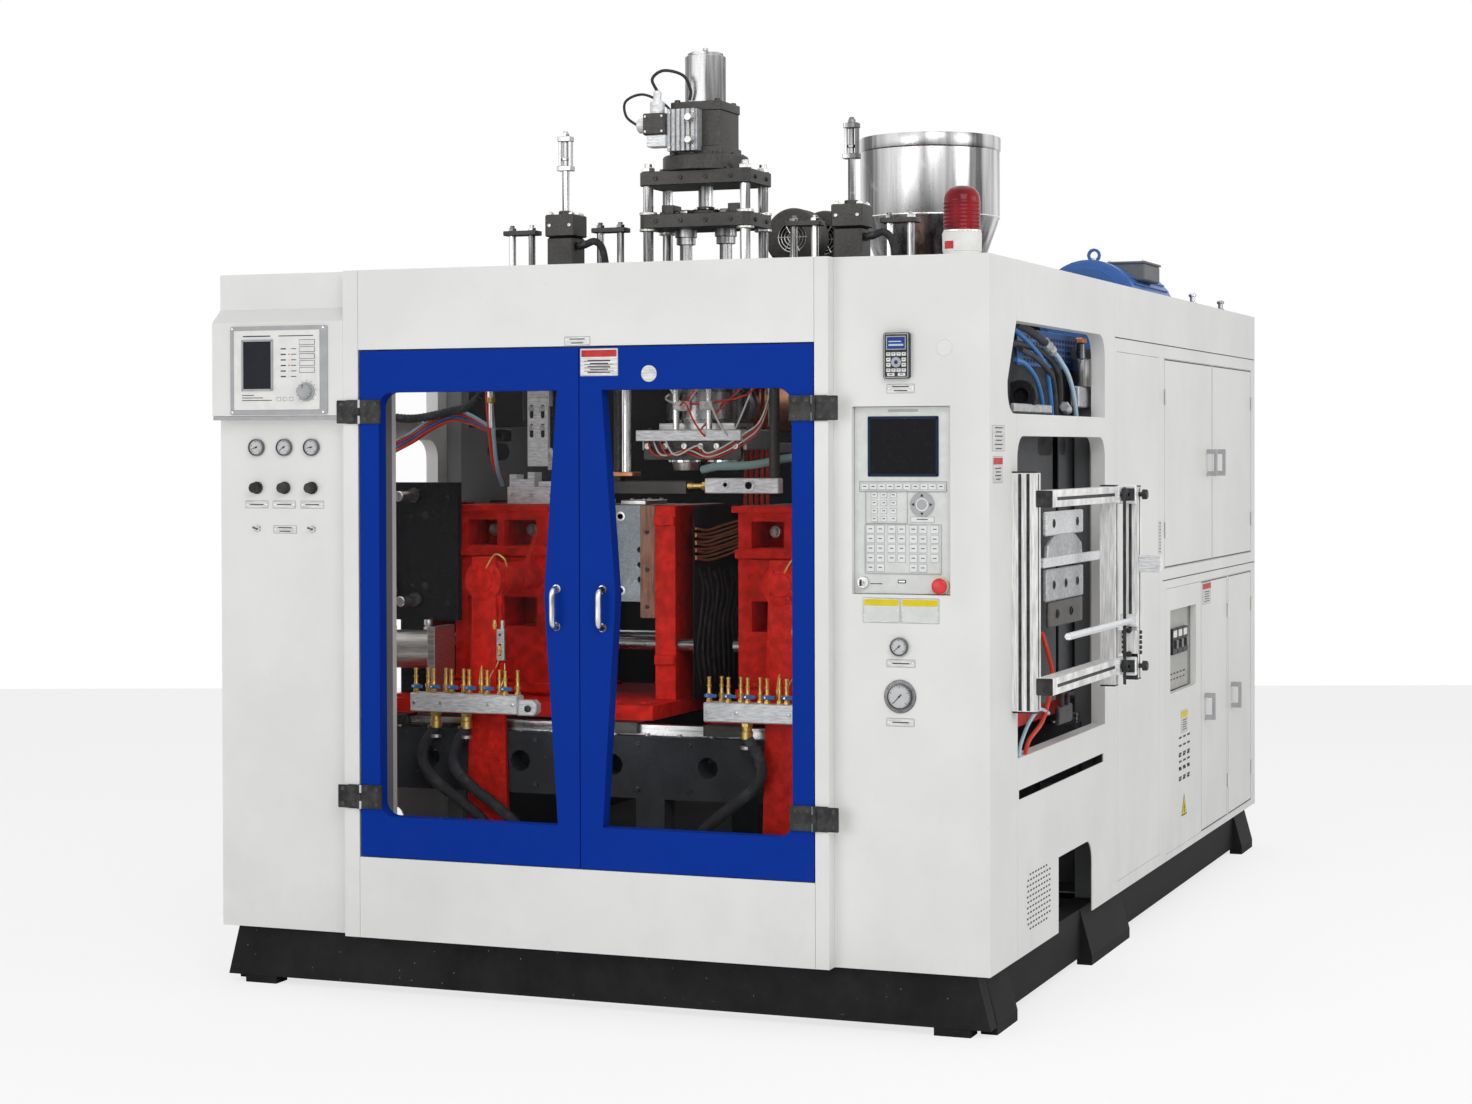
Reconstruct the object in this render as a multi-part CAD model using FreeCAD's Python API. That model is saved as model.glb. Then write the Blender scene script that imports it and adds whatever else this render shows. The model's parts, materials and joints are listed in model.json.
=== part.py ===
"""Twin-station extrusion blow moulding machine.

Millimetres.  X runs along the front from left to right, Y runs from the front
into the machine, Z is up.  Every height below is measured from the underside
of the sheet-metal enclosure; the finished solids are then lifted by the height
of the base frame and centred, so that the origin is the middle of the
footprint at floor level.
"""
import FreeCAD
import Part

import math
import os

V = FreeCAD.Vector

# ---------------------------------------------------------------- enclosure
width = 2045.0              # outside, left cabinet to right cabinet
depth = 3315.0              # outside, front of the cabinets to the rear wall
height = 1670.0             # underside of the enclosure to its top edge
base_height = 148.0         # floor to the underside of the enclosure
sheet = 3.0                 # cabinet sheet metal
fold = 38.0                 # depth of the folded edges round windows and doors
seam = 1.0                  # visible gap between neighbouring panels

cabinet_depth = 238.0       # front control cabinets
left_cabinet_width = 379.0
right_cabinet_width = 379.0
room_depth = 1240.0         # front to the rear of the moulding room
post_width = 42.0           # posts at both sides of the front doors
door_proud = 38.7           # the door frame stands this far before the cabinets
fascia_bottom = 1471.0      # fixed panel over the doors
kick_top = 202.0            # fixed panel under the doors

# ---------------------------------------------------------------- front doors
door_bottom = 204.0
door_top = 1468.0
window_bottom = 306.0
window_top = 1364.0
window_waist = 864.0        # height of the bent edge beside the handles
window_inset = 54.0         # door edge to window at the hinge side
window_gap = 59.0           # door edge to window at the meeting side
waist_gap = 94.0            # the same at the waist
window_radius = 38.0
pane_thickness = 5.0
pane_lap = 12.0             # how far the pane laps behind the window's fold
handle_offset = 60.0        # meeting line to the handle's centre
handle_height = 100.0
handle_centre = 836.0
handle_reach = 33.0
handle_bar = 15.0
hinge_size = 60.0
hinge_plate = 4.0
hinge_radius = 6.0
hinge_heights = (353.0, 1316.0)
hinge_clear = 0.5           # between a leaf and its neighbour's knuckle
knuckle_gap = 0.15          # half the gap between two knuckles
pin_radius = 3.0
running_clear = 0.05        # radial, shafts in bores
fine_sides = 6              # sides of the smallest round bars
bar_sides = 10              # sides of rods, columns and their bores
drum_sides = 14             # sides of drums and flanges
large_sides = 20            # sides of the hopper and the largest rings

# ---------------------------------------------------------------- side walls
window_rear = room_depth - 111.0
upper_window = ((156.0, 1303.0), (window_rear, 1303.0), (window_rear, 1524.0), (236.0, 1524.0),
                (156.0, 1380.0))
upper_window_radii = (60.0, 0.0, 60.0, 0.0, 0.0)
lower_window_rear = room_depth - 112.0
lower_window_z = (480.0, 1250.0)
lower_window_radius = 55.0
slot_z = (380.0, 403.0)
slot_rear = room_depth - 132.0
notch_y = (628.0, 981.0)
notch_top = 190.0

# ---------------------------------------------------------------- rear cabinet
pump_panel_y = (room_depth + 30.0, room_depth + 560.0)
pump_panel_z = (35.0, 1484.0)
upper_door_z = (867.0, 1484.0)
lower_door_z = (21.0, 804.0)
upper_split = (room_depth + 628.0, room_depth + 1339.0, depth - 72.0)
lower_split = (room_depth + 653.0, room_depth + 1160.0, room_depth + 1586.0, depth - 72.0)
side_pan = 18.0             # depth of a rear door's folded pan
side_handle_height = 84.0
breaker_y = (room_depth + 720.0, room_depth + 938.0)
breaker_z = (606.0, 674.0)
breaker_window_y = (room_depth + 712.0, room_depth + 1086.0)
breaker_window_z = (490.0, 738.0)
side_pivot_out = 5.3        # hinge axis outside the door's face
stop_clear = 0.5            # rear doors to the stops behind them
knuckle_room = 2.0          # a door's free edge stays this much clear of its neighbour's hinge
stop_depth = 40.0           # depth of those stops
rim_width = 60.0            # width of the rims under the roof line

# ---------------------------------------------------------------- base frame
beam_depth = 129.0          # height of the black base beams
beam_width = 60.0
beam_flare = 33.0           # each end of the front beam widens by this
foot_size = 90.0
gusset_places = ((76.0, 253.0), (room_depth - 246.0, room_depth + 194.0), (depth - 215.0, depth - 25.0))

# ---------------------------------------------------------------- machine frame and bed
column_size = 50.0
front_column = (385.0, 64.0)    # left front column, x and y of its corner
rear_column = (45.0, 1170.0)
deck_z = (1490.0, 1520.0)   # plate that carries the head and the blow units
deck_y = (560.0, 1225.0)
head_hole = 122.0
stand_leg_y = (room_depth + 660.0, room_depth + 1260.0, depth - 215.0)
bed_y = (400.0, 470.0)
bed_rear_y = (1080.0, 1150.0)
bed_z = (320.0, 481.0)
bed_hole_radius = 28.0
bed_hole_pitch = 265.0
rail_width = 30.0
rail_height = 28.0

# ---------------------------------------------------------------- mould stations
station_x = (width / 2 - 414.5, width / 2 + 418.5)     # blow-pin axes
blow_y = 800.0
shoe_height = 34.0
shoe_clear = 0.4
carriage_plate = 38.0
platen_y = (640.0, 1000.0)
platen_top = 1071.0
cast_platen_x = (-264.0, 20.0)  # moving platen, from the station's axis
mould_thickness = 100.0
mould_opening = 68.0
mould_y = (690.0, 910.0)
mould_z = (810.0, 1071.0)
insulation = 43.0
back_platen = 59.0
bar_radius = 16.0
bars_yz = ((665.0, 700.0), (935.0, 700.0), (970.0, 1010.0))
platform_x = ((-420.0, 400.0), (-290.0, 500.0))  # each station's platform, from its axis
end_plate = 35.0
bar_ends = (-285.0, 440.0)   # free inner ends of the bars of stations 2 and 1
boss_x = -41.0
boss_z = 878.0
boss_radius = 42.0
arm_y = (382.0, 397.0)
arm_bottom = 215.0
cheek_x = (-483.0, -238.0)
cheek_y = (605.0, 630.0)
cheek_z = (754.0, 1132.0)
bracket_plate = 22.0
bracket_z = (1076.0, 1285.0)
manifold_y = (330.0, 375.0)
manifold_z = (532.0, 581.0)
manifold_x = (-240.0, 71.0)
hose_radius = 13.0

# ---------------------------------------------------------------- head and extruder
head_x = width / 2 + 1.5
head_column = 14.0              # radius
head_column_x = 140.0
head_column_y = 68.0
head_plate_x = 160.0            # half sizes of the two plates
head_plate_y = 95.0
plate_thickness = 38.0
top_plate_z = 1930.0
crosshead_z = 1815.0
shaft_radius = 20.0
cap_top = 2291.0
barrel_z = 1340.0
feed_start = 914.0              # front face of the barrel's adapter
core_offsets = (-58.0, 58.0)    # the two parisons, either side of the head's axis
barrel_radius = 62.0
band_radius = 74.0
hopper_y = depth - 458.0
hopper_radius = 237.0
hopper_top = 2276.0
hopper_shoulder = 2005.0
hopper_throat = 60.0
hopper_wall = 3.0

# ---------------------------------------------------------------- take-out frame
profile = 40.0
take_out_z = (598.0, 1162.0)
take_out_y = (190.0, 820.0)
beam_heights = (658.0, 1101.0)


# ================================================================ helpers
def block(x, y, z):
    """Box between two values on each axis."""
    return Part.makeBox(x[1] - x[0], y[1] - y[0], z[1] - z[0], V(x[0], y[0], z[0]))


def prism_rod(radius, start, direction, length, sides=6):
    """Straight bar with a regular section, such as a bolt head."""
    wire = Part.makePolygon([
        V(radius * math.cos(math.tau * i / sides), radius * math.sin(math.tau * i / sides), 0)
        for i in range(sides + 1)])
    face = Part.Face(wire)
    face.Placement = FreeCAD.Placement(V(*start), FreeCAD.Rotation(V(0, 0, 1), V(*direction)))
    return face.extrude(V(*direction).normalize() * length)


def ring_points(radius, x, y, z, sides):
    """Corners of a level regular polygon."""
    return [V(x + radius * math.cos(math.tau * i / sides), y + radius * math.sin(math.tau * i / sides), z)
            for i in range(sides)]


def turned(sections, x, y, sides):
    """Upright solid with a regular section whose radius changes along (radius, height) pairs."""
    rings = [ring_points(radius, x, y, z, sides) for radius, z in sections]
    faces = [Part.Face(Part.makePolygon(ring + [ring[0]])) for ring in (rings[0], rings[-1])]
    for low, high in zip(rings, rings[1:]):
        for i in range(sides):
            j = (i + 1) % sides
            faces.append(Part.Face(Part.makePolygon([low[i], low[j], high[j], high[i], low[i]])))
    solid = Part.Solid(Part.Shell(faces))
    return solid if solid.Volume > 0 else solid.reversed()


def bore_radius(radius, sides):
    """Radius of a regular bore in which a regular shaft of the same radius can turn freely."""
    return (radius + running_clear) / math.cos(math.pi / sides)


def front(y):
    """Lift drawing points (x, z) to the upright plane at y."""
    return lambda u, v: V(u, y, v)


def side(x):
    """Lift drawing points (y, z) to the upright plane at x."""
    return lambda u, v: V(x, u, v)


def flat(z):
    """Lift drawing points (x, y) to the level plane at z."""
    return lambda u, v: V(u, v, z)


def outline(corners, lift, radii=0.0):
    """Face of a polygon whose corners are rounded by arcs."""
    count = len(corners)
    if not isinstance(radii, (tuple, list)):
        radii = (radii,) * count
    edges, first, last = [], None, None
    for i, (u, v) in enumerate(corners):
        here = V(u, v, 0)
        back = (V(*corners[i - 1], 0) - here).normalize()
        ahead = (V(*corners[(i + 1) % count], 0) - here).normalize()
        radius = radii[i]
        if radius > 0:
            half = math.acos(max(-1, min(1, back.dot(ahead)))) / 2
            reach = radius / math.tan(half)
            start, end = here + back * reach, here + ahead * reach
            middle = here + (back + ahead).normalize() * (radius / math.sin(half) - radius)
            arc = Part.Arc(lift(start.x, start.y), lift(middle.x, middle.y), lift(end.x, end.y)).toShape()
        else:
            start = end = here
            arc = None
        if last is not None:
            edges.append(Part.makeLine(lift(last.x, last.y), lift(start.x, start.y)))
        if first is None:
            first = start
        if arc:
            edges.append(arc)
        last = end
    edges.append(Part.makeLine(lift(last.x, last.y), lift(first.x, first.y)))
    return Part.Face(Part.Wire(edges))


def rectangle(u, v):
    """Corners of an upright rectangle."""
    return ((u[0], v[0]), (u[1], v[0]), (u[1], v[1]), (u[0], v[1]))


def prism(corners, lift, travel, radii=0.0):
    """Solid made by moving an outline along a vector."""
    return outline(corners, lift, radii).extrude(V(*travel))


def fuse(shapes):
    """One solid from touching shapes."""
    body = shapes[0]
    for shape in shapes[1:]:
        body = body.fuse(shape)
    return body.removeSplitter()


def cut(body, tools):
    """Take each tool out of the body."""
    for tool in tools:
        body = body.cut(tool)
    return body


def group(shapes):
    """Separate solids of one sub-part."""
    return Part.makeCompound(shapes)


def mirrored(shape, x):
    """Copy mirrored in the upright plane at x."""
    return shape.mirror(V(x, 0, 0), V(1, 0, 0))


def moved(shape, x=0.0, y=0.0, z=0.0):
    """Copy shifted by the given amounts."""
    copy = shape.copy()
    copy.translate(V(x, y, z))
    return copy


def fold_ring(opening, inward, amount):
    """Folded edge that lines an opening, one sheet thick."""
    grown = Part.Face(opening.OuterWire.makeOffset2D(sheet, 2))
    ring = grown.cut(opening)
    return ring.extrude(inward * amount)


def pan(corners, lift, inward, amount, openings=()):
    """Sheet panel with its outer edge and its openings folded inward."""
    outer = outline(corners, lift)
    inner = Part.Face(outer.OuterWire.makeOffset2D(-sheet, 2))
    pieces = [cut(outer, openings).extrude(inward * sheet), outer.cut(inner).extrude(inward * amount)]
    pieces += [fold_ring(opening, inward, amount) for opening in openings]
    return fuse(pieces)


def bow(centre, along, out, span, reach, thickness):
    """Square-section bow handle: two legs and a bar."""
    across = along.cross(out)

    def bar(start, end):
        size = abs(start[0] - end[0]), abs(start[1] - end[1])
        low = min(start[0], end[0]), min(start[1], end[1])
        corner = centre + along * low[0] + out * low[1] - across * (thickness / 2)
        face = Part.Face(Part.makePolygon([
            corner, corner + along * size[0], corner + along * size[0] + out * size[1],
            corner + out * size[1], corner]))
        return face.extrude(across * thickness)

    half = span / 2
    return fuse([
        bar((-half, 0), (-half + thickness, reach)),
        bar((half - thickness, 0), (half, reach)),
        bar((-half, reach - thickness * 0.6), (half, reach))])


# ================================================================ base
def base_frame():
    """Welded black base: flared front beam, long beams, cross beams and gusset feet."""
    left, right = 37.0, width - 37.0
    shapes = [prism(
        ((left, 0), (right, 0), (right + beam_flare, -beam_depth), (left - beam_flare, -beam_depth)),
        front(20.0), (0, beam_width, 0))]
    for x in (left, right - beam_width):
        shapes.append(block((x, x + beam_width), (20.0, depth - 30.0), (-beam_depth, 0)))
    for y in (bed_y[0] + 5, bed_rear_y[0] + 5, room_depth, 2300.0, depth - 30.0 - beam_width):
        shapes.append(block((left, right), (y, y + beam_width), (-beam_depth, 0)))
    for y0, y1 in gusset_places:
        for mirror in (False, True):
            foot = prism(((left + 8, 0), (left + 8, -base_height), (left - beam_flare, -base_height),
                          (left - beam_flare, -beam_depth + 8), (left, 0)), front(y0), (0, y1 - y0, 0))
            shapes.append(mirrored(foot, width / 2) if mirror else foot)
    for x in (53.0, width - 53.0 - foot_size):
        shapes.append(block((x, x + foot_size), (22.0, 78.0), (-base_height, -beam_depth)))
    return fuse(shapes)


def machine_frame():
    """Grey portal frame that carries the head, the blow units and the extruder."""
    size = column_size
    top = deck_z[0]
    shapes = []
    for mirror in (False, True):
        (fx, fy), (rx, ry) = front_column, rear_column
        half = [block((fx, fx + size), (fy, fy + size), (0, top)),
                block((rx, rx + size), (ry, ry + size), (0, top)),
                block((fx, fx + size), (fy, ry + size), (top - size, top))]
        shapes += [mirrored(piece, width / 2) if mirror else piece for piece in half]
    shapes.append(block((front_column[0], width - front_column[0]), (front_column[1], front_column[1] + size),
                        (top - size, top)))
    shapes.append(block((rear_column[0], width - rear_column[0]), (rear_column[1], rear_column[1] + size),
                        (top - size, top)))
    shapes.append(block((front_column[0], width - front_column[0]), deck_y, deck_z))
    portal = fuse(shapes)
    drill = deck_z[1] - deck_z[0] + 2
    holes = [prism_rod(head_hole, (head_x, blow_y, deck_z[0] - 1), (0, 0, 1), drill, large_sides)]
    for x in station_x:
        holes.append(block((x - cylinder_half - 1, x + cylinder_half + 1),
                           (blow_y - cylinder_half - 1, blow_y + cylinder_half + 1),
                           (deck_z[0] - 1, deck_z[1] + 1)))
    stand_top = barrel_z - 100.0
    legs = [block((x, x + size), (y, y + size), (sheet, stand_top))
            for y in stand_leg_y for x in (head_x - 150, head_x + 100)]
    table = block((head_x - 180, head_x + 180), (stand_leg_y[0] - size, stand_leg_y[-1] + 2 * size),
                  (stand_top - 30, stand_top))
    return group([cut(portal, holes), fuse(legs + [table])])


# ================================================================ enclosure
def side_wall_sheet():
    """Whole right side of the moulding room, front cabinet included, at x = width."""
    inward = V(-1, 0, 0)
    lift = side(width)
    openings = [
        outline(upper_window, lift, upper_window_radii),
        outline(rectangle((cabinet_depth + seam / 2 + sheet, lower_window_rear), lower_window_z), lift,
                (0.0, 0.0, lower_window_radius, lower_window_radius))]
    wall = cut(outline(rectangle((0, room_depth - seam), (0, height)), lift), openings)
    wall = wall.cut(outline(rectangle((cabinet_depth + 14, slot_rear), slot_z), lift))
    wall = wall.cut(outline(rectangle(notch_y, (-1.0, notch_top)), lift, (0, 0, 60.0, 0)))
    pieces = [wall.extrude(inward * sheet)]
    pieces += [fold_ring(opening, inward, fold) for opening in openings]
    pieces.append(block((width - fold, width), (room_depth - seam - sheet, room_depth - seam), (0, height)))
    pieces.append(block((width - fold, width), (cabinet_depth + seam / 2, room_depth - seam),
                        (height - sheet, height)))
    return fuse(pieces)


def right_side_wall(whole):
    """Part of the side that lies behind the control cabinet."""
    return whole.cut(block((0, width + 10), (-10, cabinet_depth + seam / 2), (-10, height + 10)))


def cabinet_shell(whole):
    """Right control cabinet, open at the back, with the upper window's front end in its side."""
    x = (width - right_cabinet_width, width)
    outside = whole.common(block((0, width + 10), (0, cabinet_depth - seam / 2), (-10, height + 10)))
    return fuse([
        outside,
        block(x, (0, sheet), (0, height)),
        block((x[0], x[0] + sheet), (0, cabinet_depth - seam / 2), (0, height)),
        block(x, (0, cabinet_depth - seam / 2), (height - sheet, height)),
        block(x, (0, cabinet_depth - seam / 2), (0, sheet))])


panel_x = (width - 334.0, width - 94.0)      # recess of the control panel
panel_z = (880.0, 1319.0)
panel_recess = 30.0


def right_cabinet(whole):
    """Control cabinet with the recess of the control panel."""
    shell = cabinet_shell(whole)
    opening = outline(rectangle(panel_x, panel_z), front(0.0))
    shell = shell.cut(opening.extrude(V(0, sheet, 0)))
    grown = Part.Face(opening.OuterWire.makeOffset2D(sheet, 2))
    tray = [grown.cut(opening).extrude(V(0, panel_recess + sheet, 0)),
            moved(grown, y=panel_recess).extrude(V(0, sheet, 0))]
    return fuse([shell] + tray)


console_x = (0.0, 380.0)        # sloped housing on the left cabinet
console_z = (height - 373.0, height - 90.0)
console_front = (height - 362.0, height - 125.0)
console_reach = 40.0


def left_cabinet(whole):
    """Mirrored cabinet and the sloped console housing on its front."""
    console = prism(((0, console_z[0]), (-console_reach, console_front[0]),
                     (-console_reach, console_front[1]), (0, console_z[1])),
                    side(console_x[0]), (left_cabinet_width - console_x[0], 0, 0))
    return group([mirrored(cabinet_shell(whole), width / 2), console])


room_x = (left_cabinet_width, width - right_cabinet_width)
door_mid = (room_x[0] + room_x[1]) / 2 + 5.0
door_x = (room_x[0] + 47.0, room_x[1] - 37.0)


def hinge_leaf(x_axis, towards, centre_z, moving):
    """Half a hinge: square plate with its knuckles; the fixed half also holds the pin."""
    face_y = -door_proud
    axis = (x_axis, face_y - hinge_radius)
    third = hinge_size / 3
    low = centre_z - hinge_size / 2
    own = (1,) if moving else (0, 2)
    gap = hinge_radius + hinge_clear
    reach = x_axis + towards * (hinge_size / 2 + 2)
    shapes = []
    for i in range(3):
        start = x_axis if i in own else x_axis + towards * gap
        shapes.append(block(sorted((start, reach)), (face_y - hinge_plate, face_y),
                            (low + i * third, low + (i + 1) * third)))
    plate = fuse(shapes)
    barrel = third - 2 * knuckle_gap
    knuckles = [prism_rod(hinge_radius, (*axis, low + i * third + knuckle_gap), (0, 0, 1), barrel, fine_sides)
                for i in own]
    clear = [block((x_axis - gap, x_axis + gap), (face_y - hinge_plate - 1, face_y),
                   (low + i * third - knuckle_gap, low + (i + 1) * third + knuckle_gap))
             for i in range(3) if i not in own]
    body = fuse([cut(plate, clear)] + knuckles)
    if moving:
        bore = bore_radius(pin_radius, fine_sides)
        return body.cut(prism_rod(bore, (*axis, low - 1), (0, 0, 1), hinge_size + 2, fine_sides))
    pin = hinge_size - 2 * knuckle_gap
    return fuse([body, prism_rod(pin_radius, (*axis, low + knuckle_gap), (0, 0, 1), pin, fine_sides)])


hinge_x = (door_x[0] - 2.5, door_x[1] + 2.5)


def door_surround():
    """Frame round the front doors with its fascia, its kick panel and the fixed hinge leaves."""
    y = (-door_proud, 60.0)
    posts = [block((room_x[0], room_x[0] + post_width), y, (0, height)),
             block((room_x[1] - post_width + 8, room_x[1]), y, (0, height))]
    between = (room_x[0] + post_width, room_x[1] - post_width + 8)
    back = -door_proud + fold + 8
    header = block(between, (back, y[1]), (fascia_bottom + 8, height))
    sill = block(between, (back, y[1]), (0, kick_top - 8))
    frame = fuse(posts + [header, sill])
    inner = (between[0] + seam, between[1] - seam)
    panels = [pan(rectangle(inner, z), front(-door_proud), V(0, 1, 0), fold + 8)
              for z in ((fascia_bottom, height), (0, kick_top))]
    leaves = [hinge_leaf(x, towards, z, False)
              for x, towards in ((hinge_x[0], -1), (hinge_x[1], 1)) for z in hinge_heights]
    return group([frame] + panels + leaves)


def window_corners(edge_hinge, edge_meet, towards):
    """Window outline: straight at the hinge side, bent round the handle at the other."""
    hinge = edge_hinge + towards * window_inset
    meet = edge_meet - towards * window_gap
    waist = edge_meet - towards * waist_gap
    return ((hinge, window_bottom), (meet, window_bottom), (waist, window_waist), (meet, window_top),
            (hinge, window_top))


def front_door(edge_hinge, edge_meet, towards):
    """Folded sheet door with its five-cornered window."""
    corners = window_corners(edge_hinge, edge_meet, towards)
    radii = (window_radius, 0.0, 0.0, 0.0, window_radius)
    opening = outline(corners, front(-door_proud), radii)
    return pan(rectangle(sorted((edge_hinge, edge_meet)), (door_bottom, door_top)),
               front(-door_proud), V(0, 1, 0), fold, [opening])


def door_window(edge_hinge, edge_meet, towards):
    """Clear pane that laps behind the window's folded edge."""
    corners = window_corners(edge_hinge, edge_meet, towards)
    radii = (window_radius, 0.0, 0.0, 0.0, window_radius)
    pane = outline(corners, front(-door_proud + fold), radii)
    return Part.Face(pane.OuterWire.makeOffset2D(pane_lap, 2)).extrude(V(0, pane_thickness, 0))


def door_fittings(x_axis, towards, meet):
    """Bow handle and moving hinge leaves of one door."""
    handle = bow(V(meet - towards * handle_offset, -door_proud, handle_centre), V(0, 0, 1), V(0, -1, 0),
                 handle_height, handle_reach, handle_bar)
    return group([handle] + [hinge_leaf(x_axis, towards, z, True) for z in hinge_heights])


# ================================================================ rear cabinet
def side_opening(y, z):
    """Face of a door opening in the right wall, one seam larger than the door."""
    return outline(rectangle((y[0] - seam, y[1] + seam), (z[0] - seam, z[1] + seam)), side(width))


def side_door(y, z, opening=None):
    """Folded pan that closes an opening of the right wall."""
    openings = [opening] if opening else []
    return pan(rectangle((y[0] + seam / 2, y[1] - seam / 2), z), side(width), V(-1, 0, 0), side_pan, openings)


def side_handle(y, z):
    """Upright bow handle on the right side."""
    return bow(V(width, y, z), V(0, 0, 1), V(1, 0, 0), side_handle_height, handle_reach, handle_bar)


def side_knuckles(y, z, inward_sign):
    """Small black hinge barrels of a rear door."""
    return [prism_rod(5.0, (width + side_pivot_out, y + inward_sign * 4.0, level), (0, 0, 1), 46.0)
            for level in (z[0] + 90.0, z[1] - 136.0)]


def rear_cabinet():
    """Right wall beside the extruder and the hydraulics, with its stops and two lift-off panels."""
    start = room_depth
    rear = depth - sheet
    inner = width - side_pan - stop_depth
    behind = width - side_pan - stop_clear
    right = cut(outline(rectangle((start, depth), (0, height)), side(width)), [
        side_opening(pump_panel_y, pump_panel_z),
        side_opening((upper_split[0], upper_split[-1]), upper_door_z),
        side_opening((lower_split[0], lower_split[-1]), lower_door_z)]).extrude(V(-sheet, 0, 0))
    stops = [block((inner, width - sheet), (y, y + 60), (0, height))
             for y in (pump_panel_y[1] + 2 * seam, depth - 66)]
    stops += [block((inner, behind), (start, rear), (lower_door_z[1] - 10, upper_door_z[0] + 10)),
              block((inner, behind), (start, rear), (0, 30)),
              block((width - rim_width, width - sheet), (start, rear), (upper_door_z[1] + 3, height))]
    for y, level in ((upper_split[1], upper_door_z), (lower_split[1], lower_door_z),
                     (lower_split[2], lower_door_z)):
        stops.append(block((inner + 10, behind), (y - 20, y + 20), (level[0] - 5, level[1] + 5)))
    pump_panel = side_door(pump_panel_y, pump_panel_z)
    opening = outline(rectangle(breaker_window_y, breaker_window_z), side(width), 6.0)
    breaker_panel = side_door((lower_split[0], lower_split[1]), lower_door_z, opening)
    vents = [block((width - sheet - 1, width + 1), (y, y + 42), (z, z + 7))
             for y in (start + 831, start + 891, start + 951) for z in range(215, 300, 36)]
    return group([fuse([right] + stops), pump_panel, cut(breaker_panel, vents)] + rear_walls())


def rear_walls():
    """Left wall with vent slots, rear wall and floor sheet; both walls have a rim under the roof line."""
    rear = depth - sheet
    slots = [block((-1, sheet + 1), (y, y + 120), (z, z + 12))
             for y in (room_depth + 760, room_depth + 920) for z in range(240, 320, 30)]
    left_rim = block((0, rim_width), (room_depth, depth - rim_width), (height - sheet, height))
    left = cut(block((0, sheet), (room_depth, rear), (0, height)).fuse(left_rim), slots)
    back_rim = block((sheet, width - rim_width), (depth - rim_width, rear), (height - sheet, height))
    back = block((0, width - sheet), (rear, depth), (0, height)).fuse(back_rim)
    floor = block((sheet, width - side_pan - stop_depth), (room_depth, rear), (0, sheet))
    return [left, back, floor]


def circuit_breakers():
    """Three moulded breakers on a mounting plate behind the breaker window."""
    y0, y1 = breaker_window_y[0] - 20, breaker_window_y[1] + 20
    z = (breaker_window_z[0] - 20, breaker_window_z[1] + 20)
    back = width - 86
    plate = block((back - 4, back), (y0, y1), z)
    legs = [block((back, width - sheet), (y, y + 12), z) for y in (y0, y1 - 12)]
    shapes = [fuse([plate] + legs)]
    pitch = (breaker_y[1] - breaker_y[0]) / 3
    for i in range(3):
        y = breaker_y[0] + i * pitch
        body = block((back, width - 34), (y, y + pitch - 8), breaker_z)
        nose = block((width - 34, width - 26), (y + 18, y + pitch - 26),
                     (breaker_z[0] + 18, breaker_z[1] - 18))
        shapes.append(fuse([body, nose]))
    return group(shapes)


# ================================================================ controls
unit_x = (56.0, 337.0)
unit_z = (height - 359.0, height - 135.0)
knob_place = (280.0, unit_z[0] + 57.0)


def parison_controller():
    """Panel unit on the console: frame, face plate, screen bezel and raised keys."""
    face = -console_reach
    body = block(unit_x, (face - 5, face), unit_z)
    low = unit_z[0]
    plate = block((69.0, 317.0), (face - 8, face - 5), (low + 12, low + 213))
    bezel = block((93.0, 184.0), (face - 12, face - 8), (low + 60, low + 190))
    screen = block((98.0, 181.0), (face - 13, face - 9), (low + 70, low + 180))
    shapes = [body, plate, bezel.cut(screen)]
    for i in range(5):
        z = low + 106 + i * 17.5
        shapes.append(block((261.0, 303.0), (face - 10, face - 8), (z, z + 11)))
    stem = prism_rod(4.0, (knob_place[0], face - 8, knob_place[1]), (0, -1, 0), 12.0, fine_sides)
    return fuse(shapes + [stem])


def jog_knob():
    """Knob with finger flutes on the panel unit's shaft."""
    face = -console_reach - 8.5
    x, z = knob_place
    skirt = prism_rod(24.0, (x, face, z), (0, -1, 0), 5.0, drum_sides)
    grip = prism_rod(20.0, (x, face - 5.0, z), (0, -1, 0), 17.0, bar_sides)
    bore = prism_rod(bore_radius(4.0, fine_sides), (x, face + 1, z), (0, -1, 0), 13.5, fine_sides)
    return fuse([skirt, grip]).cut(bore)


gauge_z = height - 442.0
gauge_places = ((108.0, gauge_z), (189.0, gauge_z), (268.0, gauge_z))
knob_z = gauge_z - 103.0
toggle_z = gauge_z - 208.0
extra_gauges = ((width - 217.0, 759.0, 22.0), (width - 216.0, 643.0, 39.0))


def gauge(x, z, radius):
    """Round pressure gauge: flange, raised bezel and sunk dial."""
    sides = drum_sides if radius > 30 else bar_sides
    flange = prism_rod(radius, (x, 0, z), (0, -1, 0), 4.0, sides)
    bezel = prism_rod(radius * 0.9, (x, -4, z), (0, -1, 0), 8.0, sides)
    well = prism_rod(radius * 0.76, (x, -8, z), (0, -1, 0), 10.0, sides)
    return fuse([flange, bezel]).cut(well)


def pressure_gauges():
    """Five panel gauges."""
    gauges = [gauge(x, z, 22.0) for x, z in gauge_places]
    return group(gauges + [gauge(x, z, r) for x, z, r in extra_gauges])


def regulator_knob(x):
    """Stepped regulator knob just before the panel."""
    neck = prism_rod(16.0, (x, -0.3, knob_z), (0, -1, 0), 6.0, bar_sides)
    grip = prism_rod(13.0, (x, -6.3, knob_z), (0, -1, 0), 20.0, fine_sides)
    return fuse([neck, grip])


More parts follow.
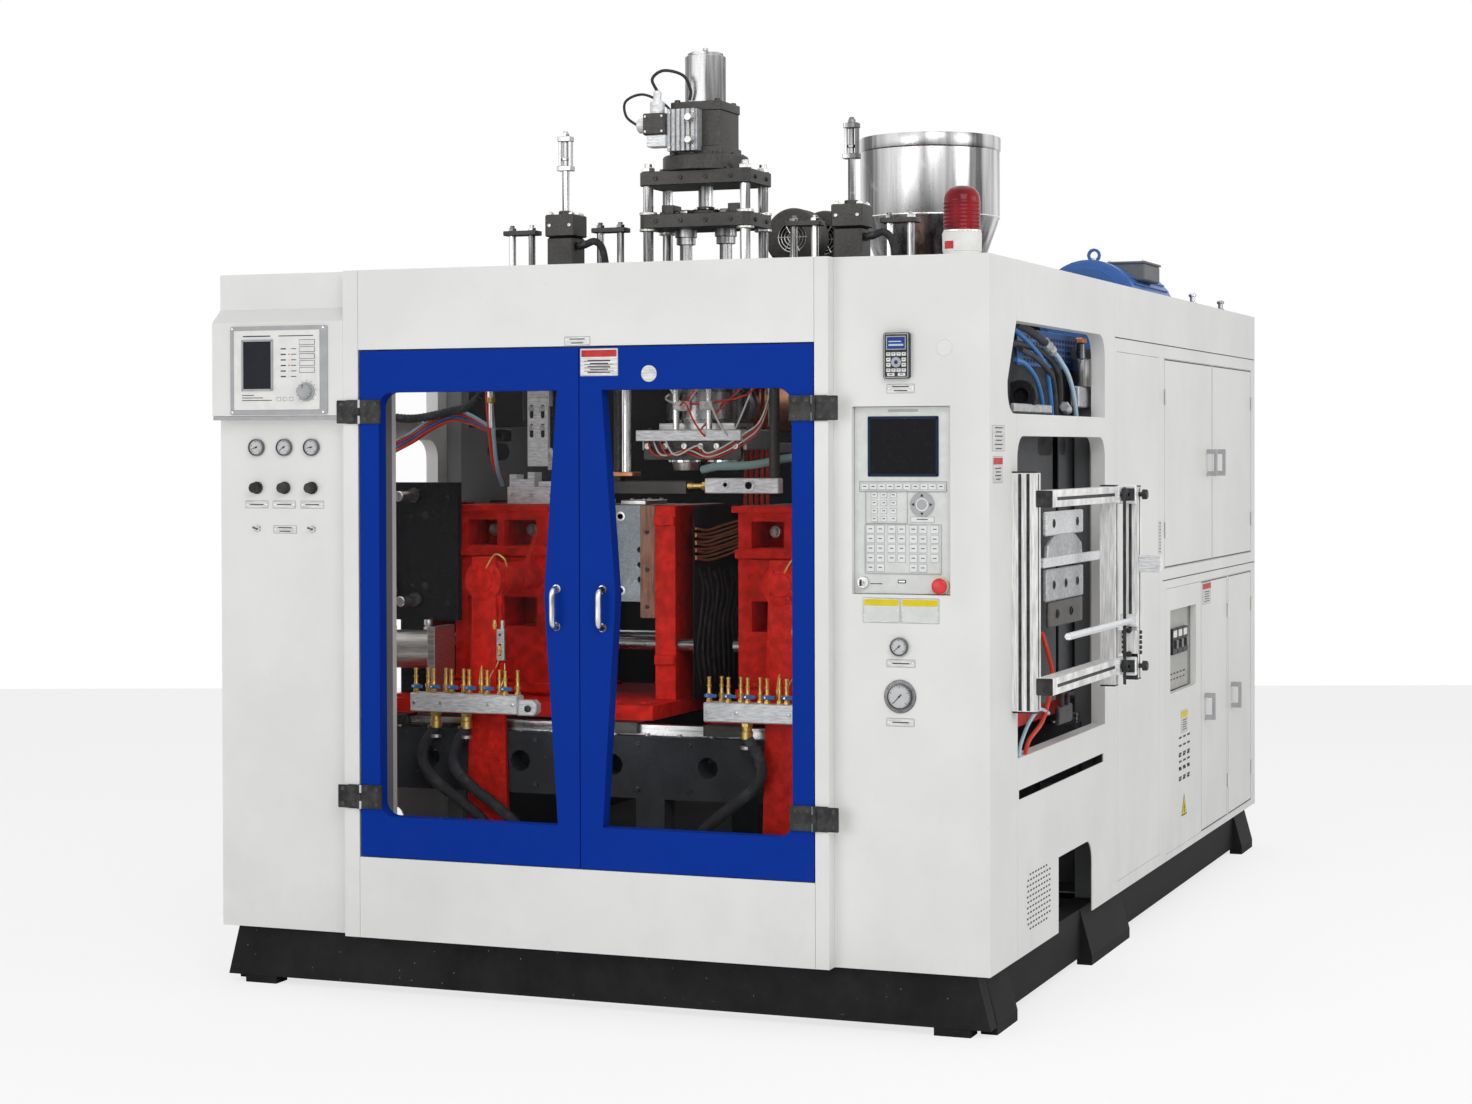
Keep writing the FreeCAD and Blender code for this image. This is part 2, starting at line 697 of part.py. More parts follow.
def toggle_switch(x):
    """Bat lever of a toggle switch, thrown down."""
    tilt = math.radians(14)
    lever = (0, -math.cos(tilt), -math.sin(tilt))
    return prism_rod(3.0, (x, -3.6, toggle_z), lever, 26.0)


def switch_bushes():
    """Threaded bushes of the two toggle switches on the left cabinet."""
    shapes = []
    for x in (gauge_places[0][0], gauge_places[2][0]):
        nut = prism_rod(9.0, (x, 0, toggle_z), (0, -1, 0), 2.6)
        shapes.append(nut)
    return shapes


estop_place = (width - 121.0, 901.0)
key_place = (width - 311.0, 907.0)


def control_panel():
    """Panel unit in the recess: bezel, screen, raised key fields, dial ring and button collars."""
    back = panel_recess
    left = panel_x[0]
    body = block((panel_x[0] + 1, panel_x[1] - 1), (back - 12, back), (panel_z[0] + 1, panel_z[1] - 1))
    screen = block((left + 40, left + 201), (back - 13, back - 9), (1161.0, 1290.0))
    body = body.cut(screen)
    shapes = [body]
    face = back - 12
    fields = (((left + 15, left + 225), (1121.0, 1142.0)), ((left + 40, left + 107), (1047.0, 1122.0 - 4)),
              ((left + 30, left + 210), (930.0, 1044.0)))
    shapes += [block(x, (face - 1.5, face), z) for x, z in fields]
    ring_place = (left + 167, face, 1093.0 - 6)
    shapes.append(prism_rod(27.0, ring_place, (0, -1, 0), 2.5, drum_sides))
    collar = prism_rod(20.0, (estop_place[0], face, estop_place[1]), (0, -1, 0), 6.0, drum_sides)
    guide = prism_rod(9.0, (estop_place[0], face - 6, estop_place[1]), (0, -1, 0), 7.0, fine_sides)
    key_ring = prism_rod(14.0, (key_place[0], face, key_place[1]), (0, -1, 0), 5.0, bar_sides)
    shapes += [collar, guide, key_ring]
    return fuse(shapes)


def e_stop_button():
    """Mushroom button that slides on the collar's guide."""
    x, z = estop_place
    face = panel_recess - 12 - 6
    stem = prism_rod(13.0, (x, face - 5.5, z), (0, -1, 0), 3.5, bar_sides)
    rim = prism_rod(18.5, (x, face - 9.0, z), (0, -1, 0), 5.0, drum_sides)
    crown = prism_rod(15.5, (x, face - 14.0, z), (0, -1, 0), 4.0, drum_sides)
    bore = prism_rod(9.0 + 2 * running_clear, (x, face - 1, z), (0, -1, 0), 12.0, fine_sides)
    return fuse([stem, rim, crown]).cut(bore)


def key_switch():
    """Key in its barrel."""
    x, z = key_place
    face = panel_recess - 12 - 5 - 0.3
    barrel = prism_rod(8.0, (x, face, z), (0, -1, 0), 4.0, 12)
    blade = block((x - 1.2, x + 1.2), (face - 24, face - 4), (z - 7, z + 7))
    return fuse([barrel, blade])


def drive_keypad():
    """Keypad of the screw drive with cut corners, with its sunk screen field."""
    body = block((width - 252, width - 188), (-15.0, 0), (height - 287, height - 180))
    upright = [edge for edge in body.Edges if abs(edge.tangentAt(edge.FirstParameter).y) > 0.9]
    body = body.makeChamfer(4.0, upright)
    return body.cut(block((width - 242, width - 198), (-16.0, -13.5), (height - 218, height - 190)))


# ================================================================ head
def die_head():
    """Twin-parison die head: body with heater bands, clamp plate, two nozzles and the feed neck."""
    top = deck_z[1] + 130.0
    body = prism_rod(100.0, (head_x, blow_y, 1290.0), (0, 0, 1), top - 1290.0, large_sides)
    plate = block((head_x - 151, head_x + 151), (blow_y - 90, blow_y + 90), (1218.0, 1273.0))
    neck = block((head_x - 110, head_x + 110), (blow_y - 70, blow_y + 70), (1273.0, 1290.0))
    feed = prism_rod(40.0, (head_x, blow_y + 60, barrel_z), (0, 1, 0), feed_start - blow_y - 60, bar_sides)
    shapes = [body, plate, neck, feed]
    for z in (1392.0, 1440.0):
        shapes.append(prism_rod(112.0, (head_x, blow_y, z), (0, 0, 1), 40.0, large_sides))
    for x in core_offsets:
        nozzle = turned(((34.0, 1164.0), (44.0, 1218.0)), head_x + x, blow_y, drum_sides)
        shapes.append(nozzle.cut(prism_rod(20.0, (head_x + x, blow_y, 1160.0), (0, 0, 1), 30.0, bar_sides)))
    return fuse(shapes)


def head_columns_xy():
    """The four column axes."""
    return [(head_x + sx * head_column_x, blow_y + sy * head_column_y) for sx in (-1, 1) for sy in (-1, 1)]


def chamfered_plate(z):
    """Head plate with its four corners cut."""
    a, b, c = head_plate_x, head_plate_y, 18.0
    corners = ((-a + c, -b), (a - c, -b), (a, -b + c), (a, b - c),
               (a - c, b), (-a + c, b), (-a, b - c), (-a, -b + c))
    return prism([(head_x + u, blow_y + v) for u, v in corners], flat(z), (0, 0, plate_thickness))


def head_frame():
    """Four columns and the fixed top plate."""
    shapes = [chamfered_plate(top_plate_z)]
    for x, y in head_columns_xy():
        shapes.append(prism_rod(head_column, (x, y, deck_z[1]), (0, 0, 1), top_plate_z - deck_z[1],
                                bar_sides))
    frame = fuse(shapes)
    bore = prism_rod(shaft_radius + 1, (head_x, blow_y, top_plate_z - 1), (0, 0, 1), plate_thickness + 2,
                     bar_sides)
    return frame.cut(bore)


def crosshead():
    """Plate that slides on the columns and sets the die gap, with its shaft and core rods."""
    plate = chamfered_plate(crosshead_z)
    bores = [prism_rod(head_column + running_clear, (x, y, crosshead_z - 1), (0, 0, 1), plate_thickness + 2,
                       bar_sides) for x, y in head_columns_xy()]
    shaft = prism_rod(shaft_radius, (head_x, blow_y, crosshead_z + plate_thickness), (0, 0, 1),
                      top_plate_z - crosshead_z - plate_thickness + 30, bar_sides)
    hub = prism_rod(42.0, (head_x, blow_y, crosshead_z + plate_thickness), (0, 0, 1), 14.0, drum_sides)
    cores = [prism_rod(17.0, (head_x + x, blow_y, deck_z[1] + 160), (0, 0, 1), crosshead_z - deck_z[1] - 160,
                       bar_sides) for x in core_offsets]
    return cut(fuse([plate, shaft, hub] + cores), bores)


def parison_cylinder():
    """Round flange, square cylinder block and the eight-sided cap with its bleed pin."""
    z0 = top_plate_z + plate_thickness
    flange = prism_rod(116.0, (head_x, blow_y, z0), (0, 0, 1), 42.0, large_sides)
    flange = flange.cut(prism_rod(shaft_radius + 1, (head_x, blow_y, z0 - 1), (0, 0, 1), 22.0, bar_sides))
    body = block((head_x - 70, head_x + 70), (blow_y - 70, blow_y + 70), (z0 + 42, 2154.0))
    cap = prism_rod(55.0, (head_x, blow_y, 2154.0), (0, 0, 1), cap_top - 2154.0 - 8, 8)
    crown = prism_rod(48.0, (head_x, blow_y, cap_top - 8), (0, 0, 1), 8.0, 8)
    pin = prism_rod(5.0, (head_x, blow_y, cap_top), (0, 0, 1), 14.0)
    return group([fuse([flange, body]), fuse([cap, crown, pin])])


def servo_valve():
    """Servo valve on its manifold, at the front left of the parison cylinder."""
    y1 = blow_y - 70
    manifold = block((head_x - 66, head_x + 18), (y1 - 46, y1), (2018.0, 2130.0))
    grooves = [block((head_x - 66 + i * 14, head_x - 60 + i * 14), (y1 - 47, y1 - 40), (2017.0, 2131.0))
               for i in range(1, 6)]
    manifold = cut(manifold, grooves)
    body = block((head_x - 130, head_x - 66), (y1 - 60, y1 - 6), (2062.0, 2120.0))
    torque = prism_rod(20.0, (head_x - 98, y1 - 33, 2120.0), (0, 0, 1), 34.0, bar_sides)
    plug = prism_rod(11.0, (head_x - 98, y1 - 33, 2154.0), (0, 0, 1), 28.0, fine_sides)
    side_cap = prism_rod(20.0, (head_x - 130, y1 - 33, 2090.0), (-1, 0, 0), 24.0, bar_sides)
    foot = block((head_x - 120, head_x - 66), (y1 - 56, y1 - 10), (2030.0, 2062.0))
    return fuse([manifold, body, torque, plug, side_cap, foot])


# ================================================================ extruder
def extruder_barrel():
    """Barrel with its adapter flange, feed block and three heater-band jackets."""
    y0, y1 = feed_start, hopper_y - 90
    tube = prism_rod(barrel_radius, (head_x, y0, barrel_z), (0, 1, 0), y1 - y0, bar_sides)
    adapter = prism_rod(86.0, (head_x, y0, barrel_z), (0, 1, 0), 36.0, bar_sides)
    feed = block((head_x - 95, head_x + 95), (y1, hopper_y + 95), (barrel_z - 100, barrel_z + 100))
    shapes = [tube, adapter, feed]
    count = 3
    pitch = (y1 - y0 - 160.0) / count
    for i in range(count):
        y = y0 + 90.0 + i * pitch
        shapes.append(prism_rod(band_radius, (head_x, y, barrel_z), (0, 1, 0), pitch - 60.0, bar_sides))
    throat = prism_rod(hopper_throat - 10, (head_x, hopper_y, barrel_z), (0, 0, 1), 101.0, drum_sides)
    return fuse(shapes).cut(throat)


blower_places = ((head_x + 16.0, room_depth + 200.0), (head_x + 72.0, room_depth + 320.0))
blower_radius = 86.0
blower_z = 1840.0
motor_place = (width - 288.0, room_depth + 860.0)   # axis of the blue motor, x and its front end's y
motor_radius = 157.0
belt_rear = depth - 75.0         # rear of the belt housing between gearbox and motor
motor_axis_z = 1640.0


def extruder_drive():
    """Gearbox behind the feed block, and the motor beside it with eye bolt and terminal box."""
    gearbox = block((head_x - 170, head_x + 170), (hopper_y + 96, belt_rear + 20),
                    (barrel_z - 99, barrel_z + 190))
    x, y = motor_place
    motor = prism_rod(motor_radius, (x, y, motor_axis_z), (0, 1, 0), 560.0, large_sides)
    shoulder = prism_rod(motor_radius - 26, (x, y - 30, motor_axis_z), (0, 1, 0), 30.0, large_sides)
    feet = block((x - 140, x + 140), (y + 80, y + 460), (motor_axis_z - 190, motor_axis_z - 120))
    stand = block((x - 120, x + 120), (y + 120, y + 420), (sheet, motor_axis_z - 190))
    link = block((head_x + 165, x), (belt_rear - 200, belt_rear), (barrel_z - 60, barrel_z + 120))
    shaft = prism_rod(60.0, (x, y + 560, motor_axis_z), (0, 1, 0), belt_rear - y - 560, bar_sides)
    tower = block((x - 80, x + 80), (belt_rear - 200, belt_rear), (barrel_z - 60, motor_axis_z + 60))
    box = block((x + 40, x + 150), (y + 120, y + 330),
                (motor_axis_z + 100, motor_axis_z + motor_radius - 8))
    eye_at = (x, y + 86, motor_axis_z + motor_radius + 19)
    eye = prism_rod(21.5, eye_at, (0, 1, 0), 9.0, 12).cut(prism_rod(12.5, eye_at, (0, 1, 0), 9.0, 12))
    stem = prism_rod(8.0, (x, y + 90, motor_axis_z + motor_radius - 10), (0, 0, 1), 15.0)
    return fuse([gearbox, link, tower, shaft, motor, shoulder, feet, stand, box, stem, eye])


def hopper():
    """Sheet cylinder with a rolled rim band, on a cone with its throat and flange."""
    t = hopper_wall
    low = barrel_z + 100 + 12
    r, n = hopper_radius, hopper_throat

    def shape(*sections):
        return turned(sections, head_x, hopper_y, large_sides)

    band = shape((r + 4, hopper_top - 46), (r + 4, hopper_top))
    cylinder = shape((r, hopper_shoulder), (r, hopper_top)).fuse(band)
    cylinder = cylinder.cut(shape((r - t, hopper_shoulder - 1), (r - t, hopper_top + 1)))
    flange = block((head_x - 90, head_x + 90), (hopper_y - 90, hopper_y + 90), (low - 12, low))
    cone = shape((n, low), (n, low + 60), (r, hopper_shoulder)).fuse(flange)
    cone = cone.cut(shape((n - t, low - 13), (n - t, low + 62), (r - t, hopper_shoulder)))
    return group([cylinder, cone])


def cooling_blowers():
    """Two drum-shaped blower housings on the barrel, each on its duct."""
    shapes = []
    for x, y in blower_places:
        z = blower_z
        drum = prism_rod(blower_radius, (x, y, z), (0, 1, 0), 80.0, large_sides)
        drum = drum.cut(prism_rod(44.0, (x, y - 1, z), (0, 1, 0), 50.0, drum_sides))
        seat = barrel_z + band_radius * math.cos(math.pi / bar_sides)
        duct = block((x - 34, x + 34), (y + 10, y + 70), (seat + 28, z - blower_radius + 8))
        foot = block((head_x - 50, x + 34), (y + 10, y + 70), (seat, seat + 28))
        shapes.append(fuse([drum, duct, foot]))
    return group(shapes)


tank_top = 520.0            # oil tank under its lid


def hydraulic_unit():
    """Oil tank with its cover, pump and motor, behind the pump panel."""
    x, y = width - 795.0, room_depth + 160.0
    tank = block((x, x + 650), (y, y + 550), (sheet, tank_top))
    lid = block((x - 10, x + 660), (y - 10, y + 560), (tank_top, tank_top + 10))
    motor = prism_rod(110.0, (x + 170, y + 80, tank_top + 130), (0, 1, 0), 330.0, drum_sides)
    foot = block((x + 80, x + 260), (y + 120, y + 360), (tank_top + 10, tank_top + 60))
    pump = prism_rod(60.0, (x + 170, y, tank_top + 130), (0, 1, 0), 80.0, bar_sides)
    strainer = prism_rod(50.0, (x + 470, y + 200, tank_top + 10), (0, 0, 1), 70.0, bar_sides)
    return fuse([tank, lid, motor, foot, pump, strainer])


beacon_place = (width - 100.0, 120.0)


def beacon_base():
    """Flared base of the rotating beacon."""
    foot = turned(((44.0, height), (44.0, height + 12)), *beacon_place, large_sides)
    body = turned(((46.0, height + 12), (47.0, height + 58)), *beacon_place, large_sides)
    return fuse([foot, body])


def beacon_lens():
    """Domed lens of the beacon."""
    low = height + 58
    shoulder, radius = low + 78, 44.0
    sections = [(radius, low)]
    for step in range(4):
        angle = math.radians(step * 16.0)
        sections.append((radius * math.cos(angle), shoulder + radius * math.sin(angle)))
    return turned(sections, *beacon_place, large_sides)


# ================================================================ blow units
cylinder_half = 40.0
rod_radius = 10.0
cylinder_top = 1806.0
head_block_top = 1879.0
post_top = 1815.0           # underside of the plates on the guide posts
pin_tip = 1225.0


def blow_unit(x):
    """Blow cylinder with its head block, pin bracket and four guide posts."""
    y = blow_y
    body = block((x - cylinder_half, x + cylinder_half), (y - 40, y + 40), (1384.0, cylinder_top))
    head = block((x - 44, x + 44), (y - 44, y + 44), (cylinder_top, head_block_top - 12))
    gland = prism_rod(20.0, (x, y, head_block_top - 12), (0, 0, 1), 12.0, bar_sides)
    barrel = fuse([body, head, gland])
    barrel = barrel.cut(prism_rod(rod_radius + running_clear, (x, y, 1300.0), (0, 0, 1), 700.0, bar_sides))
    bracket = block((x - 38, x + 38), (y + 40.5, y + 60), (1300.0, deck_z[0]))
    shapes = [barrel, bracket]
    for offset in (-133.0, 135.0):
        plate = block((x + offset - 50, x + offset + 50), (y - 22, y + 22), (post_top, post_top + 13))
        posts = [prism_rod(10.0, (x + offset + dx, y, deck_z[1]), (0, 0, 1), post_top - deck_z[1], fine_sides)
                 for dx in (-31.0, 29.0)]
        shapes.append(fuse([plate] + posts))
    return shapes


def blow_units():
    """Both blow cylinders with their guide posts."""
    return group(blow_unit(station_x[0]) + blow_unit(station_x[1]))


def blow_rod(x):
    """Piston rod with the adjusting cage on top and the blow pin below."""
    y = blow_y
    bar = turned(((rod_radius / 2, pin_tip), (rod_radius, pin_tip + 60), (rod_radius, 1995.0)), x, y,
                 bar_sides)
    low = block((x - 22, x + 22), (y - 14, y + 14), (1989.0, 2003.0))
    high = block((x - 20, x + 20), (y - 14, y + 14), (2070.0, 2084.0))
    posts = [block((x + s * 15 - 4, x + s * 15 + 4), (y - 8, y + 8), (2003.0, 2070.0)) for s in (-1, 1)]
    screw = prism_rod(7.0, (x, y, 1995.0), (0, 0, 1), 96.0, fine_sides)
    nut = prism_rod(11.0, (x, y, 2084.0), (0, 0, 1), 10.0)
    return fuse([bar, low, high, screw, nut] + posts)


# ================================================================ bed and stations
def machine_bed():
    """Black bed beams with lightening holes, their feet, and the two rails."""
    x = (70.0, width - 70.0)
    shapes = [block(x, bed_y, bed_z), block(x, bed_rear_y, bed_z)]
    for foot_x in (150.0, width / 2 - 37.5, width - 265.0):
        shapes.append(block((foot_x, foot_x + 80), bed_y, (0, bed_z[0])))
        shapes.append(block((foot_x, foot_x + 80), bed_rear_y, (0, bed_z[0])))
        shapes.append(block((foot_x, foot_x + 80), (bed_y[0], bed_rear_y[1]), (bed_z[0], bed_z[0] + 60)))
    bed = fuse(shapes)
    first = width / 2 - 102.5 - 2 * bed_hole_pitch
    holes = [prism_rod(bed_hole_radius, (first + i * bed_hole_pitch, bed_y[0] - 1, 405.0), (0, 1, 0),
                       bed_y[1] - bed_y[0] + 2, bar_sides) for i in range(6)]
    rails = [block(x, (y, y + rail_width), (bed_z[1], bed_z[1] + rail_height)) for y in rail_ys()]
    return group([cut(bed, holes)] + rails)


def rail_ys():
    """Front edges of the two rails."""
    return [(y[0] + y[1] - rail_width) / 2 for y in (bed_y, bed_rear_y)]


plate_z = (bed_z[1] + shoe_height, bed_z[1] + shoe_height + carriage_plate)
mould_plane = cast_platen_x[1] + mould_thickness + mould_opening / 2
back_x = cast_platen_x[1] + 2 * mould_thickness + mould_opening


def carriage(index):
    """Red carriage: platform on shoes, guide bars, front cheek, clamp cylinder and rear bracket."""
    x, outer = station_x[index], (1, -1)[index]
    low_x, high_x = (x + edge for edge in platform_x[index])
    shapes = [block((low_x, high_x), (bed_y[1] - 10, bed_rear_y[1] - 40), plate_z)]
    for y in rail_ys():
        for shoe_x in (low_x + 20, high_x - 130):
            shoe = block((shoe_x, shoe_x + 110), (y - 16, y + rail_width + 16), (bed_z[1] + 6, plate_z[0]))
            channel = block((shoe_x - 1, shoe_x + 111), (y - shoe_clear, y + rail_width + shoe_clear),
                            (bed_z[1], bed_z[1] + rail_height + shoe_clear))
            shapes.append(shoe.cut(channel))
    bar_x = (low_x, x + bar_ends[1]) if outer > 0 else (x + bar_ends[0], high_x)
    plate_start = low_x if outer > 0 else high_x - end_plate
    shapes.append(block((plate_start, plate_start + end_plate), platen_y, (plate_z[1], platen_top)))
    for y, z in bars_yz:
        shapes.append(prism_rod(bar_radius, (bar_x[0], y, z), (1, 0, 0), bar_x[1] - bar_x[0], bar_sides))

    def outward(low, high):
        return sorted((x + outer * low, x + outer * high))

    def drawn(corners):
        return [(x + outer * u, z) for u, z in corners]

    leg_x = outward(cheek_x[0] + 68, cheek_x[0] + 148)
    rear_y = platen_y[1] + 3
    shapes.append(block(outward(*cheek_x), cheek_y, cheek_z))
    shapes.append(block(leg_x, cheek_y, (plate_z[1], cheek_z[0])))
    shapes.append(block(leg_x, (rear_y, rear_y + bracket_plate), (plate_z[1], bracket_z[0])))
    bracket = prism(drawn(((-430.0, bracket_z[0]), (-135.0, bracket_z[0]), (-135.0, bracket_z[0] + 104),
                           (-215.0, bracket_z[1]), (-430.0, bracket_z[1]))), front(rear_y),
                    (0, bracket_plate, 0))
    slot = prism(drawn(rectangle((-345.0, -275.0), (1190.0, 1240.0))), front(rear_y - 1),
                 (0, bracket_plate + 2, 0), 24.0)
    shapes.append(bracket.cut(slot))
    barrel_x = outward(-421.0, -240.0)
    cylinder = prism_rod(52.0, (barrel_x[0], 530.0, 680.0), (1, 0, 0), barrel_x[1] - barrel_x[0], drum_sides)
    flange = block(outward(-262.0, -240.0), (470.0, 590.0), (plate_z[1], 745.0))
    return group([fuse(shapes), fuse([cylinder, flange])])


def bar_bores(x, span):
    """Running bores for the guide bars."""
    return [prism_rod(bar_radius + running_clear, (x + span[0] - 1, y, z), (1, 0, 0), span[1] - span[0] + 2,
                      bar_sides) for y, z in bars_yz]


def moving_platen(x):
    """Red cast platen with pockets, front boss and the long drive arm."""
    x0, x1 = x + cast_platen_x[0], x + cast_platen_x[1]
    low = plate_z[1] + shoe_clear
    body = block((x0, x1), platen_y, (low, platen_top))
    depth_in = 130.0
    front_y = (platen_y[0] - 1, platen_y[0] + depth_in)
    rear_y = (platen_y[1] - depth_in, platen_y[1] + 1)
    pockets = []
    for u in ((38.0, 128.0), (150.0, 246.0)):
        for z in ((960.0, 1030.0), (930.0, 948.0), (740.0, 820.0)):
            span = (x0 + u[0], x0 + u[1])
            pockets.append(block(span, front_y, z))
        pockets.append(block((x0 + u[0], x0 + u[1]), rear_y, (740.0, 930.0)))
    body = cut(body, pockets)
    top_block = block((x - 127.0, x1), (mould_y[0], mould_y[1]), (platen_top, platen_top + 48))
    boss = prism_rod(boss_radius, (x + boss_x, arm_y[0], boss_z), (0, 1, 0), platen_y[0] - arm_y[0],
                     drum_sides)
    boss_cap = prism_rod(boss_radius + 8, (x + boss_x, arm_y[0] - 14, boss_z), (0, 1, 0), 70.0, drum_sides)
    arm = prism(((x + boss_x - 42, boss_z), (x + boss_x - 60, arm_bottom), (x + boss_x + 60, arm_bottom),
                 (x + boss_x + 42, boss_z)), front(arm_y[0]), (0, arm_y[1] - arm_y[0], 0))
    ledge = block((x0 - 16, x1), (platen_y[0] - 8, platen_y[0]), (platen_top - 18, platen_top))
    casting = fuse([body, boss, boss_cap, arm, ledge])
    return group([cut(casting, bar_bores(x, cast_platen_x)), top_block])


def mould_half(x, right):
    """Mould half with half a bottle cavity, neck and back-plate bolt heads."""
    if right:
        span = (x + back_x - mould_thickness, x + back_x)
        face_x = span[0]
    else:
        span = (x + cast_platen_x[1], x + cast_platen_x[1] + mould_thickness)
        face_x = span[1]
    body = block(span, mould_y, mould_z)
    y, z = blow_y, mould_z[0]
    bottle_profile = ((50.0, 26.0), (50.0, 176.0), (19.0, 214.0), (19.0, mould_z[1] - z + 1))
    bottle = turned([(radius, z + rise) for radius, rise in bottle_profile], face_x, y, drum_sides)
    body = body.cut(bottle)
    if right:
        holes = [prism_rod(8.0, (span[1] - 22, mould_y[0] - 1, z), (0, 1, 0), 22.0)
                 for z in (mould_z[0] + 60, mould_z[0] + 100, mould_z[0] + 140)]
        body = cut(body, holes)
    return body


def back_platens(x):
    """Brown insulating plate and the red platen behind the right mould half, running on the bars."""
    first = (x + back_x, x + back_x + insulation)
    second = (first[1], first[1] + back_platen)
    red = block(second, platen_y, (plate_z[1] + shoe_clear, platen_top))
    brown = block(first, (platen_y[0], mould_y[1] + 20), (mould_z[0] - 40, platen_top))
    return group([brown, cut(red, bar_bores(0.0, second))])


def bent_hose(start, drop, radius, run, section):
    """Hose that hangs straight down, then bends to the right and runs on at a slant."""
    x, y, z = start
    turn = math.radians(48)
    low = z - drop
    bend_end = V(x + radius * (1 - math.cos(turn)), y, low - radius * math.sin(turn))
    middle = V(x + radius * (1 - math.cos(turn / 2)), y, low - radius * math.sin(turn / 2))
    direction = V(math.sin(turn), 0, -math.cos(turn))
    spine = Part.Wire([Part.makeLine(V(x, y, z), V(x, y, low)),
                       Part.Arc(V(x, y, low), middle, bend_end).toShape(),
                       Part.makeLine(bend_end, bend_end + direction * run)])
    ring = ring_points(section, x, y, z, fine_sides)
    return spine.makePipeShell([Part.makePolygon(ring + [ring[0]])], True, True)


def valve_manifold(x, hose_xs):
    """Cooling-water manifold: bar, ball valves on top, fixing lug and black hoses below."""
    bar = block((x + manifold_x[0], x + manifold_x[1]), manifold_y, manifold_z)
    lug = block((x + manifold_x[1], x + manifold_x[1] + 50), (manifold_y[0] + 12, manifold_y[1]),
                (manifold_z[0] - 6, manifold_z[1] - 12))
    pad = block((x + boss_x - 30, x + boss_x + 30), (manifold_y[1], arm_y[0]), manifold_z)
    shapes = [fuse([bar, lug, pad])]
    count = 12
    pitch = (manifold_x[1] - manifold_x[0] - 24) / (count - 1)
    mid = (manifold_y[0] + manifold_y[1]) / 2
    for i in range(count):
        vx = x + manifold_x[0] + 12 + i * pitch
        y = mid + (10 if i % 2 else -10)
        shapes.append(block((vx - 6, vx + 6), (y - 6, y + 6), (manifold_z[1], manifold_z[1] + 40)))
    for hx in hose_xs:
        shapes.append(prism_rod(11.0, (x + hx, mid, manifold_z[0] - 30), (0, 0, 1), 30.0))
        shapes.append(bent_hose((x + hx, mid, manifold_z[0] - 30), 90.0, 220.0, 80.0, hose_radius))
    return group(shapes)


# ================================================================ take-out frame
def take_out_frame():
    """Aluminium-profile frame outside the right lower window, with rods and swivel clamps."""
    x0 = width
    post = block((x0, x0 + 60), (take_out_y[0], take_out_y[0] + 40), take_out_z)
    shapes = [post]
    x1 = (x0 + 60, x0 + 60 + profile)
    for z in beam_heights:
        shapes.append(block(x1, take_out_y, (z - profile / 2, z + profile / 2)))
    shapes.append(block(x1, (take_out_y[1], take_out_y[1] + profile), (612.0, 1122.0)))
    frame = fuse(shapes)
    x2 = (x1[1] + 6, x1[1] + 6 + profile)
    y2 = take_out_y[1] + 60
    outer_post = block(x2, (y2, y2 + profile), (626.0, 1120.0))
    clamps = []
    for z in beam_heights:
        clamps.append(block((x1[0] + 4, x2[1] - 4), (take_out_y[1] + profile, y2), (z - 16, z + 16)))
    flat_bar = block((x2[1], x2[1] + 60), (y2 + 8, y2 + 20), (903.0, 941.0))
    plate = block((x2[0] - 10, x2[1] + 6), (y2 - 12, y2), (690.0, 750.0))
    start = take_out_y[0] + 40
    low_rod = prism_rod(9.0, (x2[0] + 20, start, 775.0), (0, 1, 0), y2 - start, fine_sides)
    brackets = [block((x0 - fold, x0), (start + 18, start + 58), (z - 14, z + 14)) for z in beam_heights]
    arms = [block((x0 - fold, x1[0]), (start + 18, start + 30), (z - 14, z + 14))
            for z in beam_heights]
    return fuse([frame, outer_post, flat_bar, plate, low_rod] + clamps + brackets + arms)


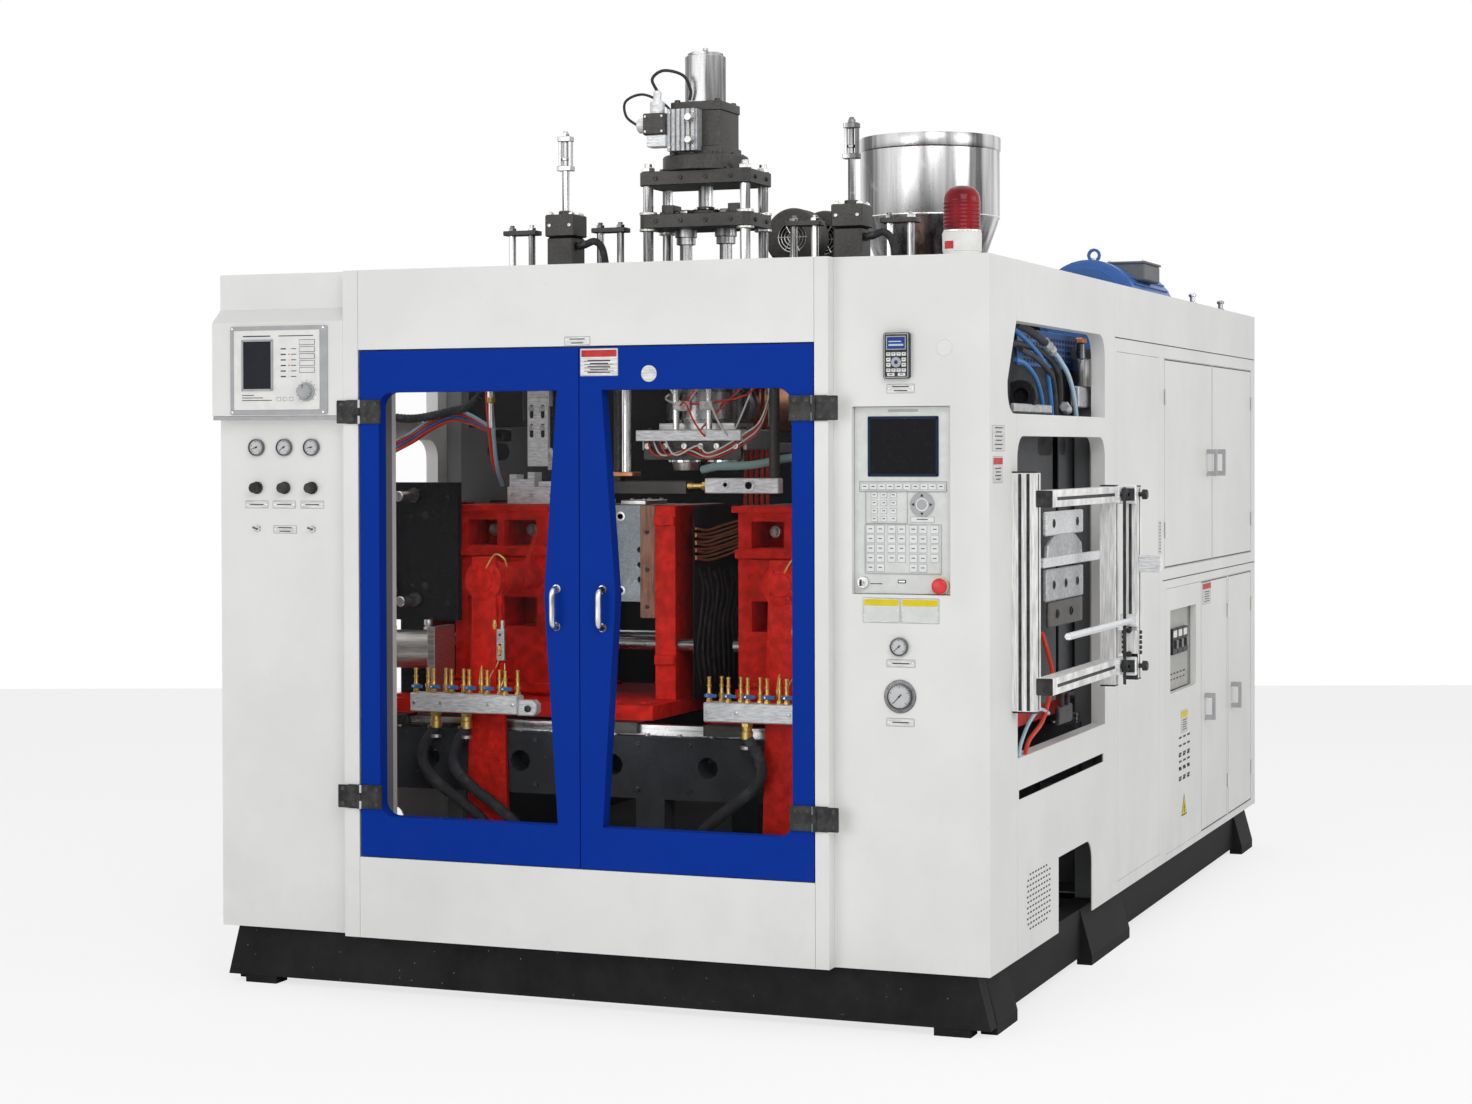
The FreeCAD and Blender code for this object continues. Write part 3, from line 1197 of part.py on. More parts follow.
# ================================================================ assembly
def build():
    """Every sub-part by name."""
    whole = side_wall_sheet()
    right_wall = right_side_wall(whole)
    parts = {
        "base_frame": base_frame(),
        "machine_frame": machine_frame(),
        "left_cabinet": group([left_cabinet(whole)] + switch_bushes()),
        "right_cabinet": right_cabinet(whole),
        "door_surround": door_surround(),
        "right_side_wall": right_wall,
        "left_side_wall": mirrored(right_wall, width / 2),
        "rear_cabinet": rear_cabinet(),
        "circuit_breakers": circuit_breakers(),
        "parison_controller": parison_controller(),
        "jog_knob": jog_knob(),
        "pressure_gauges": pressure_gauges(),
        "control_panel": control_panel(),
        "e_stop_button": e_stop_button(),
        "key_switch": key_switch(),
        "drive_keypad": drive_keypad(),
        "die_head": die_head(),
        "head_frame": head_frame(),
        "crosshead": crosshead(),
        "parison_cylinder": parison_cylinder(),
        "servo_valve": servo_valve(),
        "extruder_barrel": extruder_barrel(),
        "extruder_drive": extruder_drive(),
        "hopper": hopper(),
        "cooling_blowers": cooling_blowers(),
        "hydraulic_unit": hydraulic_unit(),
        "beacon_base": beacon_base(),
        "beacon_lens": beacon_lens(),
        "blow_units": blow_units(),
        "machine_bed": machine_bed(),
        "take_out_frame": take_out_frame(),
    }
    for i, (x, _) in enumerate(gauge_places):
        parts["regulator_knob_%d" % (i + 1)] = regulator_knob(x)
    for i, x in enumerate((gauge_places[0][0], gauge_places[2][0])):
        parts["toggle_switch_%d" % (i + 1)] = toggle_switch(x)
    for name, edge, towards in (("left", door_x[0], 1), ("right", door_x[1], -1)):
        meet = door_mid - towards * seam
        parts["front_door_" + name] = front_door(edge, meet, towards)
        parts["door_window_" + name] = door_window(edge, meet, towards)
        parts["door_fittings_" + name] = door_fittings(edge - towards * 2.5, towards, meet)
    doors = {
        "upper_door_front": (upper_split[0], upper_split[1], upper_door_z, upper_split[1] - 86, 1175.0, -1),
        "upper_door_rear": (upper_split[1], upper_split[2], upper_door_z, upper_split[1] + 50, 1175.0, 1),
        "lower_door_front": (lower_split[1], lower_split[2], lower_door_z, lower_split[1] + 63, 409.0, 1),
        "lower_door_rear": (lower_split[2] + knuckle_room, lower_split[3], lower_door_z, lower_split[2] + 70,
                            409.0, 1),
    }
    for name, (y0, y1, z, handle_y, handle_z, hinge_side) in doors.items():
        edge = y0 if hinge_side < 0 else y1
        parts[name] = group([side_door((y0, y1), z), side_handle(handle_y, handle_z)]
                            + side_knuckles(edge, z, -hinge_side))
    hoses = ((-175.0, -85.0), (-130.0,))
    for i, x in enumerate(station_x):
        parts["carriage_%d" % (i + 1)] = carriage(i)
        parts["moving_platen_%d" % (i + 1)] = moving_platen(x)
        parts["back_platens_%d" % (i + 1)] = back_platens(x)
        parts["mould_half_%da" % (i + 1)] = mould_half(x, False)
        parts["mould_half_%db" % (i + 1)] = mould_half(x, True)
        parts["valve_manifold_%d" % (i + 1)] = valve_manifold(x, hoses[i])
        parts["blow_rod_%d" % (i + 1)] = blow_rod(x)
    return parts


def main():
    """Build, centre on the footprint, stand on the floor and write one STEP file per sub-part."""
    parts = build()
    bound = FreeCAD.BoundBox()
    for shape in parts.values():
        bound.add(shape.BoundBox)
    shift = V(-(bound.XMin + bound.XMax) / 2, -(bound.YMin + bound.YMax) / 2, base_height)
    os.makedirs("parts", exist_ok=True)
    for name, shape in parts.items():
        shape.translate(shift)
        shape.exportStep("parts/" + name + ".step")
    print("nodes", len(parts), "shift %.3f %.3f %.3f" % tuple(shift), "size %.1f x %.1f x %.1f" % (
        bound.XLength, bound.YLength, bound.ZLength))


main()
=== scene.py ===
import json
from math import cos, pi, radians, sin, tau

import bmesh
import bpy
import numpy as np
from bpy.props import FloatVectorProperty, IntProperty, PointerProperty
from bpy.types import Operator, Panel, PropertyGroup
from mathutils import Matrix, Vector

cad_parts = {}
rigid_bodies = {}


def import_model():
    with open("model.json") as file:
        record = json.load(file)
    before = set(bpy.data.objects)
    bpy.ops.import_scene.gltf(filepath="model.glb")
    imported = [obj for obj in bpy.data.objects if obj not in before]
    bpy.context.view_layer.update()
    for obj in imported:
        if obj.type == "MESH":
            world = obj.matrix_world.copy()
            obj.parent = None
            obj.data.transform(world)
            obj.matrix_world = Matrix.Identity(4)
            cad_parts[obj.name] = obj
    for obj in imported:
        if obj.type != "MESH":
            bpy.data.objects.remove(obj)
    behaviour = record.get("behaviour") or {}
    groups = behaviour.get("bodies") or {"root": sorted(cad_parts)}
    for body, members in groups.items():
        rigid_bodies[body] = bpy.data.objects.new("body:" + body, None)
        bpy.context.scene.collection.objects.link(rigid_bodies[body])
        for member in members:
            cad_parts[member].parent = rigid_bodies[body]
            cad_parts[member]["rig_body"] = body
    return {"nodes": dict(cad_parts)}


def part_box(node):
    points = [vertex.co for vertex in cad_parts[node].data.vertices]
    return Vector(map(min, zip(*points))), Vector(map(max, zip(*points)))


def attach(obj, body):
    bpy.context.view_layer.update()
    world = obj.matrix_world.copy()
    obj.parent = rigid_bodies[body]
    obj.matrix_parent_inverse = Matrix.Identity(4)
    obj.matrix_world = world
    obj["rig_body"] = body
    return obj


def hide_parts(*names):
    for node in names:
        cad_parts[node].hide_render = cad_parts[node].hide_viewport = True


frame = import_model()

bl_info = {
    "name": "Blow moulding machine",
    "version": (1, 0, 0),
    "blender": (4, 5, 0),
    "location": "3D View > Sidebar > Machine",
    "description": "Dresses the packed frame of a twin-station blow moulding machine",
    "category": "Object",
}

# The drawing is in millimetres: X along the front, Y into the machine, Z up
# from the underside of the enclosure.  CORNER is its origin in the row frame.
ROOM_DEPTH = 1240
CORNER = np.array(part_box("rear_cabinet")[0]) - np.array((0, ROOM_DEPTH * 0.001, 0))
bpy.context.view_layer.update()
WIDTH = 2045            # of the enclosure
DEPTH = 3315
STATIONS = (608, 1441)  # X of the two mould stations
BLOW_Y = 800            # Y of the blow rods and the die head
HEAD_X = 1024
HEAD = (HEAD_X, BLOW_Y, 0)
DOOR_Y = -38.7          # face of the front doors and of their frame
HINGE = 60              # side of a square front hinge leaf

# Directions of a face seen from outside: across, up and out of it.
FRONT = np.array(((1, 0, 0), (0, 0, 1), (0, -1, 0)), float)
RIGHT = np.array(((0, 1, 0), (0, 0, 1), (1, 0, 0)), float)
LEFT = np.array(((0, -1, 0), (0, 0, 1), (-1, 0, 0)), float)
BACK = np.array(((-1, 0, 0), (0, 0, 1), (0, 1, 0)), float)
TOP = np.array(((1, 0, 0), (0, 1, 0), (0, 0, 1)), float)
UNDER = np.array(((1, 0, 0), (0, -1, 0), (0, 0, -1)), float)
INWARD = np.array(((1, 0, 0), (0, 0, -1), (0, 1, 0)), float)

# Which ends of a turned form or a skin are closed.
OPEN, CAPPED_LOW, CAPPED_HIGH = (False, False), (True, False), (False, True)
FINISH = {}       # filled by the first operator
FORM_ANGLE = 35   # edges sharper than this many degrees stay sharp on new pieces
COPY_ANGLE = 38   # the same on rounded copies


# ---------------------------------------------------------------- shape maths
def ring(radius, sides, phase=0):
    """Circle: radius times cosine and sine of equal steps round the turn."""
    angle = np.arange(sides) * tau / sides + phase
    return np.stack((np.cos(angle), np.sin(angle)), axis=-1) * radius


def rounded(width, height, radius, steps=4):
    """Rounded rectangle: four corner centres plus quarter circles of the radius."""
    radius = min(radius, width / 2 - 0.01, height / 2 - 0.01)
    quarter = np.linspace(0, pi / 2, steps + 1)
    corners = np.array(((1, 1), (-1, 1), (-1, -1), (1, -1)), float)
    centres = corners * (width / 2 - radius, height / 2 - radius)
    angle = quarter[None, :] + np.arange(4)[:, None] * pi / 2
    arcs = np.stack((np.cos(angle), np.sin(angle)), axis=-1) * radius
    return (centres[:, None, :] + arcs).reshape(-1, 2)


def inset(outline, distance):
    """Outline moved in: corners go along the sum of their edge normals over one plus their cosine."""
    edge = np.roll(outline, -1, axis=0) - outline
    edge = edge / np.linalg.norm(edge, axis=1, keepdims=True)
    normal = np.stack((-edge[:, 1], edge[:, 0]), axis=-1)
    before = np.roll(normal, 1, axis=0)
    share = 1 + np.sum(normal * before, axis=1, keepdims=True)
    return outline + (normal + before) / np.maximum(share, 0.2) * distance


def smooth_path(points, count=None):
    """Cubic through every point: runs blend end points and tangents of half the neighbours' distance."""
    p = np.asarray(points, float)
    runs = len(p) - 1
    count = count or runs * 7 + 1
    tangent = np.gradient(p, axis=0)
    t = np.linspace(0, runs, count)
    k = np.minimum(t.astype(int), runs - 1)
    s = (t - k)[:, None]
    return ((2 * s**3 - 3 * s**2 + 1) * p[k] + (s**3 - 2 * s**2 + s) * tangent[k]
        + (3 * s**2 - 2 * s**3) * p[k + 1] + (s**3 - s**2) * tangent[k + 1])


def carried(path, outline, scale=None):
    """Outline carried along a path: path point plus the outline on two axes across the tangent."""
    path = np.asarray(path, float)
    tangent = np.gradient(path, axis=0)
    tangent /= np.linalg.norm(tangent, axis=1, keepdims=True)
    spread = np.abs(tangent).max(axis=0)
    guide = np.eye(3)[int(np.argmin(spread))]
    across = np.cross(tangent, guide)
    across /= np.linalg.norm(across, axis=1, keepdims=True)
    up = np.cross(across, tangent)
    scale = np.ones(len(path)) if scale is None else np.asarray(scale, float)
    flat = outline[None] * scale[:, None, None]
    return path[:, None] + flat[..., :1] * up[:, None] + flat[..., 1:] * across[:, None]


class Form:
    """Surfaces of one piece, in millimetres from an origin; paint() picks the finish of what follows."""

    def __init__(self, origin=(0, 0, 0)):
        self.origin = origin
        self.points = []
        self.faces = []
        self.finishes = []
        self.marks = []
        self.total = 0

    def paint(self, name):
        """Surfaces added after this have the finish of that name."""
        if FINISH[name] not in self.finishes:
            self.finishes.append(FINISH[name])
        self.current = self.finishes.index(FINISH[name])
        return self

    def skin(self, grid, ends=(True, True)):
        """Quads between the rings of a grid (rings, points, 3); end rings are closed by one face each."""
        rings, around = grid.shape[:2]
        index = np.arange(rings * around).reshape(rings, around)
        after = np.roll(index, -1, axis=1)
        quads = np.stack((index[:-1], after[:-1], after[1:], index[1:]), axis=-1).reshape(-1, 4).tolist()
        if ends[0]:
            quads.append(index[0, ::-1].tolist())
        if ends[1]:
            quads.append(index[-1].tolist())
        self.points.append(np.asarray(grid, float).reshape(-1, 3) + self.origin)
        self.faces += [tuple(int(i) + self.total for i in face) for face in quads]
        self.marks += [self.current] * len(quads)
        self.total += rings * around

    def put(self, grid, place, face):
        """Local points (across, up, out) go to the place on a face's three directions."""
        return np.asarray(place, float) + grid @ face

    def turned(self, profile, place, sides=40, face=TOP, ends=(True, True)):
        """Lathe: each (radius, height) pair is a circle of that radius at that height along the axis."""
        profile = np.asarray(profile, float)
        unit = ring(1, sides)
        grid = np.empty((len(profile), sides, 3))
        grid[..., :2] = unit[None] * np.maximum(profile[:, 0], 0.01)[:, None, None]
        grid[..., 2] = profile[:, 1][:, None]
        self.skin(self.put(grid, place, face), ends=ends)

    def slab(self, outline, low, high, place, edge=0.6, face=TOP):
        """Extruded outline whose two rims are chamfered: inset by the edge, full, full, inset."""
        outline = np.asarray(outline, float)
        edge = min(edge, abs(high - low) * 0.45)
        small = inset(outline, edge)
        rings = [(small, low), (outline, low + edge), (outline, high - edge), (small, high)]
        grid = np.stack([np.column_stack((o, np.full(len(o), w))) for o, w in rings])
        self.skin(self.put(grid, place, face))

    def plate(self, width, height, radius, low, high, place, edge=0.6, face=TOP):
        """Slab whose outline is a rounded rectangle."""
        self.slab(rounded(width, height, radius), low, high, place, edge, face)

    def block(self, x, y, z, edge=1):
        """Box with every edge chamfered: a cut-corner rectangle with inset rims."""
        width, depth = x[1] - x[0], y[1] - y[0]
        c = min(edge, width * 0.3, depth * 0.3)
        a, b = width / 2, depth / 2
        outline = np.array(((a, -b + c), (a, b - c), (a - c, b), (-a + c, b), (-a, b - c), (-a, -b + c),
            (-a + c, -b), (a - c, -b)))
        self.slab(outline, z[0], z[1], ((x[0] + x[1]) / 2, (y[0] + y[1]) / 2, 0), min(edge, c))

    def tube(self, points, radius, sides=14, smooth=True, ends=(True, True)):
        """Round tube: a circle carried along the smoothed path."""
        path = smooth_path(points) if smooth else np.asarray(points, float)
        self.skin(carried(path, ring(radius, sides)), ends=ends)

    def screw(self, place, face, radius, head=None):
        """Socket head: a cylinder with a chamfered rim and a hexagonal well."""
        head = head or radius * 0.9
        self.turned(((radius, 0), (radius, head * 0.85), (radius * 0.86, head), (radius * 0.5, head),
            (radius * 0.5, head * 0.4)), place, 12, face)

    def hexagon(self, place, face, radius, head):
        """Hexagonal head: a six-sided outline with chamfered rims."""
        self.slab(ring(radius, 6), 0, head, place, radius * 0.12, face)

    def build(self, name, slot, *replaces, body="machine"):
        """Piece of all the surfaces, smooth except at its edges, riding on its body."""
        mesh = bpy.data.meshes.new(name)
        points = np.concatenate(self.points) * 0.001 + CORNER
        mesh.from_pydata(points.tolist(), [], self.faces)
        for finish in self.finishes:
            mesh.materials.append(finish)
        mesh.polygons.foreach_set("material_index", np.array(self.marks, np.int32))
        mesh.validate()
        settle(name, mesh, body, replaces, FORM_ANGLE)


def settle(name, mesh, body, replaces, angle):
    """Links a mesh as a smooth piece, sharp at its edges, that rides on a body, and hides the nodes it
    replaces.
    """
    mesh.shade_smooth()
    mesh.set_sharp_from_angle(angle=radians(angle))
    piece = bpy.data.objects.new(name, mesh)
    bpy.context.scene.collection.objects.link(piece)
    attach(piece, body)
    if replaces:
        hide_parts(*replaces)
    return piece


def rounded_copy(node, name, slot, bevel, finish, *patches):
    """Copy of a node's solids with doubles merged, flat faces joined and its edges rounded.

    Each patch is a finish and a test of face centres in drawing millimetres; later patches win."""
    source = frame["nodes"][node]
    work = bmesh.new()
    work.from_mesh(source.data)
    bmesh.ops.remove_doubles(work, verts=work.verts, dist=2e-6)
    bmesh.ops.dissolve_limit(work, angle_limit=radians(0.5), verts=work.verts, edges=work.edges,
        delimit={"NORMAL"})
    mesh = bpy.data.meshes.new(name)
    work.to_mesh(mesh)
    work.free()
    for paint in (finish, *(patch[0] for patch in patches)):
        mesh.materials.append(FINISH[paint])
    centres = np.empty(len(mesh.polygons) * 3)
    mesh.polygons.foreach_get("center", centres)
    centres = (centres.reshape(-1, 3) - CORNER) * 1000
    marks = np.zeros(len(centres), np.int32)
    for k, (_, test) in enumerate(patches):
        marks[test(centres)] = k + 1
    mesh.polygons.foreach_set("material_index", marks)
    piece = settle(name, mesh, source["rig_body"], (node,), COPY_ANGLE)
    modifier = piece.modifiers.new("Edges", "BEVEL")
    modifier.width = bevel * 0.001
    modifier.segments = 2
    modifier.limit_method = "ANGLE"
    modifier.angle_limit = radians(COPY_ANGLE)
    modifier.harden_normals = True


def inside(x=(-1e9, 1e9), y=(-1e9, 1e9), z=(-1e9, 1e9)):
    """Test for points in a box."""
    low, high = np.array((x[0], y[0], z[0])), np.array((x[1], y[1], z[1]))
    return lambda p: np.all((p >= low) & (p <= high), axis=1)


def around(axis, centre, low, high):
    """Test for points whose distance from a line along an axis (0, 1 or 2) lies between two radii."""
    kept = [k for k in range(3) if k != axis]

    def test(p):
        distance = np.hypot(p[:, kept[0]] - centre[0], p[:, kept[1]] - centre[1])
        return (distance > low) & (distance < high)
    return test


def either(*tests):
    """Test that is true where any of its tests is."""
    return lambda p: np.any([test(p) for test in tests], axis=0)


def both(*tests):
    """Test that is true where all of its tests are."""
    return lambda p: np.all([test(p) for test in tests], axis=0)


# ---------------------------------------------------------------- finishes
class Value:
    """A socket in an expression: arithmetic on it adds Math nodes to its tree."""

    def __init__(self, shade, socket):
        self.shade = shade
        self.socket = socket

    # Sum, difference and product, with the socket on either side.
    def __add__(self, other):
        return self.shade.math("ADD", self, other)

    def __radd__(self, other):
        return self.shade.math("ADD", other, self)

    def __sub__(self, other):
        return self.shade.math("SUBTRACT", self, other)

    def __rsub__(self, other):
        return self.shade.math("SUBTRACT", other, self)

    def __mul__(self, other):
        return self.shade.math("MULTIPLY", self, other)

    def __rmul__(self, other):
        return self.shade.math("MULTIPLY", other, self)


class Shade:
    """Node tree of one finish, built round a Principled shader."""

    def __init__(self, name):
        self.finish = bpy.data.materials.new(name)
        self.finish.use_nodes = True
        self.tree = self.finish.node_tree
        self.shader = self.tree.nodes["Principled BSDF"]
        self.place = Value(self, self.node("ShaderNodeTexCoord").outputs["Object"])

    def node(self, kind, settings=(), **sockets):
        """New node: its settings, then the values or links of its sockets, named or numbered as s0, s1."""
        node = self.tree.nodes.new(kind)
        for key, value in dict(settings).items():
            setattr(node, key, value)
        for key, value in sockets.items():
            socket = node.inputs[int(key[1:])] if key[0] == "s" and key[1:].isdigit() else node.inputs[key]
            self.feed(socket, value)
        return node

    def feed(self, socket, value):
        """Links a Value, or writes a number or colour on the socket."""
        if isinstance(value, Value):
            self.tree.links.new(value.socket, socket)
        elif hasattr(value, "__len__") and len(value) == 3 and socket.type == "RGBA":
            socket.default_value = (*value, 1)
        else:
            socket.default_value = value

    def math(self, operation, a, b):
        """Result of one Math node on two values."""
        return Value(self, self.node("ShaderNodeMath", {"operation": operation}, s0=a, s1=b).outputs[0])

    def noise(self, scale, detail=3, rough=0.5, stretch=None, warp=0):
        """Noise from 0 to 1 whose grains are 1/scale metres across, or longer along a stretched axis."""
        place = self.place
        if stretch:
            settings = {"operation": "MULTIPLY"}
            place = Value(self, self.node("ShaderNodeVectorMath", settings, s0=place, s1=stretch).outputs[0])
        node = self.node("ShaderNodeTexNoise", {}, Vector=place, Scale=scale, Detail=detail, Roughness=rough,
            Distortion=warp)
        return Value(self, node.outputs["Fac"])

    def specks(self, scale, low, high):
        """1 within the low distance of scattered points, 0 beyond the high one."""
        node = self.node("ShaderNodeTexVoronoi", {"feature": "F1"}, Vector=self.place, Scale=scale)
        return 1 - self.between(Value(self, node.outputs["Distance"]), low, high)

    def along(self, axis):
        """Object coordinate on one axis, in metres."""
        node = self.node("ShaderNodeSeparateXYZ", {}, Vector=self.place)
        return Value(self, node.outputs[axis])

    def between(self, value, low, high, start=0, end=1):
        """Value mapped from low..high to start..end and held there."""
        node = self.node("ShaderNodeMapRange", {"clamp": True, "interpolation_type": "SMOOTHSTEP"},
            Value=value)
        for key, number in (("From Min", low), ("From Max", high), ("To Min", start), ("To Max", end)):
            node.inputs[key].default_value = number
        return Value(self, node.outputs["Result"])

    def mix(self, share, first, second):
        """Colour that goes from the first to the second as share goes from 0 to 1."""
        node = self.node("ShaderNodeMix", {"data_type": "RGBA"}, s0=share, s6=first, s7=second)
        return Value(self, node.outputs[2])

    def tone(self, value, low, high, colour, dark, light):
        """Colour times the dark share below the low value, times the light share above the high one."""
        return self.mix(self.between(value, low, high), darker(colour, dark), darker(colour, light))

    def end(self, base, rough, bump=None, strength=0.2, depth=0.001, metal=0, **constants):
        """Feeds the shader and gives back the finished material."""
        self.feed(self.shader.inputs["Base Color"], base)
        self.feed(self.shader.inputs["Roughness"], rough)
        self.feed(self.shader.inputs["Metallic"], metal)
        for key, value in constants.items():
            self.feed(self.shader.inputs[key.replace("_", " ")], value)
        if bump is not None:
            node = self.node("ShaderNodeBump", {}, Height=bump)
            node.inputs["Strength"].default_value = strength
            node.inputs["Distance"].default_value = depth
            self.feed(self.shader.inputs["Normal"], Value(self, node.outputs["Normal"]))
        return self.finish


def darker(colour, share):
    """Colour times a share, held at white."""
    return tuple(min(c * share, 1) for c in colour)


def toward(colour, other, share):
    """Colour moved towards another by a share."""
    return tuple(a + (b - a) * share for a, b in zip(colour, other))


def sheet_enamel(name, colour, gloss=0.38, grime=0.5, shine=0.35):
    """Sprayed enamel on sheet: orange peel, faint cloudy tone, scuffs, and dust low down."""
    s = Shade(name)
    cloud = s.noise(2.2, 4, 0.6)
    peel = s.noise(420, 2, 0.5)
    waves = s.noise(9, 2, 0.4, (1, 1, 0.35))
    scuff = s.between(s.noise(26, 8, 0.72, (1, 1, 0.4), 0.6), 0.62, 0.74)
    specks = s.specks(21, 0.018, 0.034)
    low = 1 - s.between(s.along("Z"), 0.12, 0.5)
    dust = s.between(s.noise(7, 7, 0.7, (1, 1, 0.5)), 0.45, 0.75) * low
    base = s.tone(cloud, 0.3, 0.7, colour, 0.955, 1.04)
    base = s.mix(scuff * (0.10 * grime), base, (0.32, 0.30, 0.27))
    base = s.mix(dust * (0.22 * grime), base, (0.35, 0.32, 0.28))
    base = s.mix(specks * (0.5 * grime), base, (0.10, 0.09, 0.08))
    rough = gloss + 0.10 * cloud + 0.22 * scuff + 0.2 * dust
    return s.end(base, rough, peel * 0.35 + waves * 1.2, 0.12, 0.0012, Specular_IOR_Level=shine)


def cast_enamel(name, colour):
    """Thick enamel on rough casting: lumps, runs, worn spots, grease, and painted shade that darkens it
    toward the back.
    """
    s = Shade(name)
    lumps = s.noise(34, 5, 0.62)
    runs = s.noise(70, 4, 0.6, (1, 1, 0.22))
    grease = s.between(s.noise(6, 6, 0.68), 0.52, 0.72)
    spots = s.specks(60, 0.05, 0.11)
    # Painted shade: the enamel turns darker toward the back, along the object's Y.
    depth_shade = s.between(s.along("Y"), -1, -0.66)
    base = s.tone(lumps, 0.3, 0.72, colour, 0.78, 1.3)
    base = s.mix(grease * 0.45, base, darker(colour, 0.2))
    base = s.mix(spots * 0.25, base, toward(colour, (0.9, 0.75, 0.7), 0.3))
    base = s.mix(depth_shade * 0.85, base, darker(colour, 0.06))
    return s.end(base, 0.24 + 0.16 * lumps + 0.2 * grease, lumps * 0.8 + runs * 0.4, 0.55, 0.004,
        Specular_IOR_Level=0.06)


def speckled_enamel(name, colour, speck, gloss=0.42):
    """Hammered enamel: dense light specks in a dark ground with a pitted surface."""
    s = Shade(name)
    grain = s.noise(330, 4, 0.75)
    cloud = s.noise(4.5, 5, 0.6)
    base = s.mix(s.between(grain, 0.5, 0.85), darker(colour, 0.75), speck)
    base = s.mix(s.between(cloud, 0.3, 0.75) * 0.3, base, darker(colour, 0.5))
    return s.end(base, gloss + 0.18 * cloud, grain, 0.35, 0.0012, Specular_IOR_Level=0.05)


def welded_enamel(name, colour):
    """Dull enamel on rolled steel: mill texture, pale scratches and chips."""
    s = Shade(name)
    mill = s.noise(150, 5, 0.7)
    cloud = s.noise(5, 6, 0.65)
    scratch = s.between(s.noise(48, 6, 0.8, (0.25, 0.25, 1.6), 0.4), 0.66, 0.72)
    chips = s.specks(34, 0.03, 0.06)
    base = s.tone(cloud, 0.25, 0.75, colour, 0.7, 1.35)
    base = s.mix(scratch * 0.22, base, (0.42, 0.41, 0.40))
    base = s.mix(chips * 0.6, base, (0.36, 0.33, 0.30))
    return s.end(base, 0.46 + 0.2 * cloud, mill, 0.3, 0.0015, Specular_IOR_Level=0.05)


def turned_steel(name, colour=(0.62, 0.62, 0.60), rough=0.22, lay=(1, 1, 1), grain=220, stain=0.25,
        metal=0.92):
    """Ground or turned metal: lines of the tool along its lay, soft stains and a few dark nicks."""
    s = Shade(name)
    lines = s.noise(grain, 4, 0.6, lay)
    cloud = s.noise(8, 5, 0.6)
    nicks = s.specks(55, 0.02, 0.05)
    base = s.tone(lines, 0.3, 0.7, colour, 0.82, 1.3)
    base = s.mix(s.between(cloud, 0.45, 0.75) * stain, base, darker(colour, 0.45))
    base = s.mix(nicks * 0.4, base, darker(colour, 0.3))
    return s.end(base, rough + 0.14 * lines + 0.12 * cloud, lines, 0.08, 0.0006, metal=metal)


def reflection_banded_steel(name, scale, dark, light, lay=(1, 1, 0.05)):
    """Polished round steel: broad and fine bands of light and dark along its length, which are painted
    reflections, with hand smears.
    """
    s = Shade(name)
    broad = s.noise(scale, 4, 0.55, lay)
    fine = s.noise(scale * 8, 5, 0.6, lay)
    smear = s.noise(9, 6, 0.65, None, 1.2)
    # Painted reflections: broad and fine bands of dark and light in the base colour.
    base = s.mix(s.between(broad, 0.42, 0.60), (dark,) * 3, (light,) * 3)
    base = s.mix(s.between(fine, 0.35, 0.7) * 0.35, base, (light * 0.4,) * 3)
    base = s.mix(s.between(smear, 0.58, 0.72) * 0.3, base, (light * 1.1,) * 3)
    return s.end(base, 0.17 + 0.16 * smear + 0.06 * fine, fine, 0.06, 0.0008, metal=0.95)


def cast_metal(name, colour, rough=0.5, scale=110, metal=0.85):
    """Sand-cast or machined block metal: granular tone and bump."""
    s = Shade(name)
    grain = s.noise(scale, 5, 0.7)
    cloud = s.noise(11, 5, 0.6)
    base = s.tone(grain, 0.3, 0.7, colour, 0.75, 1.25)
    base = s.mix(s.between(cloud, 0.45, 0.75) * 0.35, base, darker(colour, 0.5))
    return s.end(base, rough + 0.15 * grain, grain, 0.25, 0.001, metal=metal)


def moulded(name, colour, rough=0.42, grain=900, tone=0.08, **constants):
    """Moulded plastic: fine spark-eroded grain and slightly uneven gloss."""
    s = Shade(name)
    fine = s.noise(grain, 2, 0.5)
    cloud = s.noise(30, 4, 0.6)
    base = s.mix(s.between(cloud, 0.3, 0.7), darker(colour, 1 - tone), toward(colour, (1, 1, 1), tone * 0.5))
    return s.end(base, rough + 0.12 * cloud, fine, 0.12, 0.0004, Specular_IOR_Level=0.12, **constants)


def rubber(name, colour, rough=0.55):
    """Hose cover: cloth impression, chalky bloom and rubbed spots."""
    s = Shade(name)
    cloth = s.noise(380, 3, 0.6)
    bloom = s.between(s.noise(24, 6, 0.7), 0.45, 0.75)
    base = s.mix(bloom * 0.35, colour, toward(colour, (0.5, 0.5, 0.5), 0.35))
    return s.end(base, rough + 0.15 * bloom, cloth, 0.25, 0.0008, Specular_IOR_Level=0.08)


def phenolic(name):
    """Brown insulating board: pressed layers along its edge and oil marks."""
    s = Shade(name)
    layers = s.noise(260, 4, 0.6, (1, 0.06, 0.05))
    oil = s.between(s.noise(12, 6, 0.7), 0.45, 0.72)
    base = s.mix(s.between(layers, 0.3, 0.7), (0.20, 0.075, 0.04), (0.42, 0.19, 0.11))
    base = s.mix(oil * 0.5, base, (0.10, 0.045, 0.03))
    return s.end(base, 0.42 + 0.2 * oil, layers, 0.2, 0.0008)


def lens_plastic(name):
    """Ribbed translucent red lens."""
    s = Shade(name)
    cloud = s.noise(18, 3, 0.5)
    base = s.mix(s.between(cloud, 0.3, 0.7), (0.16, 0.003, 0.008), (0.34, 0.008, 0.014))
    return s.end(base, 0.12 + 0.08 * cloud, cloud, 0.05, 0.001, Transmission_Weight=0.2, IOR=1.3)


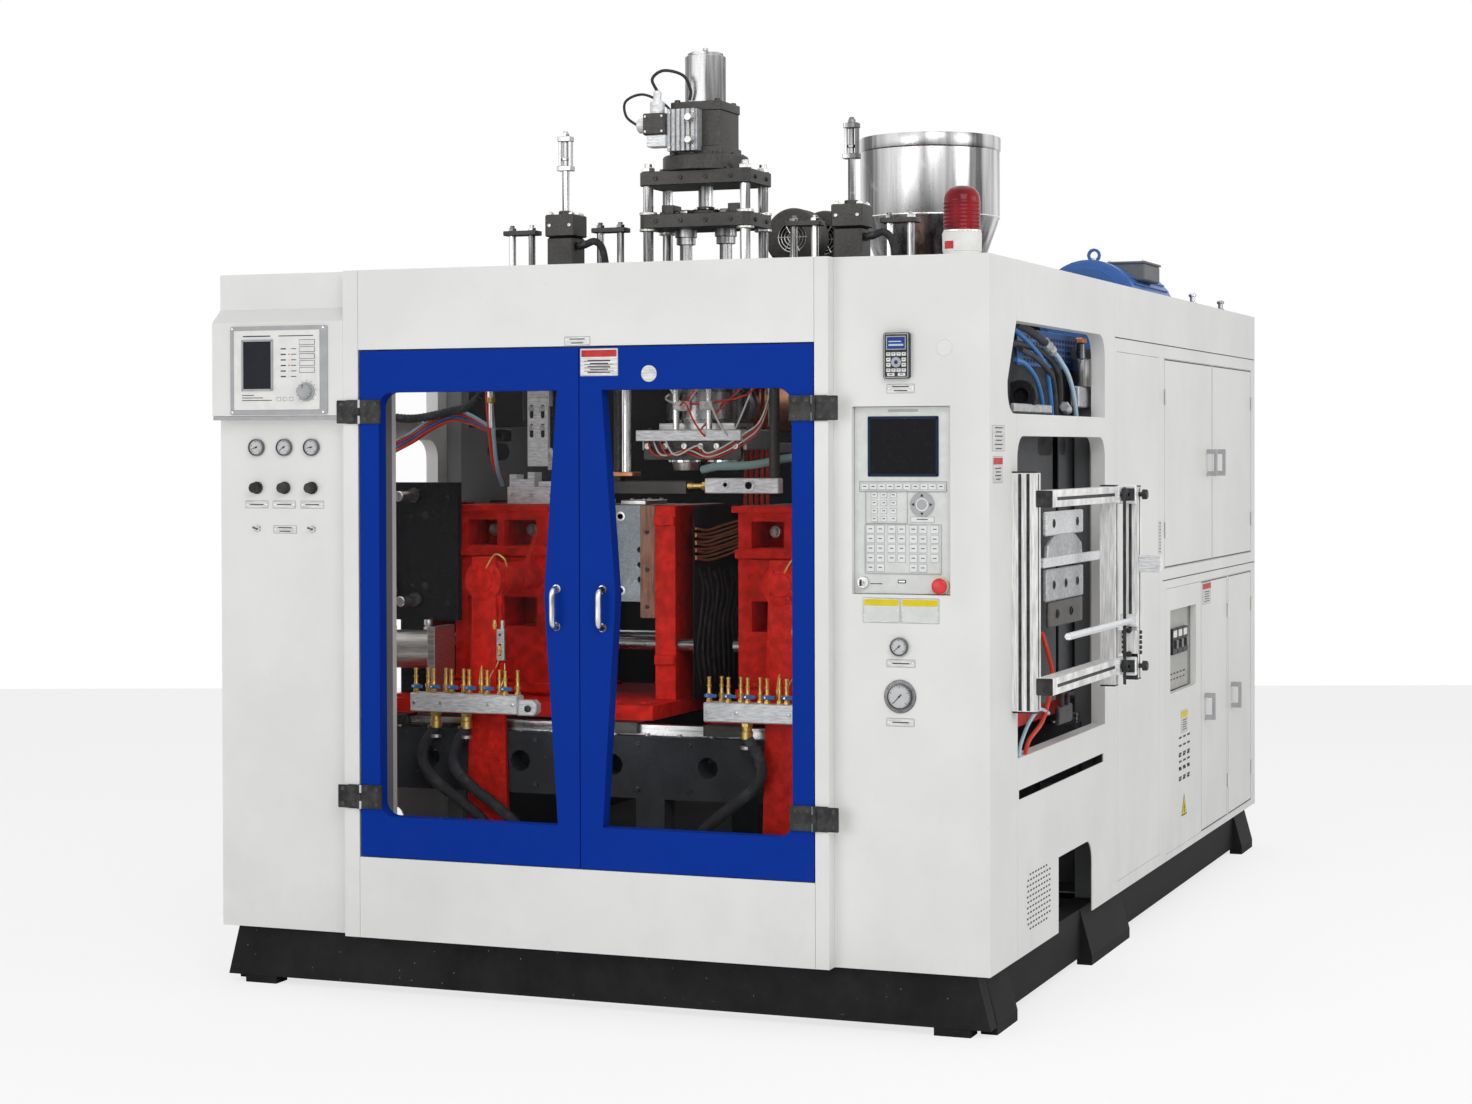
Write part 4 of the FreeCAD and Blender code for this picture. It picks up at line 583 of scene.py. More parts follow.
def clear_sheet(name):
    """Acrylic pane: nearly clear, with wiped haze that is a little denser in places."""
    s = Shade(name)
    haze = s.between(s.noise(3.5, 6, 0.7, (1, 1, 0.3), 0.8), 0.45, 0.8)
    return s.end((0.03, 0.035, 0.035), 0.06 + 0.1 * haze, s.noise(3, 2, 0.4), 0.02, 0.002,
        Alpha=0.012 + 0.014 * haze)


def dark_display(name, colour):
    """Display glass: dark glossy face with fingerprints."""
    s = Shade(name)
    prints = s.between(s.noise(60, 6, 0.7, None, 0.5), 0.5, 0.75)
    base = s.mix(prints * 0.12, colour, toward(colour, (0.3, 0.3, 0.32), 0.3))
    return s.end(base, 0.12 + 0.22 * prints, prints, 0.03, 0.0004, Specular_IOR_Level=0.04)


def make_finishes(paints):
    """Every finish of the machine, by name."""
    return {
        "enclosure": sheet_enamel("Enclosure enamel", tuple(paints.enclosure)),
        "door": sheet_enamel("Door enamel", tuple(paints.doors), 0.33, 0.12, 0.02),
        "base": welded_enamel("Base enamel", tuple(paints.base)),
        "bed": welded_enamel("Bed enamel", (0.045, 0.047, 0.052)),
        "red": cast_enamel("Casting enamel", tuple(paints.castings)),
        "blue": sheet_enamel("Motor enamel", tuple(paints.motor), 0.3, 0.25),
        "speckle": speckled_enamel("Hammered enamel", (0.030, 0.031, 0.034), (0.13, 0.135, 0.14)),
        "frame": speckled_enamel("Frame enamel", (0.26, 0.27, 0.275), (0.46, 0.47, 0.47), 0.38),
        "plate": turned_steel("Dark plate steel", (0.12, 0.115, 0.11), 0.34, (1, 1, 1), 160, 0.4),
        "black_steel": turned_steel("Blackened steel", (0.062, 0.060, 0.057), 0.36, (1, 1, 1), 180, 0.3),
        "chrome": turned_steel("Hard chrome", (0.80, 0.80, 0.79), 0.07, (1, 1, 0.04), 120, 0.12),
        "steel": turned_steel("Ground steel", (0.56, 0.55, 0.53), 0.24, (0.08, 1, 1), 200, 0.3),
        "hopper": reflection_banded_steel("Stainless sheet", 8.5, 0.10, 0.80),
        "post": reflection_banded_steel("Chromed posts", 46, 0.09, 0.84),
        "bar": reflection_banded_steel("Chromed bars", 46, 0.09, 0.84, (0.05, 1, 1)),
        "cap": reflection_banded_steel("Brushed cap", 16, 0.075, 0.55),
        "rim": turned_steel("Gauge rim", (0.16, 0.16, 0.165), 0.2),
        "hammered": speckled_enamel("Hammered grey", (0.15, 0.153, 0.16), (0.40, 0.405, 0.41)),
        "unit_plate": moulded("Cover plate", (0.46, 0.455, 0.43), 0.4),
        "canister": reflection_banded_steel("Canister", 30, 0.10, 0.42),
        "aluminium": turned_steel("Milled aluminium", (0.74, 0.75, 0.76), 0.34, (0.15, 1, 1), 260, 0.15,
            0.25),
        "extrusion": turned_steel("Anodised extrusion", (0.78, 0.78, 0.76), 0.36, (1, 0.05, 0.05), 300,
            0.10, 0.2),
        "cast_aluminium": cast_metal("Cast aluminium", (0.48, 0.49, 0.50), 0.42, 110, 0.6),
        "mould": cast_metal("Mould block", (0.22, 0.245, 0.26), 0.34, 240, 0.7),
        "brass": cast_metal("Brass", (0.72, 0.50, 0.16), 0.30, 200, 0.9),
        "copper": cast_metal("Copper band", (0.62, 0.26, 0.13), 0.36, 90, 0.8),
        "rubber": rubber("Black hose", (0.045, 0.046, 0.050)),
        "blue_hose": rubber("Blue tube", (0.05, 0.20, 0.52), 0.35),
        "pale_hose": rubber("Pale tube", (0.45, 0.62, 0.75), 0.35),
        "red_hose": rubber("Red tube", (0.72, 0.06, 0.035), 0.35),
        "green_hose": rubber("Wrapped hose", (0.30, 0.45, 0.42), 0.6),
        "white_wire": rubber("Glass-fibre wire", (0.82, 0.80, 0.76), 0.6),
        "phenolic": phenolic("Insulating board"),
        "black": moulded("Black moulding", (0.022, 0.022, 0.024), 0.36),
        "grey": moulded("Grey moulding", tuple(paints.panel), 0.40),
        "unit_frame": moulded("Unit frame", (0.42, 0.43, 0.44), 0.34),
        "white": moulded("White moulding", (0.84, 0.84, 0.82), 0.36),
        "key": moulded("Key caps", (0.80, 0.81, 0.81), 0.30),
        "legend": moulded("Dark print", (0.035, 0.035, 0.04), 0.5),
        "label": turned_steel("Label plate", (0.60, 0.60, 0.59), 0.32, (0.1, 1, 1), 300, 0.08, 0.15),
        "yellow": moulded("Yellow field", (0.78, 0.62, 0.01), 0.4),
        "red_field": moulded("Red field", (0.55, 0.03, 0.03), 0.4),
        "button": moulded("Red button", (0.72, 0.022, 0.025), 0.26, Coat_Weight=0.3),
        "dial": moulded("Dial paper", (0.62, 0.63, 0.64), 0.5),
        "ceramic": cast_metal("Ceramic connector", (0.78, 0.77, 0.74), 0.5, 160, 0),
        "lens": lens_plastic("Beacon lens"),
        "pane": clear_sheet("Acrylic pane"),
        "screen": dark_display("Screen glass", (0.007, 0.007, 0.009)),
        "screen_edge": dark_display("Screen edge", (0.012, 0.025, 0.055)),
        "lcd": dark_display("Display glass", (0.020, 0.021, 0.028)),
        "lcd_blue": dark_display("Blue display", (0.035, 0.055, 0.25)),
        # Painted shade for the inside of the rear cabinet.
        "room_shade": speckled_enamel("Painted shade grey", (0.045, 0.045, 0.048), (0.08, 0.08, 0.08), 0.7),
    }


# ---------------------------------------------------------------- settings
def tint(name, colour, description):
    """Colour setting of three shares from 0 to 1."""
    return FloatVectorProperty(name=name, description=description, default=colour, size=3, min=0, max=1,
        subtype="COLOR")


class BlowPaints(PropertyGroup):
    """Colours of the painted and moulded parts."""
    enclosure: tint("Enclosure", (0.78, 0.78, 0.765), "Enamel of cabinets, walls and rear doors")
    doors: tint("Front doors", (0.004, 0.034, 0.30), "Enamel of the two glazed doors")
    base: tint("Base frame", (0.020, 0.020, 0.021), "Enamel of the welded base")
    castings: tint("Castings", (0.72, 0.022, 0.014), "Enamel of carriages, platens and arms")
    motor: tint("Motor", (0.045, 0.16, 0.48), "Enamel of the extruder motor")
    panel: tint("Panel units", (0.72, 0.735, 0.715), "Moulded face of the control panel")


class BlowSizes(PropertyGroup):
    """Fineness of the turned parts."""
    round_steps: IntProperty(name="Round steps", description="Corners round a turned part", default=44,
        min=12, max=96)


def wear(node, finish):
    """Gives a carried-over node its finish."""
    mesh = frame["nodes"][node].data
    mesh.materials.clear()
    mesh.materials.append(FINISH[finish])


# ---------------------------------------------------------------- small shared parts
def label(form, x, z, width, height, place=(0, 0, 0), face=FRONT, screws=True, header=None):
    """Thin plate with rounded corners, two round-headed screws and at choice a coloured header strip."""
    middle = np.asarray(place, float) + x * face[0] + z * face[1]
    form.paint("unit_frame").plate(width + 3, height + 3, 2.5, 0, 0.5, middle, 0.2, face)
    form.paint("label").plate(width, height, 1.5, 0.4, 1, middle, 0.3, face)
    rows = max(int(height // 9), 1)
    if header:
        form.paint(header).plate(width - 4, height * 0.26, 1, 0.9, 1.4, middle + face[1] * height * 0.33, 0.1,
            face)
        rows -= 2
    form.paint("legend")
    for row in range(rows):
        lift = height * ((0.28 if header else 0.5) * (1 - (2 * row + 1) / rows) - (0.16 if header else 0))
        form.slab(rounded(width * (0.62 - 0.12 * (row % 2)), 2.6, 1, 2), 0.9, 1.2, middle + face[1] * lift,
            0.05, face)
    if screws:
        form.paint("chrome")
        for s in (-1, 1):
            form.turned(((1.8, 0.8), (1.6, 1.7), (0.6, 2.1)), middle + face[0] * s * (width / 2 - 4.5), 10,
                face)


def radial(angle, face=FRONT):
    """A face's directions turned in its plane, so that across points at the angle."""
    c, s = cos(angle), sin(angle)
    return np.array((c * face[0] + s * face[1], c * face[1] - s * face[0], face[2]))


def gauge(form, x, z, radius, needle, flange=0):
    """Dial gauge: turned bezel, paper dial with ticks, black pointer and a domed glass."""
    centre = (x, 0, z)
    if flange:
        form.paint("rim").turned(((radius, 0.2), (radius, 2.4), (radius - 1.2, 3.4), (radius - flange, 3.8)),
            centre, 48, FRONT, CAPPED_LOW)
        for a in np.arange(3) * tau / 3 + 0.5:
            form.screw((x + (radius - 4) * cos(a), -3.4, z + (radius - 4) * sin(a)), FRONT, 2.4, 1.8)
        radius -= flange
    form.paint("rim").turned(((radius - 0.4, 0), (radius, 4), (radius, 9.5), (radius - 1, 11.6),
        (radius - 2.6, 12)), centre, 48, FRONT, CAPPED_LOW)
    form.paint("black").turned(((radius - 2.6, 12), (radius - 3.6, 10.8), (radius - 3.8, 8.4)), centre, 48,
        FRONT, OPEN)
    form.paint("dial").turned(((radius - 3.7, 8.2), (radius - 3.9, 8.5)), centre, 48, FRONT)
    form.paint("legend")
    dial = radius - 5.2
    for k in range(21):
        a = radians(225 - k * 13.5)
        inner = dial * (0.78 if k % 5 == 0 else 0.88)
        width = 1.5 if k % 5 == 0 else 0.9
        form.slab(((inner, -width / 2), (dial, -width / 2), (dial, width / 2), (inner, width / 2)), 8.45, 8.7,
            centre, 0.02, radial(a))
    form.slab(((-dial * 0.3, -1.4), (dial * 0.82, -0.5), (dial * 0.82, 0.5), (-dial * 0.3, 1.4)), 9, 9.5,
        centre, 0.05, radial(radians(needle)))
    form.turned(((2.4, 8.6), (2.2, 10.1), (1, 10.5)), centre, 14, FRONT)
    form.paint("pane").turned(((radius - 3.6, 10.9), (radius * 0.55, 11.6), (0.4, 11.9)), centre, 32, FRONT,
        CAPPED_HIGH)


def bow_handle(form, middle, half, reach, thick, face, up=1):
    """Round bar bent to a bow: two short legs and a long grip with rounded bends, on small round feet."""
    m = np.asarray(middle, float)
    n, u = face[2], face[up]
    bend = thick * 1.1
    r = reach - thick / 2
    path = [m + u * half + n * 0.2, m + u * half + n * (r - bend),
        m + u * (half - bend * 0.3) + n * (r - bend * 0.3), m + u * (half - bend) + n * r, m + n * r,
        m - u * (half - bend) + n * r, m - u * (half - bend * 0.3) + n * (r - bend * 0.3),
        m - u * half + n * (r - bend), m - u * half + n * 0.2]
    form.tube(path, thick / 2, 16)
    for s in (-1, 1):
        form.turned(((thick * 0.72, 0), (thick * 0.72, 1.6), (thick * 0.55, 2.4)), m + u * s * half, 20, face)


def leaf_hinge(form, x, z, toward):
    """Screws of a square hinge leaf: four countersunk heads at its corners and a rounded edge round them."""
    middle = x + toward * HINGE / 2
    form.paint("black").plate(HINGE - 4, HINGE - 2, 3, 0, 1.1, (middle, DOOR_Y - 4, z), 0.6, FRONT)
    form.paint("black_steel")
    for across in (-1, 1):
        for up in (-1, 1):
            place = (middle + across * 15, DOOR_Y - 5.1, z + up * 19)
            form.turned(((5.4, -0.3), (5.4, 0.5), (3.6, 0.9), (2.2, 0.3)), place, 16, FRONT, CAPPED_HIGH)


def hose_end(form, place, direction, radius, finish="brass"):
    """Hose fitting: a hexagon, a neck and a ribbed ferrule turned round the hose's own direction."""
    d = np.asarray(direction, float)
    d = d / np.linalg.norm(d)
    side = np.cross(d, (0, 0, 1) if abs(d[2]) < 0.8 else (1, 0, 0))
    side /= np.linalg.norm(side)
    face = np.array((side, np.cross(d, side), d))
    form.paint(finish).hexagon(place, face, radius * 1.25, radius * 0.9)
    form.turned(((radius * 0.9, radius * 0.8), (radius * 0.9, radius * 1.3), (radius * 1.12, radius * 1.4),
        (radius * 1.12, radius * 2.6), (radius * 0.98, radius * 2.8)), place, 20, face)


def field(form, finish, x, z, out, radius=1.5, origin=(0, 0, 0), face=FRONT, edge=0.35):
    """Flat raised area: a rounded rectangle between two values across and two up."""
    form.paint(finish)
    middle = np.asarray(origin, float) + face[0] * (x[0] + x[1]) / 2 + face[1] * (z[0] + z[1]) / 2
    form.plate(x[1] - x[0], z[1] - z[0], radius, out[0], out[1], middle, edge, face)


def mark(form, x, z, out, origin=(0, 0, 0), face=FRONT, finish="legend", radius=0.5):
    """Thin print: a dark field with hardly any edge."""
    field(form, finish, x, z, out, radius, origin, face, 0.05)


def border(form, finish, x, z, width, out, radius=2, origin=(0, 0, 0), face=FRONT):
    """Frame of one width: outer wall, flat top and inner wall between two rounded rectangles."""
    form.paint(finish)
    middle = np.asarray(origin, float) + face[0] * (x[0] + x[1]) / 2 + face[1] * (z[0] + z[1]) / 2
    outer = rounded(x[1] - x[0], z[1] - z[0], radius)
    rings = [(outer, out[0]), (outer, out[1] - 0.3), (inset(outer, 0.3), out[1]),
        (inset(outer, width - 0.3), out[1]), (inset(outer, width), out[1] - 0.3),
        (inset(outer, width), out[0])]
    grid = np.stack([np.column_stack((o, np.full(len(o), w))) for o, w in rings])
    form.skin(form.put(grid, middle, face), ends=OPEN)


def caps(form, columns, rows, width, height, out, origin, radius=1.2):
    """Key caps at every column and row, each a rounded slab with a small printed mark on it, on a grey rim a
    little larger that paints the shade of the gap round the key.
    """
    for x in columns:
        for z in rows:
            # A grey rim under each key, 0.9 wider on each side, is painted shade of the gap round it.
            for grow, finish, top in ((0.9, "unit_frame", out[1] - 0.8), (0, "key", out[1])):
                field(form, finish, (x - width / 2 - grow, x + width / 2 + grow),
                    (z - height / 2 - grow, z + height / 2 + grow), (out[0], top), radius, origin, FRONT, 0.5)
            print_half = width * 0.24
            field(form, "legend", (x - print_half, x + print_half), (z - 0.4, z + 1.6),
                (out[1] - 0.1, out[1] + 0.12), 0.4, origin, FRONT, 0.02)


def screws(form, places, face, radius=3, finish="steel", head=None):
    """Socket screws at a list of places."""
    form.paint(finish)
    for place in places:
        form.screw(place, face, radius, head)


def finishes():
    """Makes the finishes."""
    FINISH.update(make_finishes(bpy.context.scene.blow_paints))
    for name in frame["nodes"]:
        wear(name, "steel")
    for node in ("left_cabinet", "right_cabinet", "door_surround", "right_side_wall", "left_side_wall",
            "rear_cabinet", "upper_door_front", "upper_door_rear", "lower_door_front", "lower_door_rear"):
        wear(node, "enclosure")
    for node in ("door_window_left", "door_window_right"):
        wear(node, "pane")
    for side in ("left", "right"):
        wear("front_door_" + side, "door")
    for side in ("left", "right"):
        rounded_copy("front_door_" + side, "door_leaf_" + side, "door_blue", 1.1, "door")
    rounded_copy("door_surround", "surround", "white_paint", 0.9, "enclosure",
        ("black", both(inside(y=(-80, -38.9)), either(inside(x=(300, 424)), inside(x=(1631, 1800))))))
    for node, name in (("left_cabinet", "cabinet_left"), ("right_cabinet", "cabinet_right"),
            ("right_side_wall", "wall_right"), ("left_side_wall", "wall_left")):
        rounded_copy(node, name, "white_paint", 0.9, "enclosure")
    # The rear cabinet's inside faces take a dark grey that is painted shade.
    rounded_copy("rear_cabinet", "cabinet_rear", "white_paint", 0.9, "enclosure",
        ("room_shade", inside(x=(1, WIDTH - 30), y=(1241, 3314), z=(1, 1480))))
    rounded_copy("base_frame", "base_welded", "black_paint", 2.2, "base")
    rounded_copy("machine_bed", "bed", "black_paint", 1.6, "bed", ("bar", inside(z=(481.5, 520))))
    rounded_copy("machine_frame", "portal_frame", "grey_paint", 2, "frame")
    rounded_copy("circuit_breakers", "breakers", "black_plastic", 0.8, "enclosure",
        ("black", inside(x=(WIDTH - 85.5, WIDTH), y=(1958, 2174))))
    rounded_copy("hydraulic_unit", "hydraulics", "grey_paint", 1.6, "frame", ("blue", inside(z=(540, 1200))))
    rounded_copy("extruder_barrel", "barrel", "steel", 1.6, "steel",
        ("copper", both(around(1, (HEAD_X, 1340), 66, 80), inside(y=(960, 2760)))),
        ("black_steel", inside(y=(2760, 3000))))


# ---------------------------------------------------------------- controls and front panels
def gauges():
    """Makes the dial gauges."""
    form = Form()
    for x, needle in ((108, 200), (189, 215), (268, 190)):
        gauge(form, x, 1228, 22, needle)
    gauge(form, 1828, 759, 22, 222)
    gauge(form, 1829, 643, 39, 228, 8.5)
    form.build("gauges", "chrome_fittings", "pressure_gauges")
    plates = Form()
    for x in (106, 186, 267.5):
        label(plates, x, 1082.5, 65, 17)
    label(plates, 188, 1019, 66, 18)
    label(plates, 1831, 720, 68, 16)
    label(plates, 1829.5, 582.5, 66, 17)
    label(plates, 1831.5, 1360, 66, 19)
    for x, width in ((1783.5, 89), (1877.5, 91)):
        label(plates, x, 843, width, 56, header="yellow")
        plates.paint("grey").plate(width - 7, 36, 1, 0.9, 1.3, (x, 0, 836), 0.1, FRONT)
    label(plates, 1024, 1483, 66, 19, (0, -38.7, 0))
    plates.build("label_plates", "aluminium")


def knobs():
    """Makes the knobs and switches."""
    for i, x in enumerate((108, 189, 268)):
        form = Form().paint("black")
        place = (x, 0, 1125)
        form.turned(((15.5, 1), (15.9, 3), (15.9, 6), (13.5, 7), (11.5, 8), (11.5, 10.5)), place, 40, FRONT)
        wave = 12.6 + 0.55 * np.cos(np.arange(96) * tau / 6)
        circle = ring(1, 96) * wave[:, None]
        form.slab(circle, 10.5, 24.6, place, 1.4, FRONT)
        form.turned(((8.5, 24), (8, 26), (3, 26.3)), place, 32, FRONT)
        node = "regulator_knob_%d" % (i + 1)
        form.build("regulator_%d" % (i + 1), "black_plastic", node, body=node)
    for i, x in enumerate((108, 268)):
        form = Form().paint("rim")
        lever = [(x, -4.2, 1020), (x, -10, 1021.2), (x, -18, 1023), (x, -25, 1024.8)]
        path = smooth_path(lever, 16)
        scale = np.concatenate((np.linspace(0.72, 1, 9), np.linspace(1.08, 1.35, 5), (1.2, 0.6)))
        form.skin(carried(path, ring(2.3, 14), scale))
        form.turned(((3.2, 4.6), (3.1, 5.5), (2.2, 6)), (x, 0, 1020), 24, FRONT)
        node = "toggle_switch_%d" % (i + 1)
        form.build("toggle_%d" % (i + 1), "chrome_fittings", node, body=node)
    collar = Form().paint("black_steel")
    for x in (108, 268):
        collar.turned(((8.4, 0), (8.4, 1.9), (7.8, 2.5), (6.6, 2.5), (6.2, 2.1), (6.2, 0.2)), (x, 0, 1020),
            24, FRONT, OPEN)
    collar.paint("yellow").turned(((20, -17.9), (20, -13.2), (19.2, -12.2), (9.6, -12)), (1924, 0, 901), 48,
        FRONT)
    collar.paint("steel").turned(((13.9, -17.9), (13.9, -9.5), (13, -8.6), (8.2, -8.4), (8.2, -12)),
        (1734, 0, 907), 40, FRONT)
    collar.build("switch_collars", "chrome_fittings")


def controller():
    """Makes the parison controller."""
    at = (0, -40, 0)
    form = Form()
    field(form, "unit_frame", (56, 337), (1311, 1535), (0, 5), 5, at, FRONT, 1.2)
    field(form, "white", (69, 317), (1323, 1524), (4.9, 8), 2.5, at, FRONT, 0.8)
    border(form, "unit_frame", (93, 184), (1371, 1501), 5, (7.9, 12), 2, at)
    field(form, "lcd", (97, 180), (1376, 1496), (7.9, 9.4), 1, at)
    for k in range(6):
        z = 1405 + k * 14
        mark(form, (206, 221), (z, z + 3.2), (7.9, 8.2), at)
        form.paint("button" if k in (2, 4) else "key").turned(((1.9, 7.9), (1.7, 9.2), (0.6, 9.8)),
            (230, -40, z + 1.6), 12, FRONT)
        mark(form, (236, 251), (z + 0.6, z + 2.6), (7.9, 8.2), at)
    for k in range(5):
        z = 1417 + k * 17.5
        border(form, "legend", (259.5, 304.5), (z - 1.5, z + 12.5), 1, (7.9, 8.5), 1.5, at)
        field(form, "key", (261, 303), (z, z + 11), (7.9, 9.8), 1, at)
    for z in (1346, 1352.5, 1359):
        mark(form, (93, 180 - (z - 1346) * 4), (z, z + 2), (7.9, 8.2), at)
    for x, z in ((200, 1350), (218, 1350), (236, 1350)):
        border(form, "legend", (x - 6, x + 6), (z - 5, z + 5), 0.8, (7.9, 8.4), 1, at)
    mark(form, (96, 176), (1508, 1511), (7.9, 8.2), at)
    mark(form, (200, 300), (1508, 1510.4), (7.9, 8.2), at)
    form.paint("legend")
    for k in range(11):
        turn = radial(radians(225 - k * 27))
        form.slab(((26, -0.5), (30, -0.5), (30, 0.5), (26, 0.5)), 7.9, 8.3, (280, -40, 1368), 0.05, turn)
    form.turned(((3.9, 8), (3.9, 19.5)), (280, -40, 1368), 20, FRONT)
    screws(form, [(x, -45, z) for x in (62.5, 326) for z in (1317, 1529)], FRONT, 2.6, "chrome", 1.6)
    # Grey strip along the console's lower edge: painted shade of that edge.
    field(form, "unit_frame", (3, 377), (1297.5, 1306), (-4, 1.2), 2, at, FRONT, 0.4)
    form.build("controller", "grey_plastic", "parison_controller")
    knob = Form().paint("unit_frame")
    place = (280, -40, 1368)
    knob.turned(((23.6, 8.6), (24, 9.6), (24, 12.4), (22.4, 13.6), (20, 14), (20, 15)), place, 60, FRONT)
    flute = 18.6 + 1.1 * np.cos(np.arange(120) * tau / 10)
    knob.slab(ring(1, 120) * flute[:, None], 14.5, 28.5, place, 1.8, FRONT)
    knob.paint("unit_frame").turned(((14.6, 28.3), (14.2, 29.6), (13.2, 30.2), (11.5, 29.9), (4, 29.7)),
        place, 48, FRONT)
    field(knob, "legend", (-0.9, 0.9), (8, 17.5), (28, 30.4), 0.4, place, FRONT, 0.1)
    knob.build("jog_dial", "grey_plastic", "jog_knob", body="jog_knob")


def panel():
    """Makes the operator panel."""
    rounded_copy("control_panel", "panel_body", "grey_plastic", 0.8, "grey",
        ("screen", inside(x=(1740, 1920), y=(18.6, 29), z=(1150, 1300))))
    at = (0, 18, 0)
    form = Form()
    border(form, "screen_edge", (1745, 1918), (1155, 1296), 7, (0, 2.2), 3, at)
    field(form, "screen", (1752, 1911), (1162, 1289), (-2, 0.4), 1, at)
    row = np.linspace(1738, 1924, 10)
    caps(form, row, (1131.5,), 17, 13, (1.4, 2.9), at)
    border(form, "unit_frame", (1724, 1938), (1119, 1144), 1.2, (0, 2), 3, at)
    caps(form, np.linspace(1761, 1808, 3), np.linspace(1056, 1112, 4), 14, 11.5, (1.4, 3.2), at)
    form.paint("unit_frame").turned(((29, 2.2), (29, 3), (27.5, 3.6), (15.5, 3.6), (15, 2.9)),
        (1878, 18, 1090), 56, FRONT, OPEN)
    form.paint("key").turned(((27, 2), (27, 3.3), (16, 3.4)), (1878, 18, 1090), 56, FRONT)
    form.paint("legend")
    for k in range(4):
        turn = radial(k * pi / 2)
        form.slab(((18.5, -4), (25.5, 0), (18.5, 4)), 3.3, 3.6, (1878, 18, 1090), 0.05, turn)
    form.paint("unit_frame").turned(((12, 3.2), (12, 4.4), (10.5, 5)), (1878, 18, 1090), 36, FRONT)
    caps(form, (1878.5,), (1055,), 56, 11.5, (0.2, 2.2), at)
    five = (1032, 1009.5, 987, 964.5, 942)
    caps(form, (1752, 1776), five, 18.5, 18, (1.4, 3.4), at)
    caps(form, (1804, 1828), five[:4], 18.5, 18, (1.4, 3.4), at)
    caps(form, (1857, 1880), five, 18.5, 18, (1.4, 3.4), at)
    caps(form, (1909,), five[:4], 18.5, 18, (1.4, 3.4), at)
    border(form, "unit_frame", (1739, 1842), (1045, 1124), 1, (0, 1.9), 3, at)
    border(form, "unit_frame", (1737, 1925), (927, 1044), 1.2, (0, 1.9), 3, at)
    field(form, "black", (1818, 1838), (906, 914), (0, 1), 1.2, at)
    field(form, "steel", (1820, 1836), (908, 912), (0.9, 1.3), 0.8, at)
    mark(form, (1750, 1780), (903, 905), (0, 0.3), at)
    field(form, "unit_frame", (1795, 1868), (1306, 1312), (0, 0.6), 1, at)
    form.build("panel_keys", "grey_plastic")
    button = Form().paint("button")
    place = (1924, 0, 901)
    button.turned(((12.5, -6.3), (12.5, -3.2), (17.4, -2.6), (18.5, -1), (18.4, 1.4), (16.8, 3.8),
        (12.5, 5.6), (7, 6.3), (0.5, 6.5)), place, 56, FRONT)
    button.build("mushroom_button", "red_plastic", "e_stop_button", body="e_stop_button")
    key = Form().paint("chrome")
    place = (1734, 0, 907)
    key.turned(((8, -12.6), (8, -9.3), (7, -8.7), (3.2, -8.7), (3.2, -9.9)), place, 32, FRONT)
    key.plate(2.4, 14, 0.8, -9.5, 2, place, 0.3, FRONT)
    key.paint("black").plate(2.6, 15.5, 1.2, 0.5, 11, place, 0.6, FRONT)
    key.build("panel_key", "steel", "key_switch", body="key_switch")


def keypad():
    """Makes the drive keypad."""
    form = Form().paint("black")
    cut = np.array(((-32, -49.5), (-28, -53.5), (28, -53.5), (32, -49.5), (32, 49.5), (28, 53.5), (-28, 53.5),
        (-32, 49.5)))
    form.slab(cut, 0, 15, (1825, 0, 1436.5), 1.6, FRONT)
    at = (0, -15, 0)
    border(form, "unit_frame", (1795, 1855), (1385, 1488), 2.2, (-0.4, 0.8), 4, at)
    border(form, "unit_frame", (1801, 1849), (1450, 1482), 2.2, (-0.4, 1.2), 1.5, at)
    field(form, "lcd_blue", (1803, 1847), (1452, 1480), (-0.2, 0.5), 1, at)
    mark(form, (1807, 1838), (1468, 1470.5), (0.4, 0.7), at, finish="pale_hose", radius=0.6)
    mark(form, (1807, 1843), (1459, 1463.5), (0.4, 0.7), at, finish="pale_hose", radius=0.6)
    caps(form, (1806.5, 1819, 1831.5, 1844), (1440,), 9.5, 7, (0, 1.3), at)
    caps(form, (1806.5, 1844), (1427, 1415), 9.5, 8, (0, 1.3), at)
    form.paint("unit_frame").turned(((12, -0.2), (12, 1.2), (10.5, 1.8), (5, 1.9)), (1825.3, -15, 1421), 36,
        FRONT)
    form.paint("lcd_blue").turned(((5, 1.5), (4.6, 2.4), (1, 2.5)), (1825.3, -15, 1421), 24, FRONT)
    caps(form, (1806.5, 1819, 1831.5, 1844), (1402.5,), 9.5, 7, (0, 1.3), at)
    caps(form, (1812.5, 1838.5), (1392.5,), 17, 6, (0, 1.3), at)
    form.build("keypad", "black_plastic", "drive_keypad")
    plug = Form().paint("enclosure")
    plug.turned(((20, 0), (20, 1), (18.6, 1.8), (17.4, 1.2), (17, 0.9), (2, 1)), (1938, 0, 1454), 48, FRONT)
    plug.build("blanking_plug", "white_paint")


